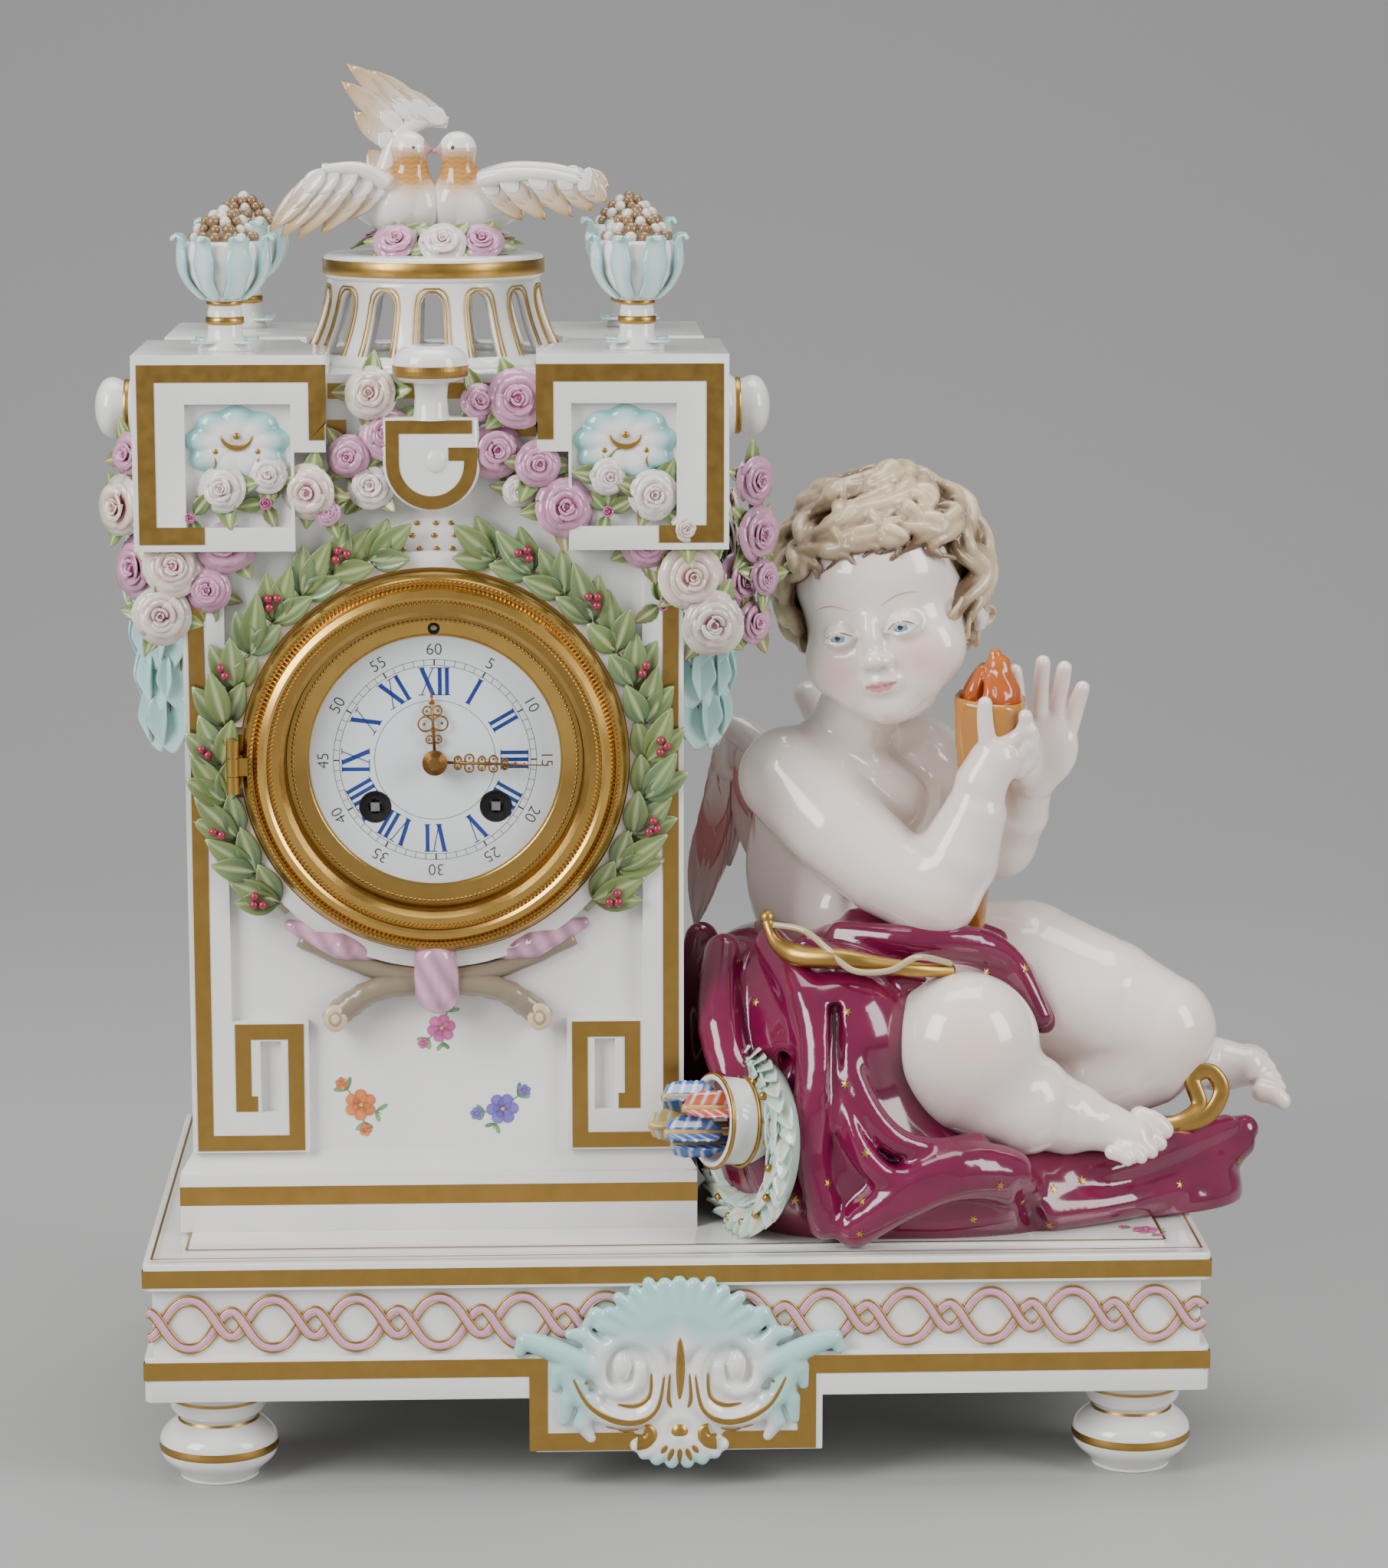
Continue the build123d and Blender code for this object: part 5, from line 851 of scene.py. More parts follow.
def egg(centre, radii, turn=None):
    """An egg shape. The columns of turn are its own three directions."""
    centre = np.asarray(centre, float)
    radii = np.asarray(radii, float)
    turn = np.eye(3) if turn is None else np.asarray(turn)
    reach = np.sqrt(((turn * radii) ** 2).sum(1))

    def measure(x, y, z):
        dx, dy, dz = x - centre[0], y - centre[1], z - centre[2]
        own = [(dx * turn[0, k] + dy * turn[1, k] + dz * turn[2, k]) / radii[k] for k in range(3)]
        size = np.sqrt(own[0] ** 2 + own[1] ** 2 + own[2] ** 2) + 1e-6
        slope = np.sqrt(sum((own[k] / radii[k]) ** 2 for k in range(3))) + 1e-6
        return size * (size - 1) / slope

    return measure, centre - reach, centre + reach


def chain(points, radii):
    """A limb through points, with a radius at each."""
    points = np.asarray(points, float)
    radii = np.broadcast_to(np.asarray(radii, float), (len(points),))

    def measure(x, y, z):
        least = None
        for start, end, near, far in zip(points, points[1:], radii, radii[1:]):
            span = end - start
            length = span.dot(span) + 1e-9
            share = ((x - start[0]) * span[0] + (y - start[1]) * span[1] + (z - start[2]) * span[2]) / length
            share = np.clip(share, 0, 1)
            distance = np.sqrt((x - start[0] - span[0] * share) ** 2 + (y - start[1] - span[1] * share) ** 2
                               + (z - start[2] - span[2] * share) ** 2)
            distance = distance - (near + (far - near) * share)
            least = distance if least is None else np.minimum(least, distance)
        return least

    return measure, (points - radii[:, None]).min(0), (points + radii[:, None]).max(0)


def place(x, y, z):
    """A point counted from the middle of the plinth and the floor."""
    return np.array([middle_x + x, middle_y + y, z])


def places(*points):
    return [place(*point) for point in points]


def direction_of(azimuth, lift):
    azimuth, lift = math.radians(azimuth), math.radians(lift)
    return np.array([math.cos(azimuth) * math.cos(lift), math.sin(azimuth) * math.cos(lift), math.sin(lift)])


# The child's head has its own directions: to its left, to its back and to its crown.

head_centre = place(75.0, -16.0, 292.0)
head_yaw = 17.0
head_roll = 12.0
head_nod = 4.0


def turn_about(axis, degrees):
    axis = unit(axis)
    angle = math.radians(degrees)
    cross = np.array([[0, -axis[2], axis[1]], [axis[2], 0, -axis[0]], [-axis[1], axis[0], 0]])
    return np.eye(3) + math.sin(angle) * cross + (1 - math.cos(angle)) * cross @ cross


head_turn = (turn_about((0, 0, 1), -head_yaw) @ turn_about((0, 1, 0), -head_roll)
             @ turn_about((1, 0, 0), head_nod))


def on_head(x, y, z):
    return head_centre + head_turn @ np.array([x, y, z], float)


skin_white = np.array([0.86, 0.76, 0.70])
skin_blush = np.array([0.84, 0.52, 0.45])
lip_red = (0.66, 0.30, 0.26)
lip_shade = (0.42, 0.14, 0.12)
lash_brown = (0.22, 0.13, 0.08)
brow_brown = (0.52, 0.38, 0.22)
eye_out, eye_depth, eye_level = 11.2, -26.0, -5.0
eye_paint_depth = -26.35
eye_half = 5.6
upper_lid, lower_lid = 2.7, -1.9


def head_egg(centre, radii):
    """An egg shape that lies in the head's own directions."""
    return egg(on_head(*centre), radii, head_turn)


def shape_head(clay):
    """A calm child's head on plain proportions: round skull, full cheeks, chin and ears."""
    for centre, radii, blend in (((0, 4, 9), (30.5, 33, 30), 1.0), ((0, -12, 12), (24, 18, 19), 8.0),
                                 ((0, -8, -12), (27, 23, 23), 8.0)):
        clay.add(head_egg(centre, radii), blend)
    for side in (-1, 1):
        clay.add(head_egg((side * 14.5, -17, -16), (13.5, 12, 12.5)), 6.0)
        clay.add(head_egg((side * 8.5, -21.5, -26), (9, 7, 7.5)), 6.0)
        clay.add(head_egg((side * 31.0, 4, -8), (3.4, 6, 8.5)), 2.5)
    clay.add(head_egg((0, -25.5, -32), (7.5, 6.5, 6.0)), 5.0)
    clay.add(head_egg((0, -12, -33), (13, 12, 7)), 7.0)
    for side in (-1, 1):
        clay.carve(head_egg((side * 11.0, -33.5, -4.5), (8.0, 4.6, 4.6)), 5.0)
        clay.add(head_egg((side * eye_out, eye_depth, eye_level), (6.3, 6.0, 5.8)), 1.0)
    shape_nose_and_mouth(clay)
    shape_eyelids(clay)
    for side in (-1, 1):
        ear = [on_head(side * (31.5 + 1.6 * math.sin(a)), 3 + 5.5 * math.cos(a), -8 + 7.8 * math.sin(a))
               for a in np.linspace(-1.9, 2.2, 9)]
        clay.add(chain(ear, 1.3), 1.5)


def shape_nose_and_mouth(clay):
    clay.add(head_egg((0, -30.5, -7.0), (3.0, 4.5, 8.0)), 4.0)
    clay.add(head_egg((0, -34.6, -14.0), (3.5, 3.4, 3.2)), 2.5)
    for side in (-1, 1):
        clay.add(head_egg((side * 3.5, -32.4, -15.2), (2.3, 2.6, 2.2)), 1.8)
        clay.carve(head_egg((side * 2.2, -34.6, -17.3), (1.1, 1.3, 0.9)), 0.8)
    clay.add(head_egg((0, -30.5, -22.5), (6.5, 3.6, 4.2)), 4.0)
    upper = [on_head(x, -33.0 + 0.055 * x * x, -21.9 - 0.012 * x * x + 0.35 * math.cos(x))
             for x in range(-6, 7)]
    clay.add(chain(upper, [0.5 + 0.95 * math.cos(x / 6.6 * PI / 2) for x in range(-6, 7)]), 0.9)
    lower = [on_head(x, -32.4 + 0.06 * x * x, -24.7 + 0.03 * x * x) for x in range(-5, 6)]
    clay.add(chain(lower, [0.5 + 1.25 * math.cos(x / 5.6 * PI / 2) for x in range(-5, 6)]), 0.9)
    clay.carve(head_egg((0, -34.2, -28.2), (4.0, 1.6, 1.2)), 2.0)


def eye_edge(side, share, upper):
    """A point on the edge of an eyelid, from the inner corner at 0 to the outer one at 1."""
    out = -eye_half + 2 * eye_half * share
    height = (upper_lid if upper else lower_lid) * math.sin(PI * share) - 0.5 * (1 - share)
    depth = math.sqrt(max(0.0, 1 - (out / 7.4) ** 2 - (height / 6.5) ** 2)) * 6.4
    return side * (eye_out + out), eye_depth - depth, eye_level + height


def shape_eyelids(clay):
    shares = np.linspace(0, 1, 9)
    for side in (-1, 1):
        for upper, thin, swell in ((True, 0.55, 0.45), (False, 0.45, 0.2)):
            lid = [on_head(*eye_edge(side, share, upper)) for share in shares]
            clay.add(chain(lid, [thin + swell * math.sin(PI * share) for share in shares]), 1.0)


def finger(clay, base, direction, length, radius, curl, bend_axis):
    """A small finger or toe of three soft joints, bent about an axis."""
    points = [place(*base)]
    heading = unit(direction)
    for share in (0.42, 0.32, 0.26):
        points.append(points[-1] + heading * length * share)
        heading = turn_about(bend_axis, curl) @ heading
    clay.add(chain(points, [radius * 1.05, radius, radius * 0.95, radius * 0.85]), 1.2)


def add_toes(clay, shift, heading, toes):
    for x, y, z, radius, length in toes:
        finger(clay, np.add((x, y, z), shift), heading, length, radius, 14, (0.3, 1, 0))


def shape_torso(clay):
    for centre, radii, tilt, blend in (
            ((63, 0, 214), (29, 21, 28), -8, 1), ((54, 9, 196), (26, 19, 40), 4, 10),
            ((68, -5, 178), (30, 25, 30), 0, 12), ((76, -6, 152), (38, 30, 24), 0, 12)):
        clay.add(egg(place(*centre), radii, turn_about((0, 1, 0), tilt)), blend)
    clay.limb(((56, -3, 230), (64, -8, 246), (71, -12, 262)), (17, 14.5, 15), 10)
    clay.add(egg(place(74, -16, 222), (17, 9, 13)), 9)
    clay.add(egg(place(50, -19, 222), (15, 9, 13)), 9)
    clay.carve(egg(place(63, -27.5, 199), (2.2, 2.5, 14)), 6)


def shape_near_arm(clay):
    clay.limb(((42, -15, 230), (58, -29, 214), (74, -37, 201), (90, -43, 193)), (18, 17.2, 16.2, 15.2), 7)
    clay.limb(((90, -43, 194), (98, -44, 206), (104, -45, 222), (106, -45, 232)), (15, 14.6, 11.0, 8.2), 4)
    clay.limb(((106, -45, 233), (111, -44, 241), (113, -42, 245)), (8.6, 8.8, 7.4), 2.5)
    finger(clay, (108, -47, 247), (-0.15, -0.1, 1), 14, 3.0, 4, (0, 1, 0))
    for base, curl in (((116, -46, 247), 30), ((118.5, -46, 242), 34), ((119, -45, 237), 38)):
        finger(clay, base, (0.75, -0.2, 0.65), 12, 2.9, curl, (0.2, -1, 0))
    finger(clay, (105, -40, 240), (-0.1, 0.5, 1), 12, 3.0, 10, (1, 0, 0))


def shape_far_arm(clay):
    clay.limb(((90, 6, 232), (104, 6, 218), (117, 2, 204)), (15.5, 14.5, 13.5), 8)
    clay.limb(((117, 2, 204), (122, -8, 216), (126, -17, 228)), (13.4, 12.2, 8.6), 4)
    palm_turn = turn_about((0, 1, 0), 8) @ turn_about((0, 0, 1), -12)
    clay.add(egg(place(130, -21, 241), (12.5, 6.0, 14.5), palm_turn), 5)
    clay.add(egg(place(122.5, -25, 237), (5.5, 4.6, 8.5), palm_turn), 3)
    for x, z, length, lean in ((121.5, 251, 18.5, -0.12), (128.5, 253.5, 19.0, 0.03),
                               (134.5, 252.5, 18.0, 0.12), (139.5, 248.5, 15.0, 0.25)):
        finger(clay, (x, -22, z), (lean, -0.12, 1), length, 3.1, 9, (1, 0, 0))
    finger(clay, (121, -27, 238), (-0.8, -0.35, 0.75), 15, 3.4, 8, (0, 1, 0))


def shape_near_leg(clay):
    clay.limb(((80, -14, 148), (92, -42, 145), (99, -64, 145)), (27, 26.5, 24.5), 6)
    clay.add(egg(place(100, -68, 147), (22.5, 17, 21)), 8)
    clay.limb(((101, -62, 134), (120, -63, 124), (136, -62, 119)), (21, 18, 12.2), 5)
    clay.limb(((137, -61, 118), (149, -63, 115), (158, -66, 112)), (10.2, 8.6, 7.2), 4)
    clay.add(egg(place(134, -60, 113), (8, 8, 7.5)), 4)
    add_toes(clay, (-5, 2, 0.8), (1.0, -0.35, -0.22), (
        (166.0, -61.5, 116.5, 3.9, 9.5), (165.0, -67.5, 112.6, 3.1, 8.0), (162.0, -71.5, 110.6, 2.9, 7.5),
        (158.5, -74.5, 109.2, 2.7, 7.0), (154.5, -76.5, 108.4, 2.6, 6.0)))


def shape_far_leg(clay):
    clay.limb(((88, 2, 152), (125, -10, 156), (152, -22, 149), (172, -29, 142)), (29, 28, 24, 19.5), 7)
    clay.add(egg(place(173, -29, 138), (15, 15, 15.5)), 6)
    clay.limb(((168, -28, 130), (148, -30, 121), (132, -30, 116)), (16.5, 14, 10), 5)
    clay.limb(((178, -14, 128), (190, -4, 124), (198, -4, 122)), (12, 10, 8.6), 6)
    clay.limb(((198, -4, 122), (207, -9, 123)), (8.6, 7.2), 4)
    add_toes(clay, (-6, 2, 0.5), (1.0, -0.45, -0.15), (
        (213.5, -7, 127.0, 2.6, 6), (215.0, -10, 124.2, 2.7, 6.5), (216.0, -13, 121.4, 2.8, 7),
        (217.0, -16, 118.6, 3.0, 7), (216.5, -20, 115.2, 3.7, 8)))


def glow(points, centre, reach):
    """How near each point is to a place, from 0 to 1."""
    return np.exp(-(((points - centre) / reach) ** 2).sum(1))


# Rosy places on the child's body, and how far each one spreads.
rosy_places = (((100, -84, 150), 12), ((90, -52, 188), 10), ((166, -70, 112), 9), ((178, -40, 140), 10),
               ((216, -18, 118), 8), ((134, -24, 262), 9), ((116, -46, 246), 6))


def flesh_colours(points):
    """White flesh with rosy cheeks, nose, chin, knees, hands and feet, and red lips."""
    spots = [(0.85, on_head(side * 15.0, -27, -17), 8.0) for side in (-1, 1)]
    spots += [(0.25, on_head(0, -35, -15), 4.0), (0.3, on_head(0, -32, -33), 5.0)]
    spots += [(0.4, place(*spot), reach) for spot, reach in rosy_places]
    warm = sum(amount * glow(points, centre, reach) for amount, centre, reach in spots)
    paint = skin_white + (skin_blush - skin_white) * np.clip(warm, 0, 1)[:, None]
    own = (points - head_centre) @ head_turn
    span = np.clip(1 - (own[:, 0] / 5.6) ** 2, 0, 1)
    rise = own[:, 2] + 23.2 - 0.012 * own[:, 0] ** 2
    lips = (span > 0) & (own[:, 1] < -27) & (rise < 1.5 * span ** 0.7) & (rise > -2.1 * span ** 0.6)
    paint[lips] = lip_red
    paint[lips & (np.abs(rise) < 0.35)] = lip_shade
    return paint


def make_child():
    clay = Clay(place(14, -97, 92), place(224, 46, 340), 0.8)
    for shape in (shape_torso, shape_far_leg, shape_far_arm, shape_near_leg, shape_near_arm, shape_head):
        shape(clay)
    points, faces = clay.skin()
    piece("child", points, faces, painted, "flesh_porcelain", stands_for=("figure_body",),
          paint=flesh_colours(points))
    make_eyes(surface_of(points, faces))


def surface_of(points, faces):
    return BVHTree.FromPolygons([tuple(point) for point in points], faces)


def laid_on(surface, points, towards, lift):
    """Each point moved along a direction until it lies on a surface."""
    found = []
    for point in points:
        hit, normal = surface.ray_cast(Vector(point), Vector(towards))[:2]
        if hit is not None:
            facing = -1.0 if normal.dot(Vector(towards)) > 0 else 1.0
            found.append(np.array(hit) + np.array(normal) * facing * lift)
    return np.array(found)


# How far from its middle each ring of the eye begins, and its colour: the white, the rim and the iris.
eye_rings = ((2.5, (0.84, 0.85, 0.87)), (2.1, (0.10, 0.16, 0.24)), (1.0, (0.22, 0.36, 0.50)))
pupil = (0.02, 0.02, 0.03)
# A painted highlight: the small white glint on each iris.
painted_eye_highlight = (0.9, 0.9, 0.9)


def add_sheet(form, rows, columns, spot, around=False):
    """A sheet of points in rows and columns. The function spot gives the place and the colour of each."""
    points, colours = zip(*(spot(i, j) for i in range(rows) for j in range(columns)))
    form.add(points, grid_faces(rows, columns, False, around), colours)


def add_eye(form, side):
    rows, columns = 17, 33

    def spot(i, j):
        share = 0.03 + 0.94 * j / (columns - 1)
        low, high = eye_edge(side, share, False), eye_edge(side, share, True)
        x, z = low[0], low[2] + (high[2] - low[2]) * i / (rows - 1)
        out, height = x - side * eye_out, z - eye_level
        depth = 6.0 * math.sqrt(max(0.05, 1 - (out / 6.3) ** 2 - (height / 5.8) ** 2))
        size = math.hypot(out + 0.3, height - 0.4)
        colour = next((ring for least, ring in eye_rings if size > least), pupil)
        # Painted highlight: a white glint on the iris.
        if math.hypot(out - 0.5, height - 1.3) < 0.55:
            colour = painted_eye_highlight
        return on_head(x, eye_paint_depth - depth, z), colour

    add_sheet(form, rows, columns, spot)


def make_eyes(face):
    """Painted eyes, lashes and brows."""
    form = Form()
    shares = np.linspace(0.0, 1.0, 12)
    for side in (-1, 1):
        add_eye(form, side)
        lash = [on_head(x, y - 0.55, z) for x, y, z in (eye_edge(side, share, True) for share in shares)]
        form.add(*tube(lash, [0.12 + 0.2 * math.sin(PI * share) for share in shares], 6), lash_brown)
        brow = [on_head(side * (5.5 + 12.5 * share), -60, 3.6 + 2.6 * math.sin(PI * share * 0.8))
                for share in shares]
        brow = laid_on(face, brow, head_turn @ np.array([0, 1.0, 0]), 0.0)
        form.add(*tube(brow, [0.15 + 0.32 * math.sin(PI * share) for share in shares[:len(brow)]], 6, 0.5),
                 brow_brown)
    form.make("painted_eyes", satin_painted, "flesh_porcelain")


# Hair, wings and cloth

# The hair's colours: pale on the crests of the locks and brown in the grooves, where the brown is partly the
# hair's paint and partly painted shade.
hair_pale = np.array([0.72, 0.58, 0.38])
hair_brown_and_groove_shade = np.array([0.17, 0.10, 0.05])
hair_centre = np.array([0.0, 5.0, 9.0])
hair_radii = np.array([31.5, 33.5, 31.5])


def scalp(azimuth, lift, height):
    """A point over the scalp. Azimuth runs from the brow round by the left ear, lift is up to the crown."""
    azimuth, lift = math.radians(azimuth), math.radians(lift)
    heading = np.array([math.sin(azimuth) * math.cos(lift), -math.cos(azimuth) * math.cos(lift),
                        math.sin(lift)])
    return hair_centre + heading * (hair_radii + height)


def hair_edge(azimuth):
    """How far down the hair reaches, by azimuth: high over the brow, low at the nape."""
    away = min(abs(azimuth), abs(360 - azimuth))
    return np.interp(away, (0, 30, 55, 75, 95, 120, 180), (22, 17, 4, -26, -38, -46, -52))


def lock(azimuth, top, bottom, width, wave, phase, curl):
    """A wavy lock that runs down the scalp and may curl up at its tip."""
    steps = 20
    path = []
    for k in range(steps):
        t = k / (steps - 1)
        lift = top + (bottom - top) * t
        sway = wave * math.sin(2 * PI * 1.15 * t + phase) + 26 * (1 - t) * math.sin(math.radians(top))
        spread = max(0.35, math.cos(math.radians(lift)))
        height = 3.4 + 1.6 * math.sin(PI * t) + 1.2 * math.sin(2 * PI * 1.3 * t + phase) - 2.0 * (1 - t)
        path.append(scalp(azimuth + sway / spread, lift, height))
    path = np.array(path)
    if curl:
        end = path[-1]
        along = unit(path[-1] - path[-2])
        out = unit(end - hair_centre)
        sideways = np.cross(along, out) * np.sign(curl)
        inward = sideways * 0.8 + out * 0.6
        ring = [end + (along * math.sin(a) + inward * (1 - math.cos(a))) * (5.0 - 0.35 * a)
                for a in np.linspace(0.25, 5.2, 14)]
        path = np.vstack([path, ring])
    t = np.linspace(0, 1, len(path))
    radii = width * (0.55 + 0.45 * np.sin(PI * np.clip(t * 1.15, 0, 1))) * np.clip(1.9 * (1 - t), 0.35, 1)
    return [on_head(*point) for point in path], radii


def twisted(path, radii):
    """Three thin strands that wind slowly round the path of one lock."""
    side, other = frames_along(path)[1:]
    share = np.linspace(0, 1, len(path))
    for k in range(3):
        angle = 2 * PI * (k / 3 + 0.8 * share)
        shift = side * np.cos(angle)[:, None] + other * np.sin(angle)[:, None]
        yield path + shift * radii[:, None] * 0.52, radii * 0.56


# Rings of locks from the crown down: starting height, share of the way to the hair's edge, count and width.
lock_rings = ((80, 0.45, 12, 5.2), (60, 0.75, 16, 5.0), (36, 1.0, 20, 4.7))
brow_locks = ((-34, 0.4), (-22, 2.2), (-10, 0.2), (3, 2.4), (15, 0.8), (27, 2.8), (40, 0.5))
side_locks = ((68, -24), (82, -34), (98, -40), (-68, -22), (-84, -34), (-100, -42), (120, -46),
              (-122, -48), (145, -50), (-146, -50), (170, -52))


def all_locks():
    """Azimuth, top, bottom, width, wave, phase and curl of every lock."""
    rng = random.Random(5)
    locks = []
    for ring, (top, reach, count, width) in enumerate(lock_rings):
        for i in range(count):
            azimuth = -180 + 360 * (i + 0.5 * (ring % 2) + rng.uniform(-0.2, 0.2)) / count
            bottom = top + (hair_edge(azimuth) - top) * reach
            if bottom > top - 14:
                continue
            curl = rng.choice((-1, 1)) if ring == 2 and abs(azimuth) > 60 and i % 2 else 0
            locks.append((azimuth, top, bottom, width, rng.uniform(8, 13), rng.uniform(0, 6.3), curl))
    for azimuth, phase in brow_locks:
        locks.append((azimuth, 62, hair_edge(azimuth) - 3, 4.0, 9.0, phase, 0))
    for azimuth, bottom in side_locks:
        locks.append((azimuth, 18, bottom, 4.3, 8.0, azimuth * 0.05, 1 if azimuth > 0 else -1))
    return locks


def make_hair():
    clay = Clay(head_centre - 52, head_centre + 52, 0.65)
    clay.add(head_egg((0, 6, 12), (31.8, 33.8, 30.4)), 1)
    clay.add(head_egg((0, 20, -6), (27, 20, 26)), 5)
    clay.carve(head_egg((0, -36, -12), (31.5, 38, 34)), 2)
    for values in all_locks():
        for path, radii in twisted(*lock(*values)):
            clay.add(chain(path, radii), 0.5)
    points, faces = clay.skin()
    # Colour by height over the scalp: the grooves between the locks get the brown with painted shade, the
    # crests the pale colour.
    own = (points - head_centre) @ head_turn - hair_centre
    height = (np.linalg.norm(own / hair_radii, axis=1) - 1) * 32.0
    share = np.clip((height - 4.4) / 4.4, 0, 1)[:, None]
    paint = hair_brown_and_groove_shade + (hair_pale - hair_brown_and_groove_shade) * share ** 0.8
    piece("hair", points, faces, hair_glaze, "hair_porcelain", stands_for=("figure_hair",), paint=paint)


def leaf(form, base, heading, normal, length, width, colour, tip, curl, cup, teeth=0, rows=9, columns=7,
         blunt=0.8, vein=None, ridge=0.05):
    """A leaf, petal or feather as a curved sheet. It bends away from its normal by the curl."""
    heading = unit(heading)
    side = np.cross(heading, normal)
    side /= np.linalg.norm(side) + 1e-9
    normal = np.cross(side, heading)
    s = np.linspace(0, 1, rows)[:, None]
    u = np.linspace(-1, 1, columns)[None, :]
    half = 0.5 * width * np.sin(PI * np.clip(s, 0.02, 0.985) ** blunt) ** 0.8
    if teeth:
        half = half * (1 + 0.16 * np.abs(u) ** 3 * (np.mod(s * teeth, 1.0) - 0.5))
    down = curl * length * s ** 2
    rise = cup * half * np.abs(u) ** 1.6 + ridge * width * np.exp(-(u * 3.5) ** 2)
    points = (np.asarray(base, float) + heading * (length * (s - 0.35 * curl ** 2 * s ** 3))[..., None]
              + side * (half * u)[..., None] + normal * (rise - down)[..., None])
    colour, tip = np.asarray(colour, float), np.asarray(tip, float)
    colours = colour + (tip - colour) * np.broadcast_to(s ** 1.5, (rows, columns))[..., None]
    if vein is not None:
        marked = np.broadcast_to(np.abs(u) < 0.12, (rows, columns))
        colours = np.where(marked[..., None], np.asarray(vein, float), colours)
    form.add(points, grid_faces(rows, columns), colours.reshape(-1, 3))


def thickened(made, thickness, levels=0):
    modify(made, "SOLIDIFY", thickness=thickness * MM, offset=0.0)
    if levels:
        modify(made, "SUBSURF", levels=levels, render_levels=levels)
    return made


wing_white = np.array([0.82, 0.74, 0.70])
wing_pink = np.array([0.62, 0.24, 0.23])
# Rows of feathers: share of the wing's length, width, count and the colours at root and tip.
feather_rows = ((1.0, 13.0, 8, wing_pink, wing_white), (0.68, 11.0, 9, wing_pink, wing_pink),
                (0.40, 9.0, 9, wing_white, wing_pink))


def wing_rows(form, root, bend, tip, out):
    """Feathers in three rows from the shoulder of the wing to its tip."""
    edge = curve_through([root, bend, bend + (tip - bend) * 0.25], 8)
    for row, (reach, width, count, inner, outer) in enumerate(feather_rows):
        for k in range(count):
            share = k / (count - 1)
            base = edge[int(share * (len(edge) - 1))] + out * (0.9 * row)
            lean = unit(tip - bend) + unit(root - bend) * 0.55 * (1 - share)
            length = np.linalg.norm(tip - bend) * reach * (0.62 + 0.38 * share)
            leaf(form, base, lean, out, length, width, inner, outer, curl=0.06, cup=0.3, rows=10, blunt=1.1,
                 ridge=0.07)
    return edge


def make_wings():
    form = Form()
    clay = Clay(place(0, 10, 165), place(80, 56, 268), 0.8)
    for root, bend, tip, out in (
            (place(48, 22, 222), place(24, 33, 240), place(13, 37, 180), unit([-0.25, -0.95, 0.1])),
            (place(66, 30, 226), place(52, 41, 250), place(72, 44, 214), unit([0.1, -0.9, 0.3]))):
        edge = wing_rows(form, root, bend, tip, out)
        clay.add(chain(edge, np.linspace(6.5, 3.0, len(edge))), 1)
        clay.add(egg(root + (bend - root) * 0.2, (9, 6, 9)), 4)
        clay.add(chain([root, bend + (tip - bend) * 0.3 - out * 1.5], (5, 2.5)), 5)
    points, faces = clay.skin()
    blush = np.clip((points[:, 2] - 190) / 40, 0, 1)[:, None]
    form.add(points, faces, wing_pink + (wing_white - wing_pink) * blush)
    thickened(form.make("wings", painted, "wing_porcelain", stands_for=("figure_wings",)), 0.7)


# The bulk of the cloth: centre, radii and how softly each part joins the rest.
cloth_mass = (
    ((66, -6, 112), (56, 64, 48), 1), ((56, -30, 140), (42, 46, 34), 12),
    ((58, 6, 150), (47, 39, 26), 12), ((112, -30, 90), (58, 50, 24), 14),
    ((158, -30, 84), (44, 30, 20), 14), ((34, -20, 158), (24, 34, 20), 10),
    ((58, -54, 146), (27, 30, 30), 10), ((58, -48, 104), (44, 43, 40), 12),
    ((90, -56, 92), (40, 32, 20), 12))
# Raised folds, and the hollows between them: a line and its radii.
cloth_folds = (
    (((34, -48, 177), (45, -68, 162), (49, -82, 140), (44, -86, 115), (50, -90, 90)), (6, 8, 9, 8, 6)),
    (((18, -38, 172), (16, -58, 150), (24, -74, 124), (32, -80, 98)), (7, 8, 7, 5)),
    (((56, -68, 164), (60, -84, 138), (71, -90, 120), (86, -88, 114), (102, -80, 114)),
     (3.5, 4.5, 5, 4.5, 4)),
    (((52, -78, 146), (57, -90, 124), (68, -94, 108), (84, -92, 103)), (3.5, 4.5, 4.5, 3)),
    (((60, -90, 88), (76, -92, 100), (94, -90, 107), (112, -82, 103), (119, -74, 92)), (7, 9, 10, 10, 6)),
    (((122, -62, 98), (148, -60, 99), (172, -46, 103), (196, -28, 106)), (8, 8, 7, 4)),
    (((126, -76, 88), (156, -64, 89), (184, -44, 92), (203, -25, 98)), (6, 6, 5, 4)),
    (((58, -42, 180), (82, -52, 179), (104, -48, 177), (118, -42, 168), (128, -44, 150)),
     (4, 5.5, 6, 5, 4)),
    (((46, -52, 178), (66, -60, 170), (84, -62, 166)), (4, 5, 3)),
    (((64, -30, 182), (92, -32, 181), (114, -28, 174)), (4, 5, 4)),
    (((12, 6, 168), (8, 2, 140), (12, 0, 110), (16, -4, 88)), (6, 7, 7, 6)),
    (((32, 18, 164), (24, 32, 142), (20, 40, 112), (26, 44, 88)), (6, 7, 7, 6)),
    (((62, 22, 166), (60, 36, 146), (63, 46, 116), (58, 46, 88)), (5, 6, 7, 7)),
    (((90, 20, 156), (98, 34, 132), (104, 42, 104), (112, 44, 88)), (5, 7, 7, 6)),
    (((118, 12, 128), (136, 14, 112), (152, 10, 94)), (7, 7, 5)))
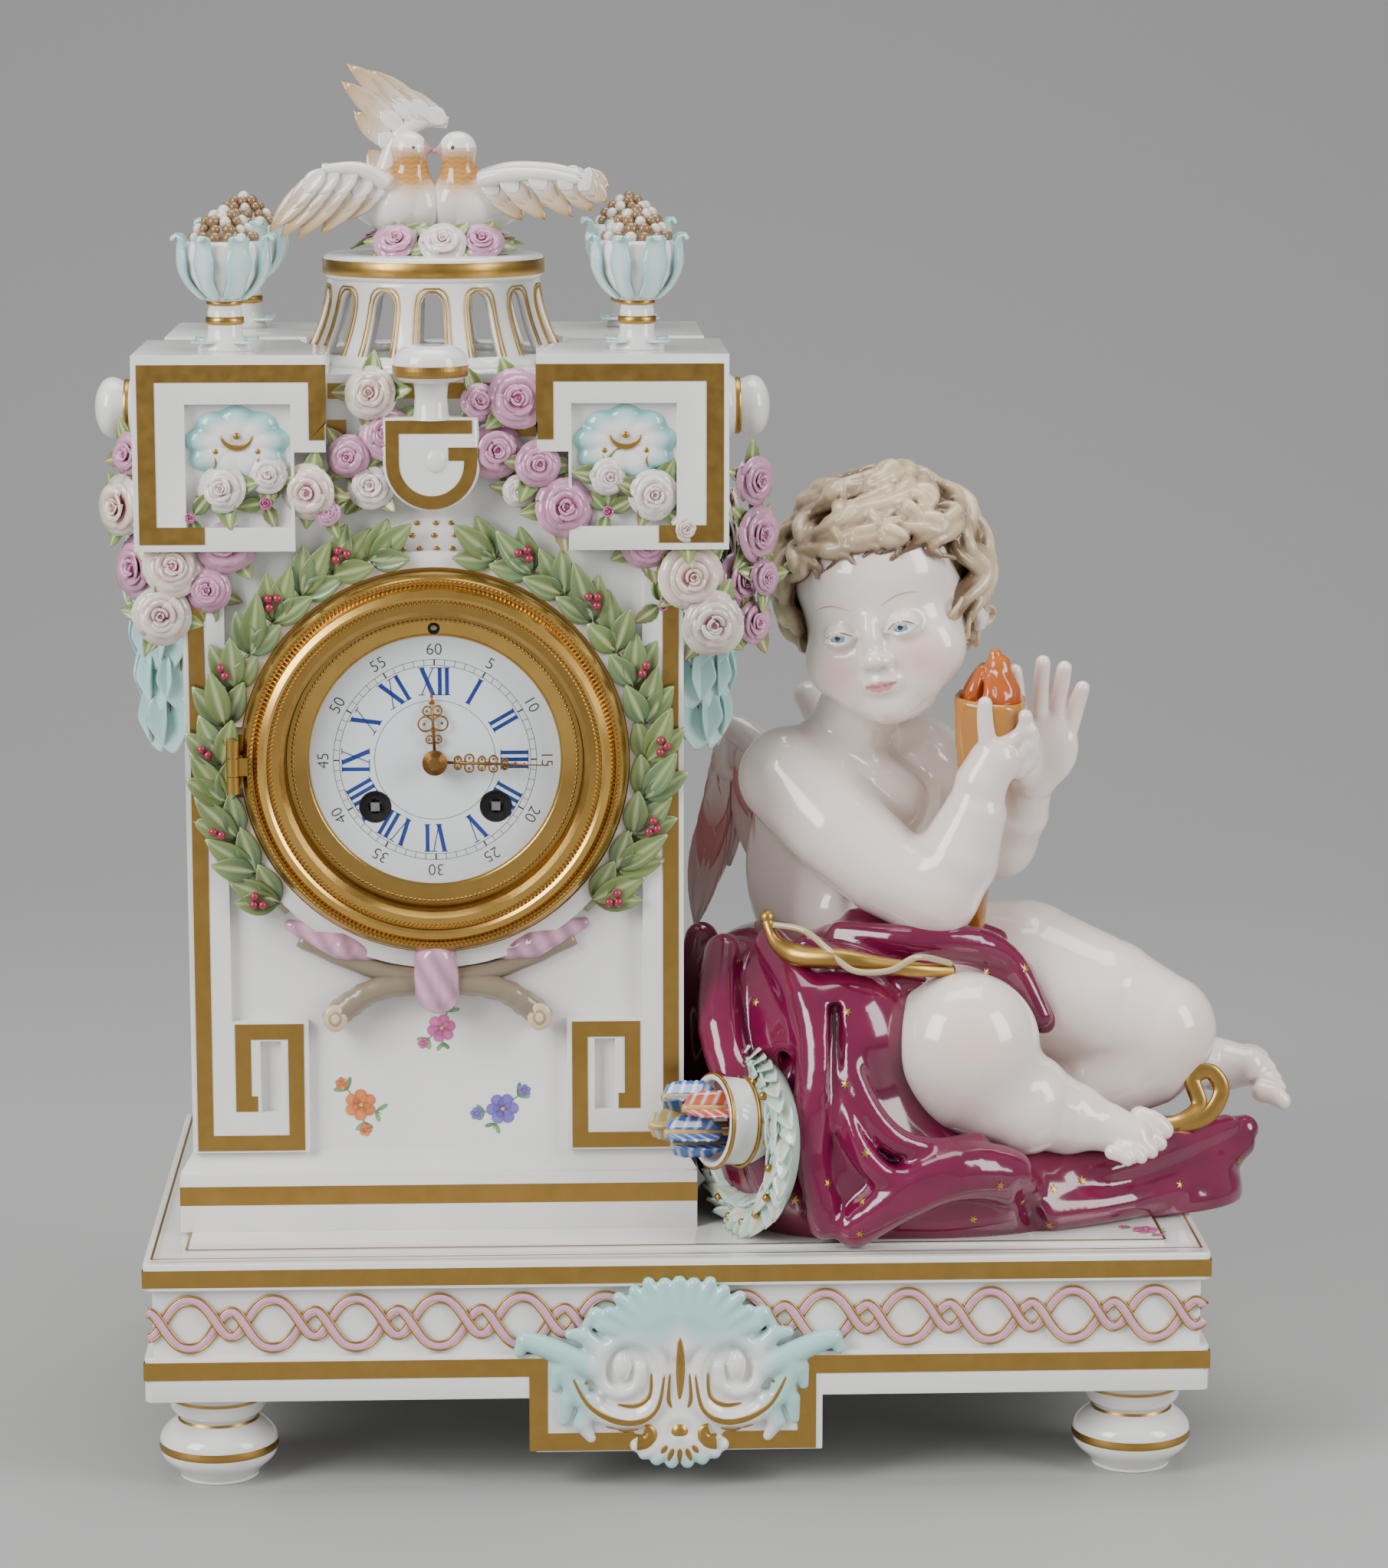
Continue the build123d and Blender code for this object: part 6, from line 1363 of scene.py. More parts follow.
cloth_hollows = (
    (((40, -66, 150), (36, -84, 124), (40, -90, 96)), 2.6),
    (((54, -76, 160), (53, -92, 132), (59, -98, 100)), 2.4),
    (((118, -92, 100), (122, -80, 88), (128, -84, 80)), 3),
    (((26, -68, 160), (20, -82, 128), (28, -88, 100)), 2.2))


def make_cloth():
    """The crimson cloth over the rock, the lap and the ground, in deep glossy folds."""
    clay = Clay(place(-2, -100, 78), place(212, 54, 188), 0.9)
    for centre, radii, blend in cloth_mass:
        clay.add(egg(place(*centre), radii), blend)
    clay.limb(((150, -34, 92), (182, -28, 97), (204, -21, 103)), (16, 12, 5), 12)
    clay.limb(((62, -34, 168), (90, -40, 168), (118, -34, 160), (130, -36, 148)), (15, 14, 10, 6), 8)
    for path, radii in cloth_folds:
        line = curve_through(places(*path), 4)
        clay.add(chain(line, spread_along(line, radii)), 3.0)
    for path, radius in cloth_hollows:
        clay.carve(chain(curve_through(places(*path), 4), radius), 4)
    points, faces = clay.skin()
    points[:, 2] = np.maximum(points[:, 2], plinth_top)
    piece("cloth", points, faces, cloth_glaze, "crimson_porcelain", stands_for=("drape",))
    make_stars(surface_of(points, faces))


star_spacing = 11.0
star_tries = 130


def make_stars(cloth):
    """Small gilt stars scattered over the cloth."""
    rng = random.Random(11)
    form = Form()
    centre = Vector(place(80, -15, 112))
    placed = []
    for _ in range(star_tries):
        outward = Vector(direction_of(rng.uniform(0, 360), rng.uniform(-12, 65)))
        start = centre + outward * 260 + Vector((rng.uniform(-55, 75), 0, -20))
        hit, normal = cloth.ray_cast(start, -outward)[:2]
        if hit is None or any((hit - other).length < star_spacing for other in placed):
            continue
        placed.append(hit)
        facing = 1.0 if normal.dot(outward) > 0 else -1.0
        add_star(form, np.array(hit), np.array(normal) * facing, rng.uniform(1.6, 2.1), rng.uniform(0, 6))
    form.make("cloth_stars", gold, "gilt_porcelain")


def add_star(form, centre, normal, radius, turn):
    side = unit(np.cross(normal, (0.3, 0.2, 0.9)))
    other = np.cross(normal, side)
    points = [centre + normal * 0.55]
    for k in range(12):
        reach = radius * 0.42 if k % 2 else radius
        angle = turn + k * PI / 6
        points.append(centre + side * math.cos(angle) * reach + other * math.sin(angle) * reach
                      + normal * 0.2)
    form.add(points, [(0, k + 1, (k + 1) % 12 + 1) for k in range(12)])


# Torch, bow, quiver and loop

amber = np.array([0.30, 0.11, 0.012])
amber_light = np.array([0.46, 0.19, 0.025])
flame_deep = np.array([0.40, 0.07, 0.008])
flame_glow = np.array([0.12, 0.06, 0.004])
torch_foot, torch_lip = place(104, -30, 168), place(110, -37, 260)
torch_axis = unit(torch_lip - torch_foot)
torch_profile = ((4.4, 0), (4.8, 20), (5.2, 46), (6.2, 56), (8.8, 66), (11.0, 77), (12.2, 88),
                 (12.6, 92), (12.2, 94), (10.6, 93), (8.5, 90), (0.2, 88))


def spun(profile, base, direction, segments=48, closed=False):
    """Points and faces of a form turned about any line. The profile holds (radius, place along the line)."""
    direction = unit(direction)
    side, other = square_to(direction, (0.12, 0.3, 0.95))
    angles = np.arange(segments) * 2 * PI / segments
    ring = np.cos(angles)[:, None] * side + np.sin(angles)[:, None] * other
    rows = [np.asarray(base, float) + direction * along + ring * radius for radius, along in profile]
    return np.vstack(rows), grid_faces(len(rows), segments, closed, True)


def make_torch():
    """A fluted torch with a ring of flames over its lip."""
    form = Form()
    points, faces = spun(torch_profile, torch_foot, torch_axis)
    tall = (points - torch_foot) @ torch_axis
    flute = 1 + 0.05 * np.cos(np.arctan2((points - torch_foot)[:, 1], (points - torch_foot)[:, 0]) * 6)
    middle = np.outer(tall, torch_axis)
    points = torch_foot + middle + (points - torch_foot - middle) * flute[:, None]
    form.add(points, faces, amber + np.clip(tall / 90, 0, 1)[:, None] * (amber_light - amber))
    points, faces = shape_flame()
    heat = np.clip((points - torch_lip) @ torch_axis / 17, 0, 1)[:, None]
    form.add(points, faces, flame_deep + heat * flame_glow)
    form.make("torch_and_flame", painted, "gilt_porcelain", stands_for=("torch",))


def shape_flame():
    lip, axis = torch_lip, torch_axis
    clay = Clay(lip - (18, 18, 12), lip + (18, 18, 34), 0.7)
    rng = random.Random(2)
    for k in range(11):
        angle = k * 2.4
        base = lip + np.array([math.cos(angle), math.sin(angle), 0]) * (7.0 if k else 0) - axis * 3
        top = base + axis * rng.uniform(9, 14) - (base - lip) * 0.35
        middle = (base + top) / 2 + np.array([math.cos(angle + 1), math.sin(angle + 1), 0]) * 2.6
        clay.add(chain(curve_through([base, middle, top], 5), np.linspace(3.6, 1.5, 11)), 1.0)
    clay.add(chain([lip, lip + axis * 12 + (1.5, 0, 0), lip + axis * 16.5], (5, 4.6, 2.2)), 1.5)
    return clay.skin()


def make_bow():
    stave = curve_through(places((32, -54, 187), (35, -59, 180), (43, -66, 177), (56, -71, 177),
                                 (70, -71, 174.5), (84, -69, 172.5), (95, -64, 171)), 8)
    form = Form()
    form.add(*tube(stave, spread_along(stave, (2.2, 2.0, 3.9, 3.4, 2.0), (0, 0.1, 0.3, 0.6, 1)), 14))
    form.add(*ball(place(32, -54, 188), 2.6))
    form.make("bow_stave", gold, "gilt_porcelain", stands_for=("bow",))
    string = curve_through(places((34, -57, 186), (44, -62, 185), (52, -71, 180), (60, -76, 174),
                                  (72, -77, 174), (82, -74, 178), (94, -66, 174)), 8)
    thread = Form()
    thread.add(*tube(string, 1.15, 10), (0.46, 0.38, 0.22))
    thread.make("bow_string", painted, "gilt_porcelain")


quiver_mouth = place(12.9, -77.5, 122.5)
quiver_heading = unit([-0.91, -0.40, 0.10])
quiver_side = unit(np.cross(quiver_heading, (0, 0, 1)))
quiver_up = np.cross(quiver_side, quiver_heading)
arrow_blue, arrow_red, arrow_yellow = (0.05, 0.16, 0.50), (0.62, 0.10, 0.04), (0.60, 0.46, 0.16)
arrow_pale = (0.70, 0.76, 0.82)
# Each arrow: across and up in the quiver's mouth, how far it stands out, and its colour.
arrow_rows = ((-7, 6, 34, arrow_red), (1, 8, 38, arrow_blue), (7, 3, 33, arrow_yellow),
              (-5, -3, 39, arrow_blue), (3, -2, 41, arrow_yellow), (-1, -8, 34, arrow_blue),
              (7, -7, 31, arrow_red))


def make_quiver():
    start = quiver_mouth - quiver_heading * 44
    form = Form()
    profile = [(12.5, 0), (13.6, 14), (14.6, 26), (15.6, 31), (15.8, 34), (15.0, 35), (15.2, 42), (16.0, 44),
               (15.6, 45.5), (14.2, 45.5), (13.6, 44), (13.2, 30), (0.1, 29.5)]
    form.add(*spun(profile, start, quiver_heading, 64), (0.83, 0.82, 0.80))
    form.make("quiver_tube", painted, "white_porcelain", stands_for=("quiver",))
    rings = Form()
    for reach, radius in ((26, 15.0), (34.5, 16.1), (44.5, 16.4)):
        rings.add(*spun([(radius - 0.6, reach - 0.9), (radius + 0.3, reach), (radius - 0.6, reach + 0.9)],
                        start, quiver_heading, 64, True))
    rings.make("quiver_rings", gold, "gilt_porcelain")
    make_arrows()
    make_quiver_wreath()


def make_arrows():
    """Arrow ends with three vanes each, in blue, red and yellow."""
    form, shafts = Form(), Form()
    for across, tall, reach, colour in arrow_rows:
        base = quiver_mouth + quiver_side * across + quiver_up * tall - quiver_heading * 12
        end = base + quiver_heading * (reach - 6)
        shafts.add(*tube([base, (base + end) / 2, end], (1.1, 1.1, 1.4), 8), (0.55, 0.36, 0.12))
        for vane in range(3):
            out = spoke_at(quiver_side, quiver_up, vane * 2 * PI / 3 + across)
            add_vane(form, end - quiver_heading * vane_length, out, np.array(colour))
    thickened(form.make("arrow_vanes", painted, "arrow_porcelain", stands_for=("arrows",)), 0.8)
    shafts.make("arrow_shafts", painted, "arrow_porcelain")


vane_length = 19.0


def add_vane(form, base, out, colour):
    rows, columns = 18, 5

    def spot(i, j):
        s, v = i / (rows - 1), j / (columns - 1)
        reach = 4.9 * min(1, s * 3.5 + 0.1) * (1 - 0.25 * max(0, s - 0.8) * 5) * (1 + 0.07 * (i % 2))
        shade = arrow_pale if i % 4 == 3 else colour * (1.25 - 0.4 * v)
        return base + quiver_heading * (vane_length * s - 2.6 * v) + out * (0.8 + reach * v), shade

    add_sheet(form, rows, columns, spot)


wreath_radius = 24.0


def make_quiver_wreath():
    """A ring of pale laurel leaves and gilt berries round the quiver."""
    form, berries = Form(), Form()
    centre = quiver_mouth - quiver_heading * 15 + (0, 0, -7)
    rng = random.Random(4)
    for k in range(34):
        turn = 2 * PI * k / 34
        spoke = spoke_at(quiver_side, quiver_up, turn)
        along = -quiver_side * math.sin(turn) + quiver_up * math.cos(turn)
        ring = centre + spoke * wreath_radius
        for lean in (-1, 0, 1):
            out = spoke * (0.7 * lean) + quiver_heading * (1.0 - 0.35 * abs(lean))
            heading = along + spoke * 0.45 * lean + quiver_heading * rng.uniform(0.1, 0.5)
            leaf(form, ring + out * 2.2, heading, out, rng.uniform(13, 15.5), 6.6, (0.50, 0.66, 0.58),
                 (0.62, 0.76, 0.69), curl=0.12, cup=0.2, rows=8, columns=5, blunt=0.75,
                 vein=(0.60, 0.50, 0.28) if k % 2 else None, ridge=0.09)
        if k % 2 == 0:
            berries.add(*ball(ring + quiver_heading * 5.4 + spoke * rng.uniform(-4, 4), 1.5))
    core = [centre + spoke_at(quiver_side, quiver_up, a) * wreath_radius for a in np.linspace(0, 2 * PI, 49)]
    form.add(*tube(core, 4.6, 10), (0.38, 0.50, 0.42))
    thickened(form.make("quiver_laurel", painted, "leaf_porcelain", stands_for=("quiver_wreath",)), 0.7)
    berries.make("quiver_berries", gold, "gilt_porcelain")


def make_loop():
    """A gilt ribbon loop by the far foot."""
    form = Form()
    path = curve_through(places((160, -48, 110), (172, -46, 110), (186, -44, 113), (192, -42, 122),
                                (188, -41, 129), (182, -41, 126), (184, -43, 117), (176, -46, 112),
                                (166, -50, 112)), 7)
    form.add(*tube(path, 2.9, 12, 0.42, np.array([0.1, 1.0, 0.1])))
    form.make("ribbon_loop", gold, "gilt_porcelain")


# Roses and leaves

# The heart colour of each rose is partly its deeper paint and partly painted shade in its crevices.
# Rim and heart of each kind of rose: cream, pink, white, a dark bud and lilac.
rose_colours = {
    "c": ((0.80, 0.72, 0.60), (0.50, 0.16, 0.22)), "p": ((0.62, 0.33, 0.47), (0.34, 0.06, 0.18)),
    "w": ((0.82, 0.78, 0.73), (0.55, 0.22, 0.32)), "d": ((0.46, 0.11, 0.23), (0.24, 0.025, 0.10)),
    "l": ((0.74, 0.68, 0.58), (0.38, 0.12, 0.20))}
# Layers of petals from the outside in: count, opening in degrees, share of the radius and roll of the rim.
bud_layers = ((4, 30, 0.75, 0.05), (3, 14, 0.62, 0.02), (2, 6, 0.5, 0.0))
rose_layers = ((5, 76, 1.02, 0.26), (5, 56, 0.90, 0.20), (4, 38, 0.78, 0.15), (3, 22, 0.70, 0.10),
               (3, 10, 0.64, 0.05))
leaf_green = np.array([0.08, 0.16, 0.035])
leaf_pale = (0.28, 0.36, 0.11)
leaf_brown = (0.34, 0.26, 0.12)


def add_petal(form, centre, axis, angle, radius, opening, rim, deep, roll):
    """One cupped petal that starts on the axis and opens outwards, with a curled rim."""
    side, other = square_to(axis)
    rows, columns = 7, 9
    tilt = math.radians(opening)

    def spot(i, j):
        s, u = i / (rows - 1), 2 * j / (columns - 1) - 1
        spread = math.radians(62) * u * (0.45 + 0.55 * math.sin(PI * min(s * 0.62 + 0.15, 0.62)))
        reach = radius * (0.12 + 0.9 * s * math.sin(tilt)) * (1 - 0.10 * u * u * s)
        height = radius * (0.95 * s * math.cos(tilt) - 0.16 * u * u * s)
        curl = max(0.0, s - 0.7) / 0.3
        reach += roll * radius * curl * curl
        height -= roll * radius * 0.75 * curl * curl
        # Towards the petal's base the colour goes over to the heart colour: deeper paint and painted shade.
        pale = min(1.0, s ** 2.8 + 0.15 * abs(u) * s)
        point = centre + spoke_at(side, other, angle + spread) * reach + axis * height
        return point, deep + (rim - deep) * pale

    add_sheet(form, rows, columns, spot)


def add_rose(form, centre, axis, radius, kind, rng):
    rim, deep = np.array(rose_colours[kind])
    start = rng.uniform(0, 6.3)
    for index, (count, opening, share, roll) in enumerate(bud_layers if kind == "d" else rose_layers):
        for k in range(count):
            angle = start + index * 0.55 + 2 * PI * k / count + rng.uniform(-0.24, 0.24)
            shade = 1 + rng.uniform(-0.10, 0.10)
            add_petal(form, centre, axis, angle, radius * share * (0.5 + shade / 2),
                      opening + rng.uniform(-9, 9), rim * shade, deep * shade, roll)
    # The ball in the middle has the heart colour: deeper paint and painted shade.
    form.add(*ball(centre + axis * radius * 0.25, radius * 0.2), deep)


def add_rose_leaf(form, base, heading, normal, length, rng):
    green = leaf_green * rng.uniform(0.8, 1.25)
    edge = leaf_pale if rng.random() < 0.7 else leaf_brown
    leaf(form, base, heading, normal, length, length * 0.62, green, edge, curl=rng.uniform(-0.1, 0.35),
         cup=rng.uniform(0.1, 0.5), teeth=5, rows=11, blunt=0.75, vein=(0.56, 0.58, 0.30))


def wreathe(blooms, leaves, centre, axis, radius, kind, rng, count=4):
    """A rose with its own leaves round it."""
    axis = unit(axis)
    add_rose(blooms, centre, axis, radius, kind, rng)
    side, other = square_to(axis)
    start = rng.uniform(0, 6.3)
    for k in range(count):
        spoke = spoke_at(side, other, start + 2 * PI * k / count + rng.uniform(-0.3, 0.3))
        add_rose_leaf(leaves, centre + spoke * radius * 0.35 - axis * radius * 0.25, spoke + axis * 0.1, axis,
                      radius * 0.7 + rng.uniform(5.0, 7.5), rng)


def make_blooms(name, blooms, leaves, node):
    thickened(blooms.make(name + "_roses", painted, "rose_porcelain", stands_for=(node,)), 0.45)
    thickened(leaves.make(name + "_leaves", satin_painted, "leaf_porcelain"), 0.5)


def dial_at(u, y, v):
    """A place from the distances across and up from the dial's centre."""
    return np.array([dial_x + u, middle_y + y, dial_z + v])


# Roses of the garland: across and up from the dial's centre, radius and kind.
garland_places = (
    (-19.9, 124.4, 7.3, "c"), (-14.7, 110.4, 7.3, "p"), (-27.8, 103.1, 5.7, "p"),
    (-20.3, 93.4, 6.5, "w"), (-40.9, 91.9, 7.3, "c"), (-54.2, 97.6, 5.2, "w"), (-69.5, 92.8, 6.5, "w"),
    (-55.1, 88.2, 3.9, "d"), (-35.0, 85.0, 3.7, "p"), (-79.8, 83.4, 3.9, "d"), (-69.1, 74.2, 8.0, "p"),
    (-86.5, 66.3, 8.0, "c"), (-102.5, 64.6, 8.5, "p"), (-75.2, 58.5, 6.2, "p"), (-90.6, 50.1, 8.0, "l"),
    (-107.6, 85.1, 8.5, "c"), (-104.4, 102.7, 6.2, "p"), (16.0, 121.2, 4.9, "p"),
    (28.5, 122.0, 8.0, "p"), (21.2, 105.2, 7.3, "p"), (35.2, 100.5, 6.2, "p"), (29.0, 91.6, 4.4, "w"),
    (44.0, 86.4, 8.0, "p"), (58.3, 84.6, 3.9, "d"), (58.8, 96.4, 5.2, "w"), (73.9, 90.4, 6.7, "w"),
    (84.9, 78.6, 4.4, "l"), (71.6, 73.5, 6.7, "p"), (86.4, 62.1, 8.8, "c"), (106.4, 59.1, 7.3, "p"),
    (76.6, 52.8, 3.9, "d"), (93.8, 46.3, 8.8, "l"), (111.3, 44.6, 6.2, "p"), (111.7, 92.8, 6.7, "p"),
    (112.3, 74.6, 8.0, "p"), (115.0, 59.8, 5.2, "p"))


ear_edge = 97.0


def make_garlands():
    """Two swags of roses over the bezel's shoulders, and roses down the outside of the ears."""
    rng = random.Random(21)
    blooms, leaves = Form(), Form()
    for u, v, radius, kind in garland_places:
        way = np.sign(u)
        if abs(u) > ear_edge:
            centre, axis = dial_at(u, -50, v) - (3.0 * way, 0, 0), (0.75 * way, -0.75, 0.05)
        else:
            depth = -64 if v < 76 else -66 if abs(u) < 30 else -68.5
            centre = dial_at(u, depth, v)
            axis = (0.12 * way + rng.uniform(-0.15, 0.15), -1, rng.uniform(-0.1, 0.25))
        wreathe(blooms, leaves, centre, axis, radius, kind, rng, 3 if radius < 5 else 4)
    for side in (-1, 1):
        for y in (-30, -8, 14, 36, 56):
            centre = dial_at(side * 101.0, y, 76) + (0, 0, 6.0 * math.cos(y * 0.11))
            wreathe(blooms, leaves, centre, (side, 0, 0.1), rng.uniform(6.0, 7.6), rng.choice("pcwl"), rng)
    make_blooms("garland", blooms, leaves, "garland_roses")


laurel_radius = 71.5
laurel_greens = ((0.10, 0.16, 0.04), (0.13, 0.17, 0.04), (0.09, 0.16, 0.07))
laurel_tip = (0.23, 0.31, 0.11)
cut_stem = ((47, -61, -62), (24, -62, -71.5), (0, -64, -76), (-20, -65, -78.5), (-30, -65, -84),
            (-37, -64, -90))
# The cut end of a stem: the radius and the colour of its bark, its wood and its heart.
cut_rings = ((4.2, (0.66, 0.50, 0.32)), (2.6, (0.40, 0.28, 0.17)), (1.6, (0.70, 0.55, 0.38)))


def add_laurel(leaves, berries, side, rng):
    for index, turn in enumerate(np.radians(np.linspace(132, 17, 12))):
        spoke = np.array([side * math.sin(turn), 0, math.cos(turn)])
        along = np.array([-side * math.cos(turn), 0, math.sin(turn)])
        node = dial_at(0, -64.6, 0) + spoke * laurel_radius
        for lean, length in ((1.15, 16.5), (-0.25, 15.0), (0.45, 19.5)):
            green = np.array(rng.choice(laurel_greens)) * rng.uniform(0.6, 1.35)
            base = node + (0, rng.uniform(-1, 1), 0)
            heading = along + spoke * lean + (0, -rng.uniform(0.05, 0.3), 0)
            leaf(leaves, base, heading, (0, -1, 0), length * rng.uniform(0.9, 1.1), 8.4, green, laurel_tip,
                 curl=rng.uniform(-0.05, 0.15), cup=rng.uniform(0.2, 0.5), blunt=0.85,
                 vein=(0.40, 0.46, 0.22), ridge=0.06)
        if index % 2 == 0:
            for k in range(rng.choice((2, 3))):
                spot = node + spoke * (4.5 + 2.2 * (k % 2)) + along * (3.2 + 2.0 * k) + (0, -3.0, 0)
                berries.add(*ball(spot, 1.55), (0.30, 0.015, 0.05))


def add_stems(stems, side):
    """The stem under the leaves, and the thick cut stem that crosses to the other side."""
    bow = [dial_at(side * math.sin(t) * laurel_radius, -60.5, math.cos(t) * laurel_radius)
           for t in np.radians(np.linspace(17, 136, 30))]
    stems.add(*tube(bow, np.linspace(1.0, 2.6, 30), 8), (0.32, 0.30, 0.14))
    cut = curve_through([dial_at(side * u, y, v) for u, y, v in cut_stem], 7)
    radii = spread_along(cut, (2.4, 3.4, 4.6, 3.4), (0, 0.3, 0.85, 1))
    radii = radii * (1 + 0.06 * np.sin(np.arange(len(cut)) * 1.9))
    stems.add(*tube(cut, radii, 12), (0.24, 0.19, 0.13))
    for reach, shade in cut_rings:
        centre = cut[-4] + (0, -4.0, 0) + (0, -0.4 * (cut_rings[0][0] - reach), 0)
        stems.add(*ball(centre, reach, 14, 9, (1.0, 0.28, 1.15)), shade)


def make_laurel():
    """Laurel sprays round the bezel with dark red berries, and the crossed cut stems."""
    rng = random.Random(8)
    leaves, berries, stems = Form(), Form(), Form()
    for side in (-1, 1):
        add_laurel(leaves, berries, side, rng)
        add_stems(stems, side)
    made = leaves.make("laurel_leaves", satin_painted, "leaf_porcelain", stands_for=("laurel_wreath",))
    thickened(made, 0.6)
    berries.make("laurel_berries", painted, "rose_porcelain")
    stems.make("laurel_stems", satin_painted, "leaf_porcelain")


ribbon_pink = np.array([0.66, 0.36, 0.50])


def make_ribbon():
    """The pink ribbon wound round the laurel stems and knotted between them."""
    clay = Clay(dial_at(-58, -76, -92), dial_at(58, -52, -48), 0.6)
    for side in (-1, 1):
        path = curve_through([dial_at(side * u, y, v) for u, y, v in
                              ((21, -60, -67), (33, -62, -63.5), (50, -60, -57))], 10)
        clay.add(chain(path, spread_along(path, (3.0, 5.2, 2.0))), 1)
        for base in path[3:16:4]:
            clay.carve(chain([base + (-2.5, -5.6, -6), base + (2.5, -5.6, 6)], 1.0), 1.2)
    clay.add(chain([dial_at(-0.5, -66, -68), dial_at(0, -66, -79)], (7.4, 7.8)), 1)
    for k in (-4.4, -1.4, 1.6, 4.6):
        clay.carve(chain([dial_at(k * 0.6, -74, -66), dial_at(k * 1.2, -74, -82)], 0.9), 1.2)
    points, faces = clay.skin()
    points[:, 1] = np.minimum(points[:, 1], middle_y - 56.5)
    shade = 0.85 + 0.2 * np.sin(points[:, 0] * 0.9 + points[:, 2] * 0.5)
    piece("ribbon", points, faces, painted, "ribbon_porcelain", stands_for=("ribbon_tie",),
          paint=ribbon_pink * shade[:, None])


# Dome, doves and urns

aqua = np.array([0.36, 0.66, 0.64])
aqua_pale = np.array([0.72, 0.82, 0.80])
dome_slots = 14
dome_y = middle_y - 0.5
slot_foot, slot_spring, slot_crown = 379.0, 395.0, 400.5
slot_spread = 6.3
half_pitch = 180.0 / dome_slots
dome_heights = (375, 376.5, 379, 379.01, 382, 385, 388, 391, 394, 395, 396.3, 397.6, 398.8, 399.8,
                400.49, 400.51, 402, 404)
# Where the columns of one slot lie, in shares of the distance to the next, and which of them the slot opens.
slot_stops = (-1, -0.75, -0.5, -0.25, 0, 0.25, 0.5, 0.75)
open_stops = (2, 3, 4, 5)
arch_levels = (379, 384, 389, 393, 396, 398, 399.5, 400.4)


def dome_radius(z):
    return 36.8 + 9.4 * (np.clip(401 - z, 0, 30) / 26) ** 1.7


def slot_half(z):
    """Half the slot's width in degrees at a height."""
    if z < slot_foot or z > slot_crown:
        return 0.0
    if z < slot_spring:
        return slot_spread
    return slot_spread * math.sqrt(max(0.0, 1 - ((z - slot_spring) / (slot_crown - slot_spring)) ** 2))


def dome_point(degrees, z, out=0.0):
    angle = math.radians(degrees)
    reach = dome_radius(z) + out
    return (dial_x + reach * math.sin(angle), dome_y - reach * math.cos(angle), z)


def make_dome_shell():
    """The dome's wall with a ring of arched slots."""
    points = []
    columns = dome_slots * len(slot_stops)
    for z in dome_heights:
        half = max(slot_half(z), 0.25)
        for slot in range(dome_slots):
            for stop in slot_stops:
                offset = np.interp(stop, (-1, -0.5, 0.5, 1), (-half_pitch, -half, half, half_pitch))
                points.append(dome_point(slot * 2 * half_pitch + offset, z))
    faces = []
    for i, low in enumerate(dome_heights[:-1]):
        open_row = slot_half(low) > 0 and slot_foot <= low < slot_crown
        for j in range(columns):
            if not (open_row and j % len(slot_stops) in open_stops):
                right = (j + 1) % columns
                corners = ((i, j), (i, right), (i + 1, right), (i + 1, j))
                faces.append(tuple(row * columns + column for row, column in corners))
    shell = piece("dome_shell", points, faces, white, "white_porcelain", stands_for=("pierced_dome",))
    modify(shell, "SOLIDIFY", thickness=2.8 * MM, offset=-1.0)


def arch_line(slot, grow, spread):
    """A line round one slot, a little outside its edge."""
    edge = []
    for sign, levels in ((-1, arch_levels), (1, arch_levels[::-1])):
        for z in levels:
            height = z + (0.8 * grow * 0.4 if z > 396 else 0)
            degrees = slot * 2 * half_pitch + sign * (slot_half(z) + grow * spread)
            edge.append(dome_point(degrees, height, 0.1))
    return edge


def make_dome():
    make_dome_shell()
    cap = Form()
    cap.add(*turned([(33.4, 403.5), (37.0, 403.7), (38.0, 405), (38.0, 410.6), (37.4, 411.6), (36, 412),
                     (20, 412.4), (0.1, 412.6)], (dial_x, dome_y), "z"))
    cap.make("dome_cap", white, "white_porcelain")
    lines = Form()
    lines.add(*turned([(38.05, 405.2), (38.3, 405.4), (38.3, 410.2), (38.05, 410.4)], (dial_x, dome_y), "z"))
    for slot in range(dome_slots):
        for grow, spread, radius in ((1.2, 0.5, 0.42), (4.4, 0.62, 0.3)):
            lines.add(*tube(arch_line(slot, grow, spread), radius, 6))
    lines.make("dome_gilding", gold, "gilt_porcelain")


mound_places = ((-93.3, -20, 6.2, "p"), (-77.5, -24, 6.4, "w"), (-64.4, -20, 6.4, "p"),
                (-60, 4, 5.5, "w"), (-99, 4, 5.5, "p"), (-72, 20, 6, "p"), (-90, 20, 6, "c"))


def make_mound():
    """Roses in a ring of leaves on the dome, where the doves sit."""
    rng = random.Random(3)
    blooms, leaves = Form(), Form()
    for x, y, radius, kind in mound_places:
        axis = (0.1 * (x + 81) / 20, y / 26, 0.75)
        wreathe(blooms, leaves, place(x, y, 416.5), axis, radius, kind, rng, 5)
    for k in range(26):
        out = spoke_at(np.array([1, 0, 0]), np.array([0, 1, 0]), 2 * PI * k / 26)
        base = place(-80, 0, 414.5) + out * 15
        add_rose_leaf(leaves, base, out + (0, 0, 0.3), (0, 0, 1), rng.uniform(9, 12), rng)
    make_blooms("mound", blooms, leaves, "dome_flower_mound")


dove_orange = np.array([0.60, 0.29, 0.07])
dove_ochre = np.array([0.50, 0.31, 0.12])
dove_white = np.array([0.82, 0.79, 0.74])
beak_pink = (0.50, 0.30, 0.30)
dove_eye = (0.05, 0.04, 0.04)
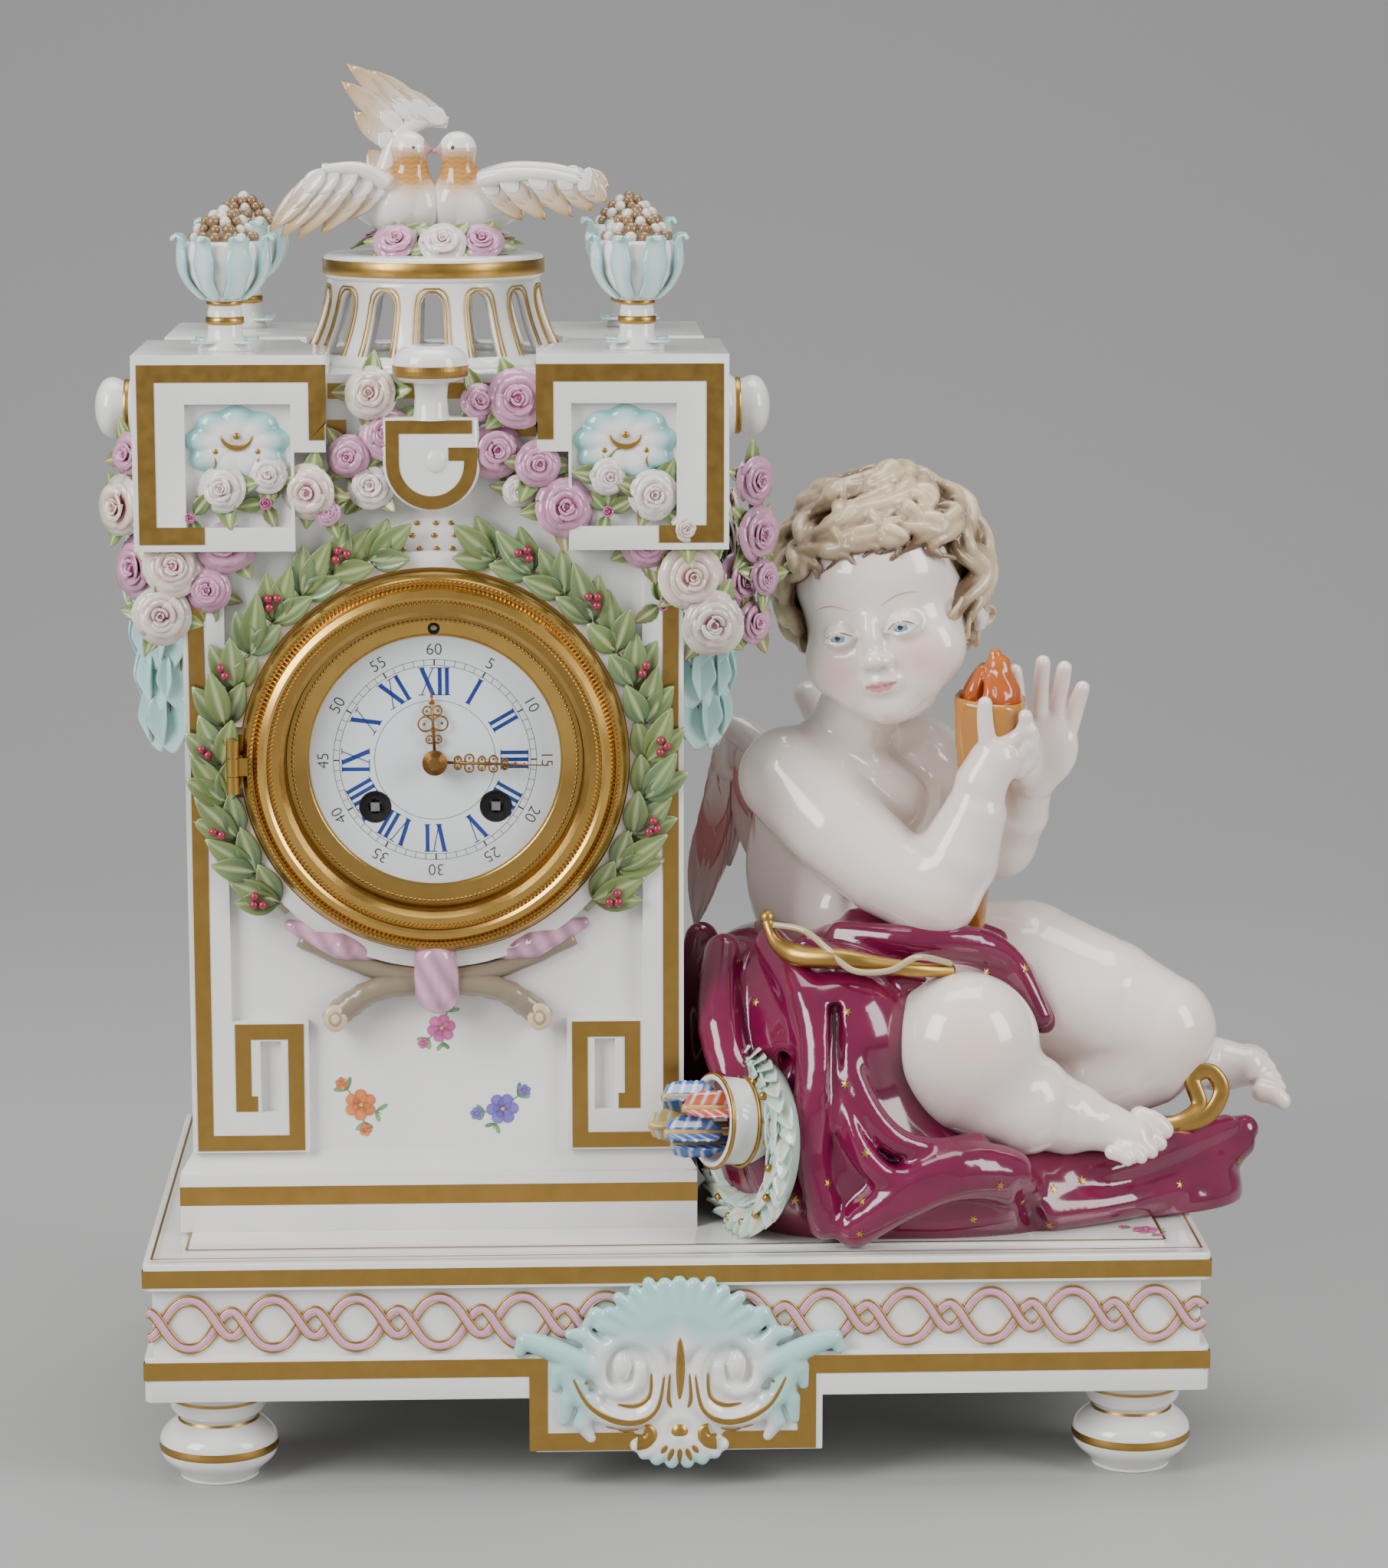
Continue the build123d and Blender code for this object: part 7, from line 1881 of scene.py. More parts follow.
# Three overlapping rows of feathers: share of the way to the tips, and width.
dove_rows = ((1.0, 7.6), (0.68, 7.0), (0.40, 6.4))


def wing_of(form, root, tips, normal):
    """Feathers that fan from a root line to a line of tips, in overlapping rows."""
    for row, (reach, width) in enumerate(dove_rows):
        for k, tip in enumerate(tips):
            share = k / (len(tips) - 1)
            base = root[int(round(share * (len(root) - 1)))] + normal * 0.7 * row
            heading = tip - base
            shade = dove_white if row else dove_white + (dove_ochre - dove_white) * 0.3
            leaf(form, base, heading, normal, np.linalg.norm(heading) * reach, width, shade,
                 dove_ochre if row < 2 else dove_white, curl=0.05, cup=0.3, rows=8, columns=5, blunt=1.05,
                 ridge=0.08)


def dove_colours(points, neck, head, beak):
    """A white bird with a scaled orange collar, a pale cap and a pink beak."""
    paint = np.tile(dove_white, (len(points), 1))
    collar = np.exp(-(((points - place(*neck[1])) / (8.5, 12, 8.5)) ** 2).sum(1) * 1.1)
    scales = 0.86 + 0.14 * np.sin(points[:, 2] * 3.6 + np.sin(points[:, 0] * 1.8))
    paint += (dove_orange * scales[:, None] - dove_white) * np.clip(collar * 1.9, 0, 1)[:, None]
    from_head = points - place(*head)
    paint[(from_head[:, 2] > 0.3) & (np.linalg.norm(from_head, axis=1) < 7.0)] = dove_white * 1.02
    paint[np.linalg.norm(points - place(*beak), axis=1) < 4.6] = beak_pink
    return paint


def make_dove(name, node, side, body, neck, head, beak, wings):
    ends = (body[0][0], head[0])
    clay = Clay(place(min(ends) - 30, -22, 410), place(max(ends) + 30, 22, 470), 0.5)
    clay.limb(body, (8.6, 11.2, 9.0, 4.6), 1)
    clay.limb(neck, (8.2, 6.2, 5.6), 5)
    clay.add(egg(place(*head), (6.3, 5.6, 5.7)), 2.5)
    clay.add(chain([place(*head) + (-side * 4.5, 0, -0.5), place(*beak)], (2.2, 0.7)), 1.5)
    points, faces = clay.skin()
    form, feathers = Form(), Form()
    form.add(points, faces, dove_colours(points, neck, head, beak))
    for across in (-1, 1):
        form.add(*ball(place(*head) + (-side * 1.6, across * 5.1, 0.2), 0.85), dove_eye)
    form.make(name + "_body", painted, "dove_porcelain", stands_for=(node,))
    for root, tips, normal in wings:
        line = curve_through(places(*root), 6)
        wing_of(feathers, line, places(*tips), unit(normal))
        feathers.add(*tube(line, np.linspace(4.2, 1.8, len(line)), 10, 0.7), dove_white)
    thickened(feathers.make(name + "_wings", painted, "dove_porcelain"), 0.9)


def make_doves():
    """Two doves face to face. Each wing has a root line, the tips of its feathers and its facing side."""
    make_dove("left_dove", "dove_left", -1,
              ((-86, -2, 427), (-93, -1, 428), (-105, 0, 433), (-118, 2, 438)),
              ((-88, -1, 433), (-88.5, -1.5, 440), (-88.5, -2, 445)), (-89.0, -2, 447.8), (-81.2, -2, 447.2),
              ((((-97, -9, 436), (-106, -12, 441), (-117, -13, 441)),
                ((-112, -12, 424), (-119, -13, 419.5), (-127, -13, 418), (-133, -12, 418), (-137, -11, 420)),
                (-0.1, -1, 0.25)),
               (((-97, 6, 438), (-92, 9, 452), (-84, 10, 457), (-76, 10, 456)),
                ((-103, 8, 447), (-108, 8, 460), (-112, 8, 470), (-110, 8, 476), (-103, 8, 474),
                 (-95, 8, 468)),
                (0.15, -1, -0.1))))
    make_dove("right_dove", "dove_right", 1,
              ((-74, -1, 427), (-67, 0, 427), (-55, 1, 432), (-45, 2, 435)),
              ((-72.5, -1, 433), (-72, -1, 440), (-72, -1.5, 445)), (-72.2, -2, 447.8), (-80.8, -2, 446.6),
              ((((-64, -8, 437), (-54, -11, 439), (-42, -12, 439), (-31, -12, 437)),
                ((-50, -13, 424), (-42, -14, 424), (-33, -14, 425), (-26, -13, 427), (-21, -12, 430)),
                (0.05, -1, 0.3)),
               (((-64, 8, 437), (-54, 10, 440), (-40, 11, 440), (-30, 11, 438)),
                ((-48, 13, 428), (-38, 13, 427), (-28, 12, 430), (-21, 11, 432), (-20, 11, 434)),
                (0.05, -1, 0.4))))


urn_profile = ((0.1, 0), (9.2, 0), (9.4, 1.2), (7.4, 2.6), (6.1, 5), (5.8, 7), (5.8, 13), (5.2, 15.4),
               (6.2, 17), (10.2, 20.4), (13.0, 25.5), (13.8, 31), (13.2, 35), (12.2, 36.6), (11, 36.2),
               (0.1, 36))
urn_leaf = ((6.6, 17.4), (11.0, 21.2), (13.9, 26.5), (14.5, 32), (14.6, 36.5), (16.2, 38.4),
            (17.0, 36.8))
# Rings of berries from the rim up: radius, height over the foot and count.
berry_rings = ((10.2, 37.6, 14), (8.4, 40.4, 12), (6.0, 42.8, 9), (3.4, 44.8, 6), (0.2, 46.2, 1))
berry_pale, berry_dark = (0.72, 0.66, 0.56), (0.24, 0.14, 0.06)


def outwards(count):
    """Level directions all round, with none straight to the front."""
    angles = [2 * PI * (k + 0.5) / count for k in range(count)]
    return [np.array([math.sin(angle), -math.cos(angle), 0]) for angle in angles]


def add_cup(cups, gilt, base):
    centre, foot = base[:2], base[2]
    cups.add(*turned([(r, foot + z) for r, z in urn_profile], centre, "z", 48))
    for low, high, r in ((8.6, 11.4, 5.95), (15.0, 16.8, 5.6)):
        gilt.add(*turned([(r - 0.3, foot + low), (r + 0.5, foot + low + 0.4), (r + 0.5, foot + high - 0.4),
                          (r - 0.3, foot + high)], centre, "z", 36))


def add_urn_leaves(leaves, gilt, base):
    for k, out in enumerate(outwards(8)):
        add_acanthus(leaves, base, out, 6.4 if k % 2 else 8.2)
        rib = [base + out * (r + 0.9) + (0, 0, z) for r, z in urn_leaf[:4]]
        gilt.add(*tube(rib, [0.75, 0.6, 0.35, 0.1], 6))
    for out in outwards(4):
        leaf(leaves, base + out * 5 + (0, 0, 2.6), out + (0, 0, -0.05), (0, 0, 1), 10, 6, aqua_pale, aqua,
             curl=-0.12, cup=0.2, rows=8, columns=5)


def add_urn_berries(berries, base, rng):
    for ring, (r, z, count) in enumerate(berry_rings):
        for k in range(count):
            angle = 2 * PI * (k + 0.5 * ring) / count
            shade = berry_pale if rng.random() < 0.35 else berry_dark
            spot = base + (r * math.cos(angle), r * math.sin(angle), z)
            berries.add(*ball(spot, rng.uniform(1.7, 2.3), 8, 6), shade)
    heap = [(11.5, base[2] + 36), (9, base[2] + 39.5), (5, base[2] + 43), (0.1, base[2] + 45)]
    berries.add(*turned(heap, base[:2], "z", 20), (0.22, 0.14, 0.08))


def make_urns():
    """Four cups on the case's corners, with leaves round them and a heap of berries in each."""
    cups, leaves, gilt, berries = Form(), Form(), Form(), Form()
    rng = random.Random(9)
    for x in (-150.0, -12.0):
        for y in (-47.0, 62.0):
            base = place(x, y, case_top)
            add_cup(cups, gilt, base)
            add_urn_leaves(leaves, gilt, base)
            add_urn_berries(berries, base, rng)
    cups.make("urn_cups", white, "white_porcelain", stands_for=("urn_finials",))
    thickened(leaves.make("urn_leaves", painted, "aqua_porcelain"), 0.8)
    gilt.make("urn_gilding", gold, "gilt_porcelain")
    berries.make("urn_berries", painted, "white_porcelain")


def add_acanthus(form, base, out, width):
    """A leaf that follows the urn's side and curls at its top."""
    side = np.cross(out, (0, 0, 1.0))
    line = curve_through(urn_leaf, 3)
    rows, columns = len(line), 7

    def spot(i, j):
        s, u = i / (rows - 1), 2 * j / (columns - 1) - 1
        half = 0.5 * width * math.sin(PI * min(0.12 + 0.88 * s, 0.97)) ** 0.6 * (1 + 0.12 * math.sin(s * 19))
        shade = min(1.0, 0.25 + 0.9 * abs(u) ** 1.5 + 0.5 * max(0, s - 0.6))
        point = base + out * (line[i][0] + 0.5 + 0.9 * (1 - u * u)) + side * half * u + (0, 0, line[i][1])
        return point, aqua_pale + (aqua - aqua_pale) * shade

    add_sheet(form, rows, columns, spot)


# Relief ornament of the case and the plinth

# A darker aqua, painted shade in hollows: between the shells' lobes, in the core of the husk bundles and on
# the lower parts of the cartouche.
shaded_aqua = (0.20, 0.50, 0.50)
glaze_white = (0.82, 0.81, 0.78)
towards_viewer = (0, -1.0, 0)
side_relief_y = -24.7
husk_x = 86.0


def between(first, second, share):
    """A colour on the way from one colour to another."""
    share = np.clip(share, 0, 1)[..., None]
    return np.asarray(first) * (1 - share) + np.asarray(second) * share


def case_at(u, z, y=0.0):
    """A row frame place from the distance to the case's middle line."""
    return np.array([case_x + u, y, z])


def arc(centre, radius, first, last, steps):
    angles = np.radians(np.linspace(first, last, steps))
    return [(centre[0] + radius * math.cos(a), centre[1] + radius * math.sin(a)) for a in angles]


keystone_cap = ((0.0, 373.2), (7.4, 373.4), (10.6, 374.4), (12.2, 376.4), (12.4, 379.4), (11.8, 382.2),
                (9.6, 384.5), (6.0, 385.6), (0.0, 385.7))
keystone_neck = ((6.8, 360.6), (5.8, 362.4), (5.4, 368.0), (5.8, 372.0), (7.2, 374.6))
keystone_y = -70.0
plaque_middle, plaque_half, plaque_y = 348.5, 16.0, -68.5
bowl_middle = (0.0, 346.2)


def make_keystone():
    """A round cap on a short neck over a scrolled plaque."""
    form = Form()
    form.add(*turned(curve_through(keystone_cap, 4), (case_x, keystone_y), "z", 64), glaze_white)
    form.add(*turned(keystone_neck, (case_x, keystone_y + 5.5), "z", 48), glaze_white)
    outline = [(15.6, 361.4), (-16.0, 361.4)] + arc(bowl_middle, 16.2, 180, 360, 28)
    steps = ((0.0, body_front), (0.0, -66.4), (0.5, -67.6), (1.4, -68.3), (3.0, plaque_y),
             (plaque_half, plaque_y))
    rows = []
    for inset, y in steps:
        shrink = 1 - inset / plaque_half
        rows += [(case_x + u * shrink, y, plaque_middle + (z - plaque_middle) * shrink) for u, z in outline]
    form.add(rows, grid_faces(len(steps), len(outline), False, True), glaze_white)
    form.add(*ball(case_at(1.5, 347.0, -68.2), 3.4, 20, 11, (1.0, 0.45, 1.2)), glaze_white)
    form.make("keystone", white, "white_porcelain", stands_for=("keystone_bracket",))
    gilding = Form()
    scroll = [(13.6, 358.4), (-13.0, 358.4), (-13.0, 346.2)] + arc(bowl_middle, 13.0, 192, 348, 22)
    scroll += [(13.0, 346.2), (13.0, 349.4), (5.6, 349.4)]
    run_of_bands(gilding, [(case_x + u, z) for u, z in scroll], 4.4, plaque_y)
    ring = [(12.05, 375.4), (12.5, 376.4), (12.66, 377.6), (12.62, 379.2)]
    gilding.add(*turned(ring, (case_x, keystone_y), "z", 64))
    gilding.make("keystone_gilding", gold, "white_porcelain", smooth=False)


pad_middle = (-1.0, 320.6)
pad_radii = (15.0, 2.6, 7.2)
pad_rows = ((325.3, (-5.1, 1.2, 6.2)), (321.3, (-12.6, -6.8, 0.5, 7.4, 11.4)),
            (316.8, (-10.0, -4.3, 1.2, 6.4)))


def make_lozenge():
    """A small pad with rows of gold dots between the keystone and the bezel."""
    pad, dots = Form(), Form()
    back = body_front + 0.4
    pad.add(*ball(case_at(*pad_middle, back), 1.0, 32, 13, pad_radii), glaze_white)
    for z, row in pad_rows:
        for u in row:
            out, up = (u - pad_middle[0]) / pad_radii[0], (z - pad_middle[1]) / pad_radii[2]
            depth = pad_radii[1] * math.sqrt(max(0.05, 1 - out ** 2 - up ** 2))
            dots.add(*ball(case_at(u, z, back - depth), 1.15, 12, 7, (1.0, 0.45, 0.8)))
    pad.make("dotted_pad", white, "white_porcelain")
    dots.make("dotted_pad_gilding", gold, "white_porcelain")


shell_back = -63.6
shell_front = shell_back - 2.6


def add_shell(form, centre):
    rows, columns = 15, 90

    def spot(i, j):
        s, angle = i / (rows - 1), 2 * PI * j / columns
        lobe = abs(math.cos(4.5 * (angle - PI / 2)))
        reach = s * (0.97 + 0.11 * lobe * s)
        lift = 1.0 + 1.5 * math.sin(PI * min(s, 0.92)) + 0.9 * (lobe - 0.5) * s - 2.2 * max(0, s - 0.9) / 0.1
        point = (centre[0] + 16.3 * reach * math.cos(angle), shell_back - max(lift, 0.0),
                 centre[2] + 12.2 * reach * math.sin(angle))
        # Painted shade: darker aqua in the grooves between the lobes.
        tinted = between(shaded_aqua, aqua, np.array(lobe))
        return point, between(glaze_white, tinted, np.array((s - 0.55) / 0.3))

    add_sheet(form, rows, columns, spot, around=True)


def gild_shell(form, centre):
    """Three gold dots, a small curl at each side and a bowed line below."""
    x, z = centre[0], centre[2]
    form.add(*ball((x, shell_front, z + 3.2), 1.2, 12, 7, (1, 0.5, 1)))
    for tip in (-1, 1):
        form.add(*ball((x + tip * 7.0, shell_front + 0.1, z - 2.0), 1.0, 12, 7, (1, 0.5, 1)))
        curl = [(x + tip * (9.4 + 2.4 * math.cos(a)), shell_front + 0.5, z - 5.4 + 2.8 * math.sin(a))
                for a in np.radians(np.linspace(60, 230, 12))]
        form.add(*tube(curl, 0.25 + 0.4 * np.sin(np.linspace(0, PI, 12)), 8, 0.6))
    bow = [(u, shell_front, w) for u, w in arc((x, z + 4.6), 5.4, 195, 345, 18)]
    form.add(*tube(bow, 0.2 + 0.75 * np.sin(np.linspace(0, PI, 18)), 8, 0.5, towards_viewer))


def make_paterae():
    """Scalloped fan shells in the ear recesses."""
    shells, gilding = Form(), Form()
    for side in (-1, 1):
        centre = case_at(side * 64.5, 352.2)
        add_shell(shells, centre)
        gild_shell(gilding, centre)
    shells.make("shells", painted, "aqua_porcelain", stands_for=("shell_paterae",))
    gilding.make("shell_gilding", gold, "aqua_porcelain")


knob_profile = ((11.0, 0), (11.0, 3.4), (10.2, 5.0), (9.3, 6.4), (9.1, 8.0), (9.8, 9.6), (10.4, 11.4),
                (10.2, 13.4), (8.9, 15.4), (6.2, 17.0), (3.0, 17.9), (0.0, 18.1))


def make_volutes():
    """Turned knobs on the two sides of the upper block, each with gold rings."""
    knobs, rings = Form(), Form()
    for side in (-1, 1):
        base, outward = case_at(side * 96.8, 361.3, side_relief_y), (side, 0, 0)
        knobs.add(*spun(curve_through(knob_profile, 4), base, outward, 64), glaze_white)
        for radius, height, width in ((9.45, 6.9, 1.9), (11.15, 1.9, 1.6)):
            ring = [(radius, height - width / 2), (radius + 0.25, height - width / 4),
                    (radius + 0.25, height + width / 4), (radius, height + width / 2)]
            rings.add(*spun(ring, base, outward, 64))
    knobs.make("volutes", white, "white_porcelain", stands_for=("side_volutes",))
    rings.make("volute_gilding", gold, "white_porcelain")


def add_tier(leaves, veins, side, tier, rng):
    """One ring of hanging leaves, each with a gilt vein."""
    count = 7 - tier // 2
    for k in range(count):
        angle = math.radians(-86 + 172 * (k + 0.5 * (tier % 2)) / (count - 0.5)) + rng.uniform(-0.06, 0.06)
        out = np.array([side * math.cos(angle), math.sin(angle), 0.0])
        top = case_at(side * husk_x, 312.0 - 14.5 * tier, side_relief_y)
        base = top + out * ((18.5 - 2.0 * tier) * 0.8)
        heading = np.array([0, 0, -1.0]) + out * 0.16
        leaf(leaves, base, heading, out, 25.0, 17.0, aqua * rng.uniform(0.75, 1.05), (0.50, 0.70, 0.66),
             curl=0.12, cup=0.40, teeth=3, rows=11, blunt=1.0, vein=(0.44, 0.68, 0.62), ridge=0.03)
        low = base + heading * 6 + out * 0.3
        stroke = [low + np.array([0, 0, -11.0]) * s + out * (0.9 - 1.1 * s) for s in np.linspace(0, 1, 7)]
        veins.add(*tube(stroke, 0.15 + 0.4 * np.sin(np.linspace(0.1, PI, 7)), 6))


def make_husks():
    """Bundles of hanging leaves on the case's two sides, below the roses."""
    rng = random.Random(5)
    leaves, veins = Form(), Form()
    for side in (-1, 1):
        for tier in range(4):
            add_tier(leaves, veins, side, tier, rng)
        veins.add(*ball(case_at(side * husk_x, 262.0, side_relief_y), 2.0))
        core = case_at(side * husk_x, 275.0, side_relief_y)
        # The core among the leaves is painted in the darker aqua, as shade.
        leaves.add(*ball(core, 1.0, 20, 13, (8.5, 9.0, 14.0)), shaded_aqua)
    thickened(leaves.make("husks", painted, "aqua_porcelain", stands_for=("husk_pendants",)), 1.0, 1)
    veins.make("husk_gilding", hand_gilt, "aqua_porcelain")


twist_pitch = 27.95
frieze_middle = 59.6


def make_guilloche():
    """An interlaced pink ribbon with gold edges along the frieze."""
    ribbon, edges = Form(), Form()
    face = plinth_front + 3.0
    for start, end, crest in ((-178.6, -18.0, -80.7), (18.0, 178.6, 77.5)):
        x = np.arange(start, end, 0.9)
        turn = 2 * PI * (x - crest) / twist_pitch
        swing = 6.4 * np.cos(turn) + 2.9 - 0.9 * np.cos(2 * turn)
        for strand in (-1, 1):
            y = face - 0.55 - strand * 0.45 * np.sin(turn)
            line = np.stack([middle_x + x, y, frieze_middle + strand * swing], -1)
            ribbon.add(*tube(line, 1.55, 10, 0.55, towards_viewer), ribbon_pink)
            slope = np.gradient(line, axis=0)
            slope /= np.linalg.norm(slope, axis=1)[:, None]
            across = np.stack([-slope[:, 2], np.zeros(len(x)), slope[:, 0]], -1)
            for edge in (-1, 1):
                edges.add(*tube(line + across * edge * 1.5 + (0, -0.35, 0), 0.42, 6))
    ribbon.make("guilloche", painted, "pink_gilt_porcelain", stands_for=("guilloche_relief",))
    edges.make("guilloche_gilding", gold, "pink_gilt_porcelain")


def front_at(x, z, lift=0.0):
    """A place on the plinth's front. The lift comes out towards the viewer."""
    return np.array([middle_x + x, plinth_front - lift, z])


def front_line(points, lift):
    return [front_at(x, z, lift) for x, z in points]


cartouche_spiral = ((38, 43), (33, 33), (24, 26.5), (14, 26), (7.5, 32), (6, 42), (9.5, 51),
                    (17.5, 54.5), (25, 50.5), (27.5, 43), (24.5, 36.5), (18.5, 35), (14, 38.5),
                    (13.2, 44))
cartouche_wing = ((30, 44), (38, 48), (46, 51.5), (52, 53.5), (54, 49.5))
cartouche_lobes = (((27, 50), (32, 55), (37, 55.5)), ((22, 58), (28, 62), (31, 59)),
                   ((36, 46), (41, 43), (42, 37)), ((34, 38), (38, 32), (39, 25)),
                   ((29, 32), (33, 24), (30, 19)))


def shape_cartouche():
    clay = Clay(front_at(-62, 5, 6.0), front_at(62, 82, -4.0), 0.55)
    clay.add(egg(front_at(0, 46, -1.5), (30, 3.6, 27)))
    clay.add(egg(front_at(0, 29, -1.0), (35, 2.4, 9.5)))
    clay.add(egg(front_at(0, 21, -0.5), (13, 2.6, 9)))
    for angle in range(-72, 73, 12):
        a = math.radians(angle)
        reach = 22.8 + 4.2 * min(1, abs(angle) / 55) + (0.0 if angle % 24 else 1.0)
        tip = (reach * math.sin(a), 50 + reach * math.cos(a))
        half = (0.55 * reach * math.sin(a), 50 + 0.55 * reach * math.cos(a))
        clay.add(chain(front_line([(0, 50), half], 0.8) + front_line([tip], 1.4), (2.4, 3.6, 2.1)), 1.8)
    for a in np.radians(range(-70, 71, 20)):
        tip = (15.5 * math.sin(a), 19.5 - 9.3 * math.cos(a))
        clay.add(chain(front_line([(0, 19.5), tip], 0.6), (2.2, 2.3)), 1.5)
    for side in (-1, 1):
        spiral = [front_at(side * x, z, 0.6 + 0.12 * k) for k, (x, z) in enumerate(cartouche_spiral)]
        spiral = curve_through(spiral, 4)[::2]
        clay.add(chain(spiral, np.linspace(3.4, 1.7, len(spiral))), 1.2)
        clay.add(egg(front_at(side * 19.5, 44.5, 1.6), (3.0, 3.0, 5.2)), 0.8)
        wing = front_line([(side * x, z) for x, z in cartouche_wing], 0.2)
        clay.add(chain(wing, (4.4, 4.2, 3.8, 3.2, 2.0)), 2.0)
        for lobe in cartouche_lobes:
            clay.add(chain(front_line([(side * x, z) for x, z in lobe], 0.0), (3.4, 3.0, 1.8)), 1.6)
    ring = [front_at(5.4 * math.cos(a), 21.4 + 5.4 * math.sin(a), 1.0) for a in np.linspace(0, 2 * PI, 17)]
    clay.add(chain(ring, 1.9), 1.0)
    return clay.skin()


def make_cartouche():
    """The shell and leaf relief over the dropped panel, with its gilding."""
    points, faces = shape_cartouche()
    points[:, 1] = np.clip(points[:, 1], plinth_front - 4.98, plinth_front + 3.2)
    x, z = points[:, 0] - middle_x, points[:, 2]
    depth = plinth_front - points[:, 1]
    crest = (z - 47) / 12 - 0.5 * np.exp(-(x / 3.5) ** 2)
    sides = (np.abs(x) - 25) / 8 - np.clip((30 - z) / 16, 0, 0.6)
    foot = (14.5 - z) / 3.0
    share = np.clip(np.maximum(np.maximum(crest, sides), foot), 0, 0.92)
    # Painted shade: the less a part stands out, the darker its aqua.
    colour = between(glaze_white, between(aqua, shaded_aqua, (1.4 - depth) / 4), share)
    made = piece("cartouche", points, faces, painted, "aqua_porcelain",
                 stands_for=("plinth_cartouche",), paint=colour)
    modify(made, "SMOOTH", iterations=3, factor=0.6)
    gild_cartouche(surface_of(points, faces))


# Gold lines on each side of the cartouche, with their widths.
cartouche_lines = (
    (((36, 41), (31, 32), (23, 26.5), (14, 25.5), (7.5, 30.5), (5.2, 42)), 0.8),
    (((9.5, 42), (10, 34), (15, 30.5), (21, 31)), 0.7), (((14, 22.5), (19, 21.5), (25, 23)), 0.5),
    (((3.4, 42), (4.0, 34), (2.8, 30)), 0.6), (((30, 37), (29.6, 36)), 0.7),
    (((32, 39.5), (31.4, 38.4)), 0.7))
cartouche_curl = ((13.5, 17.8), (10.8, 18.0), (9.0, 19.6), (9.2, 21.8), (11.0, 22.4))


def cartouche_strokes():
    strokes = [([(0, 55), (0.3, 44), (0, 33)], 1.3)]
    for k in (-2, -1, 0, 1, 2):
        a = math.radians(26 * k)
        near, far = 4.6 + abs(k) * 0.5, 9.4 - abs(k) * 0.8
        strokes.append(([(near * math.sin(a), 17.5 - near * math.cos(a) + 3),
                         (far * math.sin(a), 17 - far * math.cos(a) + 2)], 0.7))
    for side in (-1, 1):
        strokes += [([(side * x, z) for x, z in line], width) for line, width in cartouche_lines]
    return strokes


def gild_cartouche(surface):
    form = Form()
    for line, width in cartouche_strokes():
        path = curve_through([front_at(x, z, 8.0) for x, z in line], 7)
        path = laid_on(surface, path, (0, 1.0, 0), 0.1)
        if len(path) > 3:
            radii = 0.2 + width * np.sin(np.linspace(0.15, PI - 0.1, len(path)))
            form.add(*tube(path, radii, 8, 0.35, towards_viewer))
    form.add(*ball(front_at(0, 21.4, 1.4), 3.3, 20, 11, (1, 0.75, 1)))
    for side in (-1, 1):
        line = curve_through([front_at(side * x - 1.0, z, 1.9) for x, z in cartouche_curl], 5)
        form.add(*tube(line, np.linspace(2.9, 2.0, len(line)), 12, 0.7, towards_viewer))
    form.make("cartouche_gilding", gold, "aqua_porcelain")


# Painted flower sprigs

leaf_paint = np.array([0.10, 0.26, 0.10])
flower_heart = (0.62, 0.46, 0.08)
sprig_pink, sprig_rust, sprig_violet = (0.55, 0.12, 0.30), (0.66, 0.20, 0.06), (0.18, 0.14, 0.50)
front_way = ((1.0, 0, 0), (0, 0, 1.0))
top_way = ((1.0, 0, 0), (0, 1.0, 0))
# Each sprig: its middle, its right and up, colour, size and heading.
sprig_places = ((case_at(1.1, 151.6, body_front), front_way, sprig_pink, 5.0, 70),
                (case_at(-26.8, 124.9, body_front), front_way, sprig_rust, 5.6, 130),
                (case_at(21.8, 123.0, body_front), front_way, sprig_violet, 5.6, 40),
                (place(161.0, -77.0, plinth_top), top_way, sprig_pink, 4.6, 150))


def dab(form, face, spot, heading, length, width, colour, lift):
    """One brush stroke: a thin lens of paint on a flat face. A face is an origin and its right and up."""
    origin, right, up = (np.asarray(part, float) for part in face)
    normal = np.cross(right, up)
    a = math.radians(heading)
    along = spoke_at(right, up, a)
    aside = up * math.cos(a) - right * math.sin(a)
    start = origin + right * spot[0] + up * spot[1]
    colour = np.array(colour)
    points, colours = [start + along * length * 0.5 + normal * (lift + 0.1)], [colour * 1.25]
    for turn in [2 * PI * k / 14 for k in range(14)]:
        reach = width * (0.5 + 0.16 * math.cos(turn))
        points.append(start + along * length * (0.5 + 0.5 * math.cos(turn)) + aside * reach * math.sin(turn)
                      + normal * lift)
        colours.append(colour * (0.75 + 0.35 * math.cos(turn)))
    form.add(points, [(0, k + 1, (k + 1) % 14 + 1) for k in range(14)], np.clip(colours, 0, 1))


def add_flower(form, face, middle, size, colour, lift, rng):
    """Two rings of petals round a yellow heart."""
    for ring, count, dim, raised in ((1.0, 6, 1.0, 0), (0.62, 5, 0.8, 0.12)):
        start = rng.uniform(0, 360)
        for k in range(count):
            shade = np.array(colour) * rng.uniform(0.75, 1.15) * dim
            dab(form, face, middle, start + 360 * k / count, size * ring, size * ring * 0.72, shade,
                lift + 0.05 * (k % 3) + raised)
    heart = (middle[0] - size * 0.14, middle[1])
    dab(form, face, heart, 0, size * 0.28, size * 0.24, flower_heart, lift + 0.3)


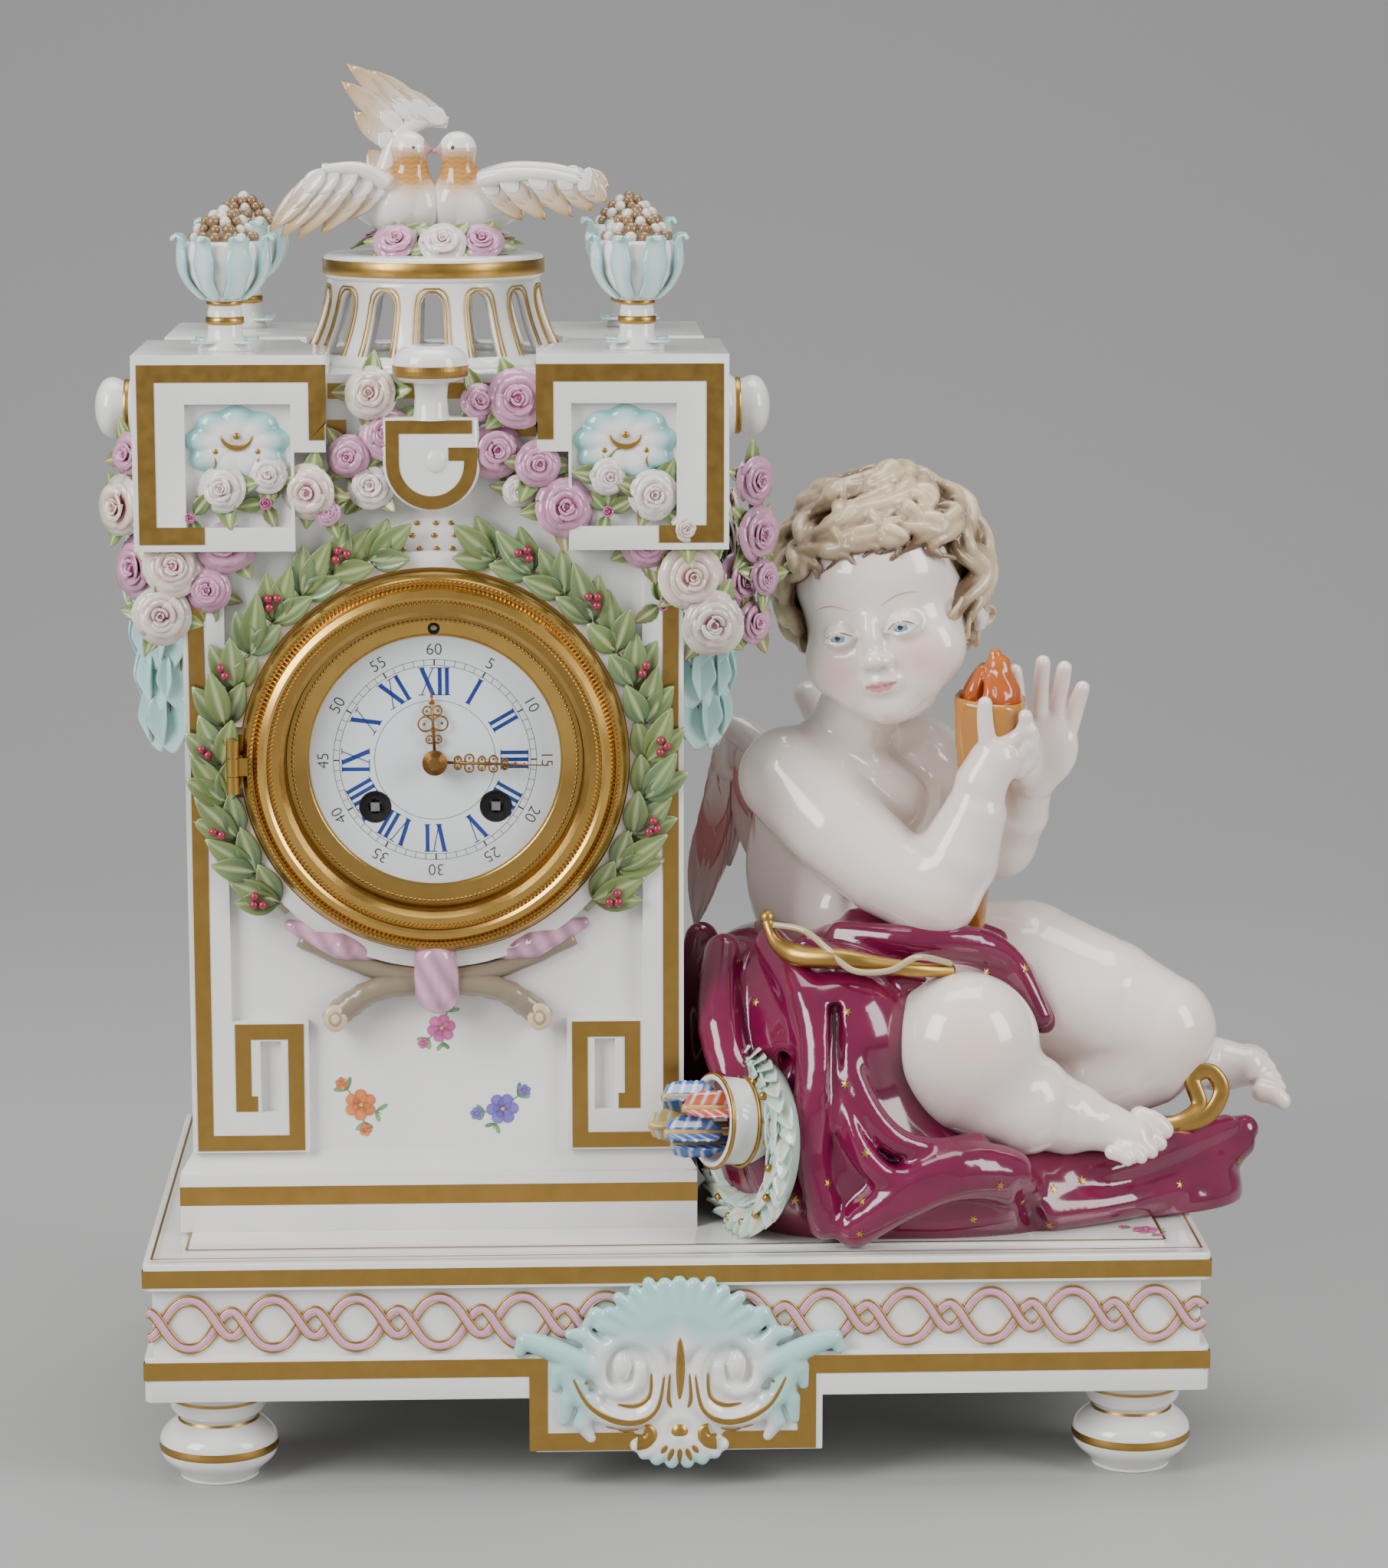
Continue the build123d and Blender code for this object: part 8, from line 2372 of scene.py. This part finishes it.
def add_sprig(form, face, colour, size, heading, rng):
    """A flower with three leafy stems, two of them with a bud."""
    for k, (turn, share) in enumerate(((heading, 1.75), (heading + 150, 1.6), (heading + 205, 1.45))):
        a = math.radians(turn)
        reach = size * share
        tip = (reach * math.cos(a), reach * math.sin(a))
        dab(form, face, (0, 0), turn, reach, 0.5, leaf_paint, 0.06)
        for side in (-1, 1):
            dab(form, face, (tip[0] * 0.7, tip[1] * 0.7), turn + side * rng.uniform(35, 60),
                size * rng.uniform(0.6, 0.9), 1.4, leaf_paint * rng.uniform(0.8, 1.6), 0.08)
        if k < 2:
            add_flower(form, face, tip, size * 0.42, colour, 0.1, rng)
    add_flower(form, face, (0, 0), size, colour, 0.12, rng)


def make_sprigs():
    """Small painted flowers on the case's front and the plinth's top."""
    form = Form()
    rng = random.Random(23)
    for origin, way, colour, size, heading in sprig_places:
        add_sprig(form, (origin, *way), colour, size, heading, rng)
    form.make("painted_sprigs", painted, "ribbon_porcelain", smooth=False)


# Stage

def make_stage():
    """A pale floor that sweeps up into the backdrop, with no line between them. It is laid out in metres."""
    reach, sweep, bend, top = 7.0, 1.6, 0.9, 8.0
    profile = [(-6.0, 0.0), (bend, 0.0)]
    profile += [(bend + sweep * math.sin(a), sweep * (1 - math.cos(a))) for a in np.linspace(0.1, PI / 2, 14)]
    profile.append((bend + sweep, top))
    points = [(x, y, z) for y, z in profile for x in (-reach, reach)]
    mesh = bpy.data.meshes.new("floor")
    mesh.from_pydata(points, [], grid_faces(len(profile), 2))
    mesh.materials.append(make_dull("pale_floor", (0.36, 0.36, 0.355), 0.6))
    mesh.shade_smooth()
    link("floor", mesh)


# The lamps are placed in metres.
lamp_target = (0.0, 0.0, 0.25)


def add_lamp(name, spot, size, power):
    data = bpy.data.lights.new(name, "AREA")
    data.shape = "RECTANGLE"
    data.size, data.size_y = size
    data.energy = power
    lamp = link(name, data)
    lamp.location = spot
    lamp.rotation_euler = (Vector(lamp_target) - Vector(spot)).to_track_quat("-Z", "Y").to_euler()


def make_lights():
    add_lamp("left_softbox", (-1.3, -1.0, 1.1), (0.8, 1.2), 36)
    add_lamp("right_softbox", (1.3, -0.8, 0.9), (0.6, 1.1), 20)
    add_lamp("top_softbox", (0.0, 0.2, 1.9), (1.4, 1.0), 22)
    world = bpy.data.worlds.new("studio")
    world.use_nodes = True
    background = world.node_tree.nodes["Background"]
    background.inputs["Color"].default_value = rgba((0.80, 0.80, 0.82))
    background.inputs["Strength"].default_value = 0.55
    bpy.context.scene.world = world


for make in (make_camera, finish_movement, make_case, make_plinth, make_feet, make_bezel, make_surround,
             make_dial, make_hands, make_child, make_hair, make_wings, make_cloth, make_torch, make_bow,
             make_quiver, make_loop, make_garlands, make_laurel, make_ribbon, make_dome, make_mound,
             make_doves, make_urns, make_keystone, make_lozenge, make_paterae, make_volutes, make_husks,
             make_guilloche, make_cartouche, make_sprigs, make_stage, make_lights):
    make()
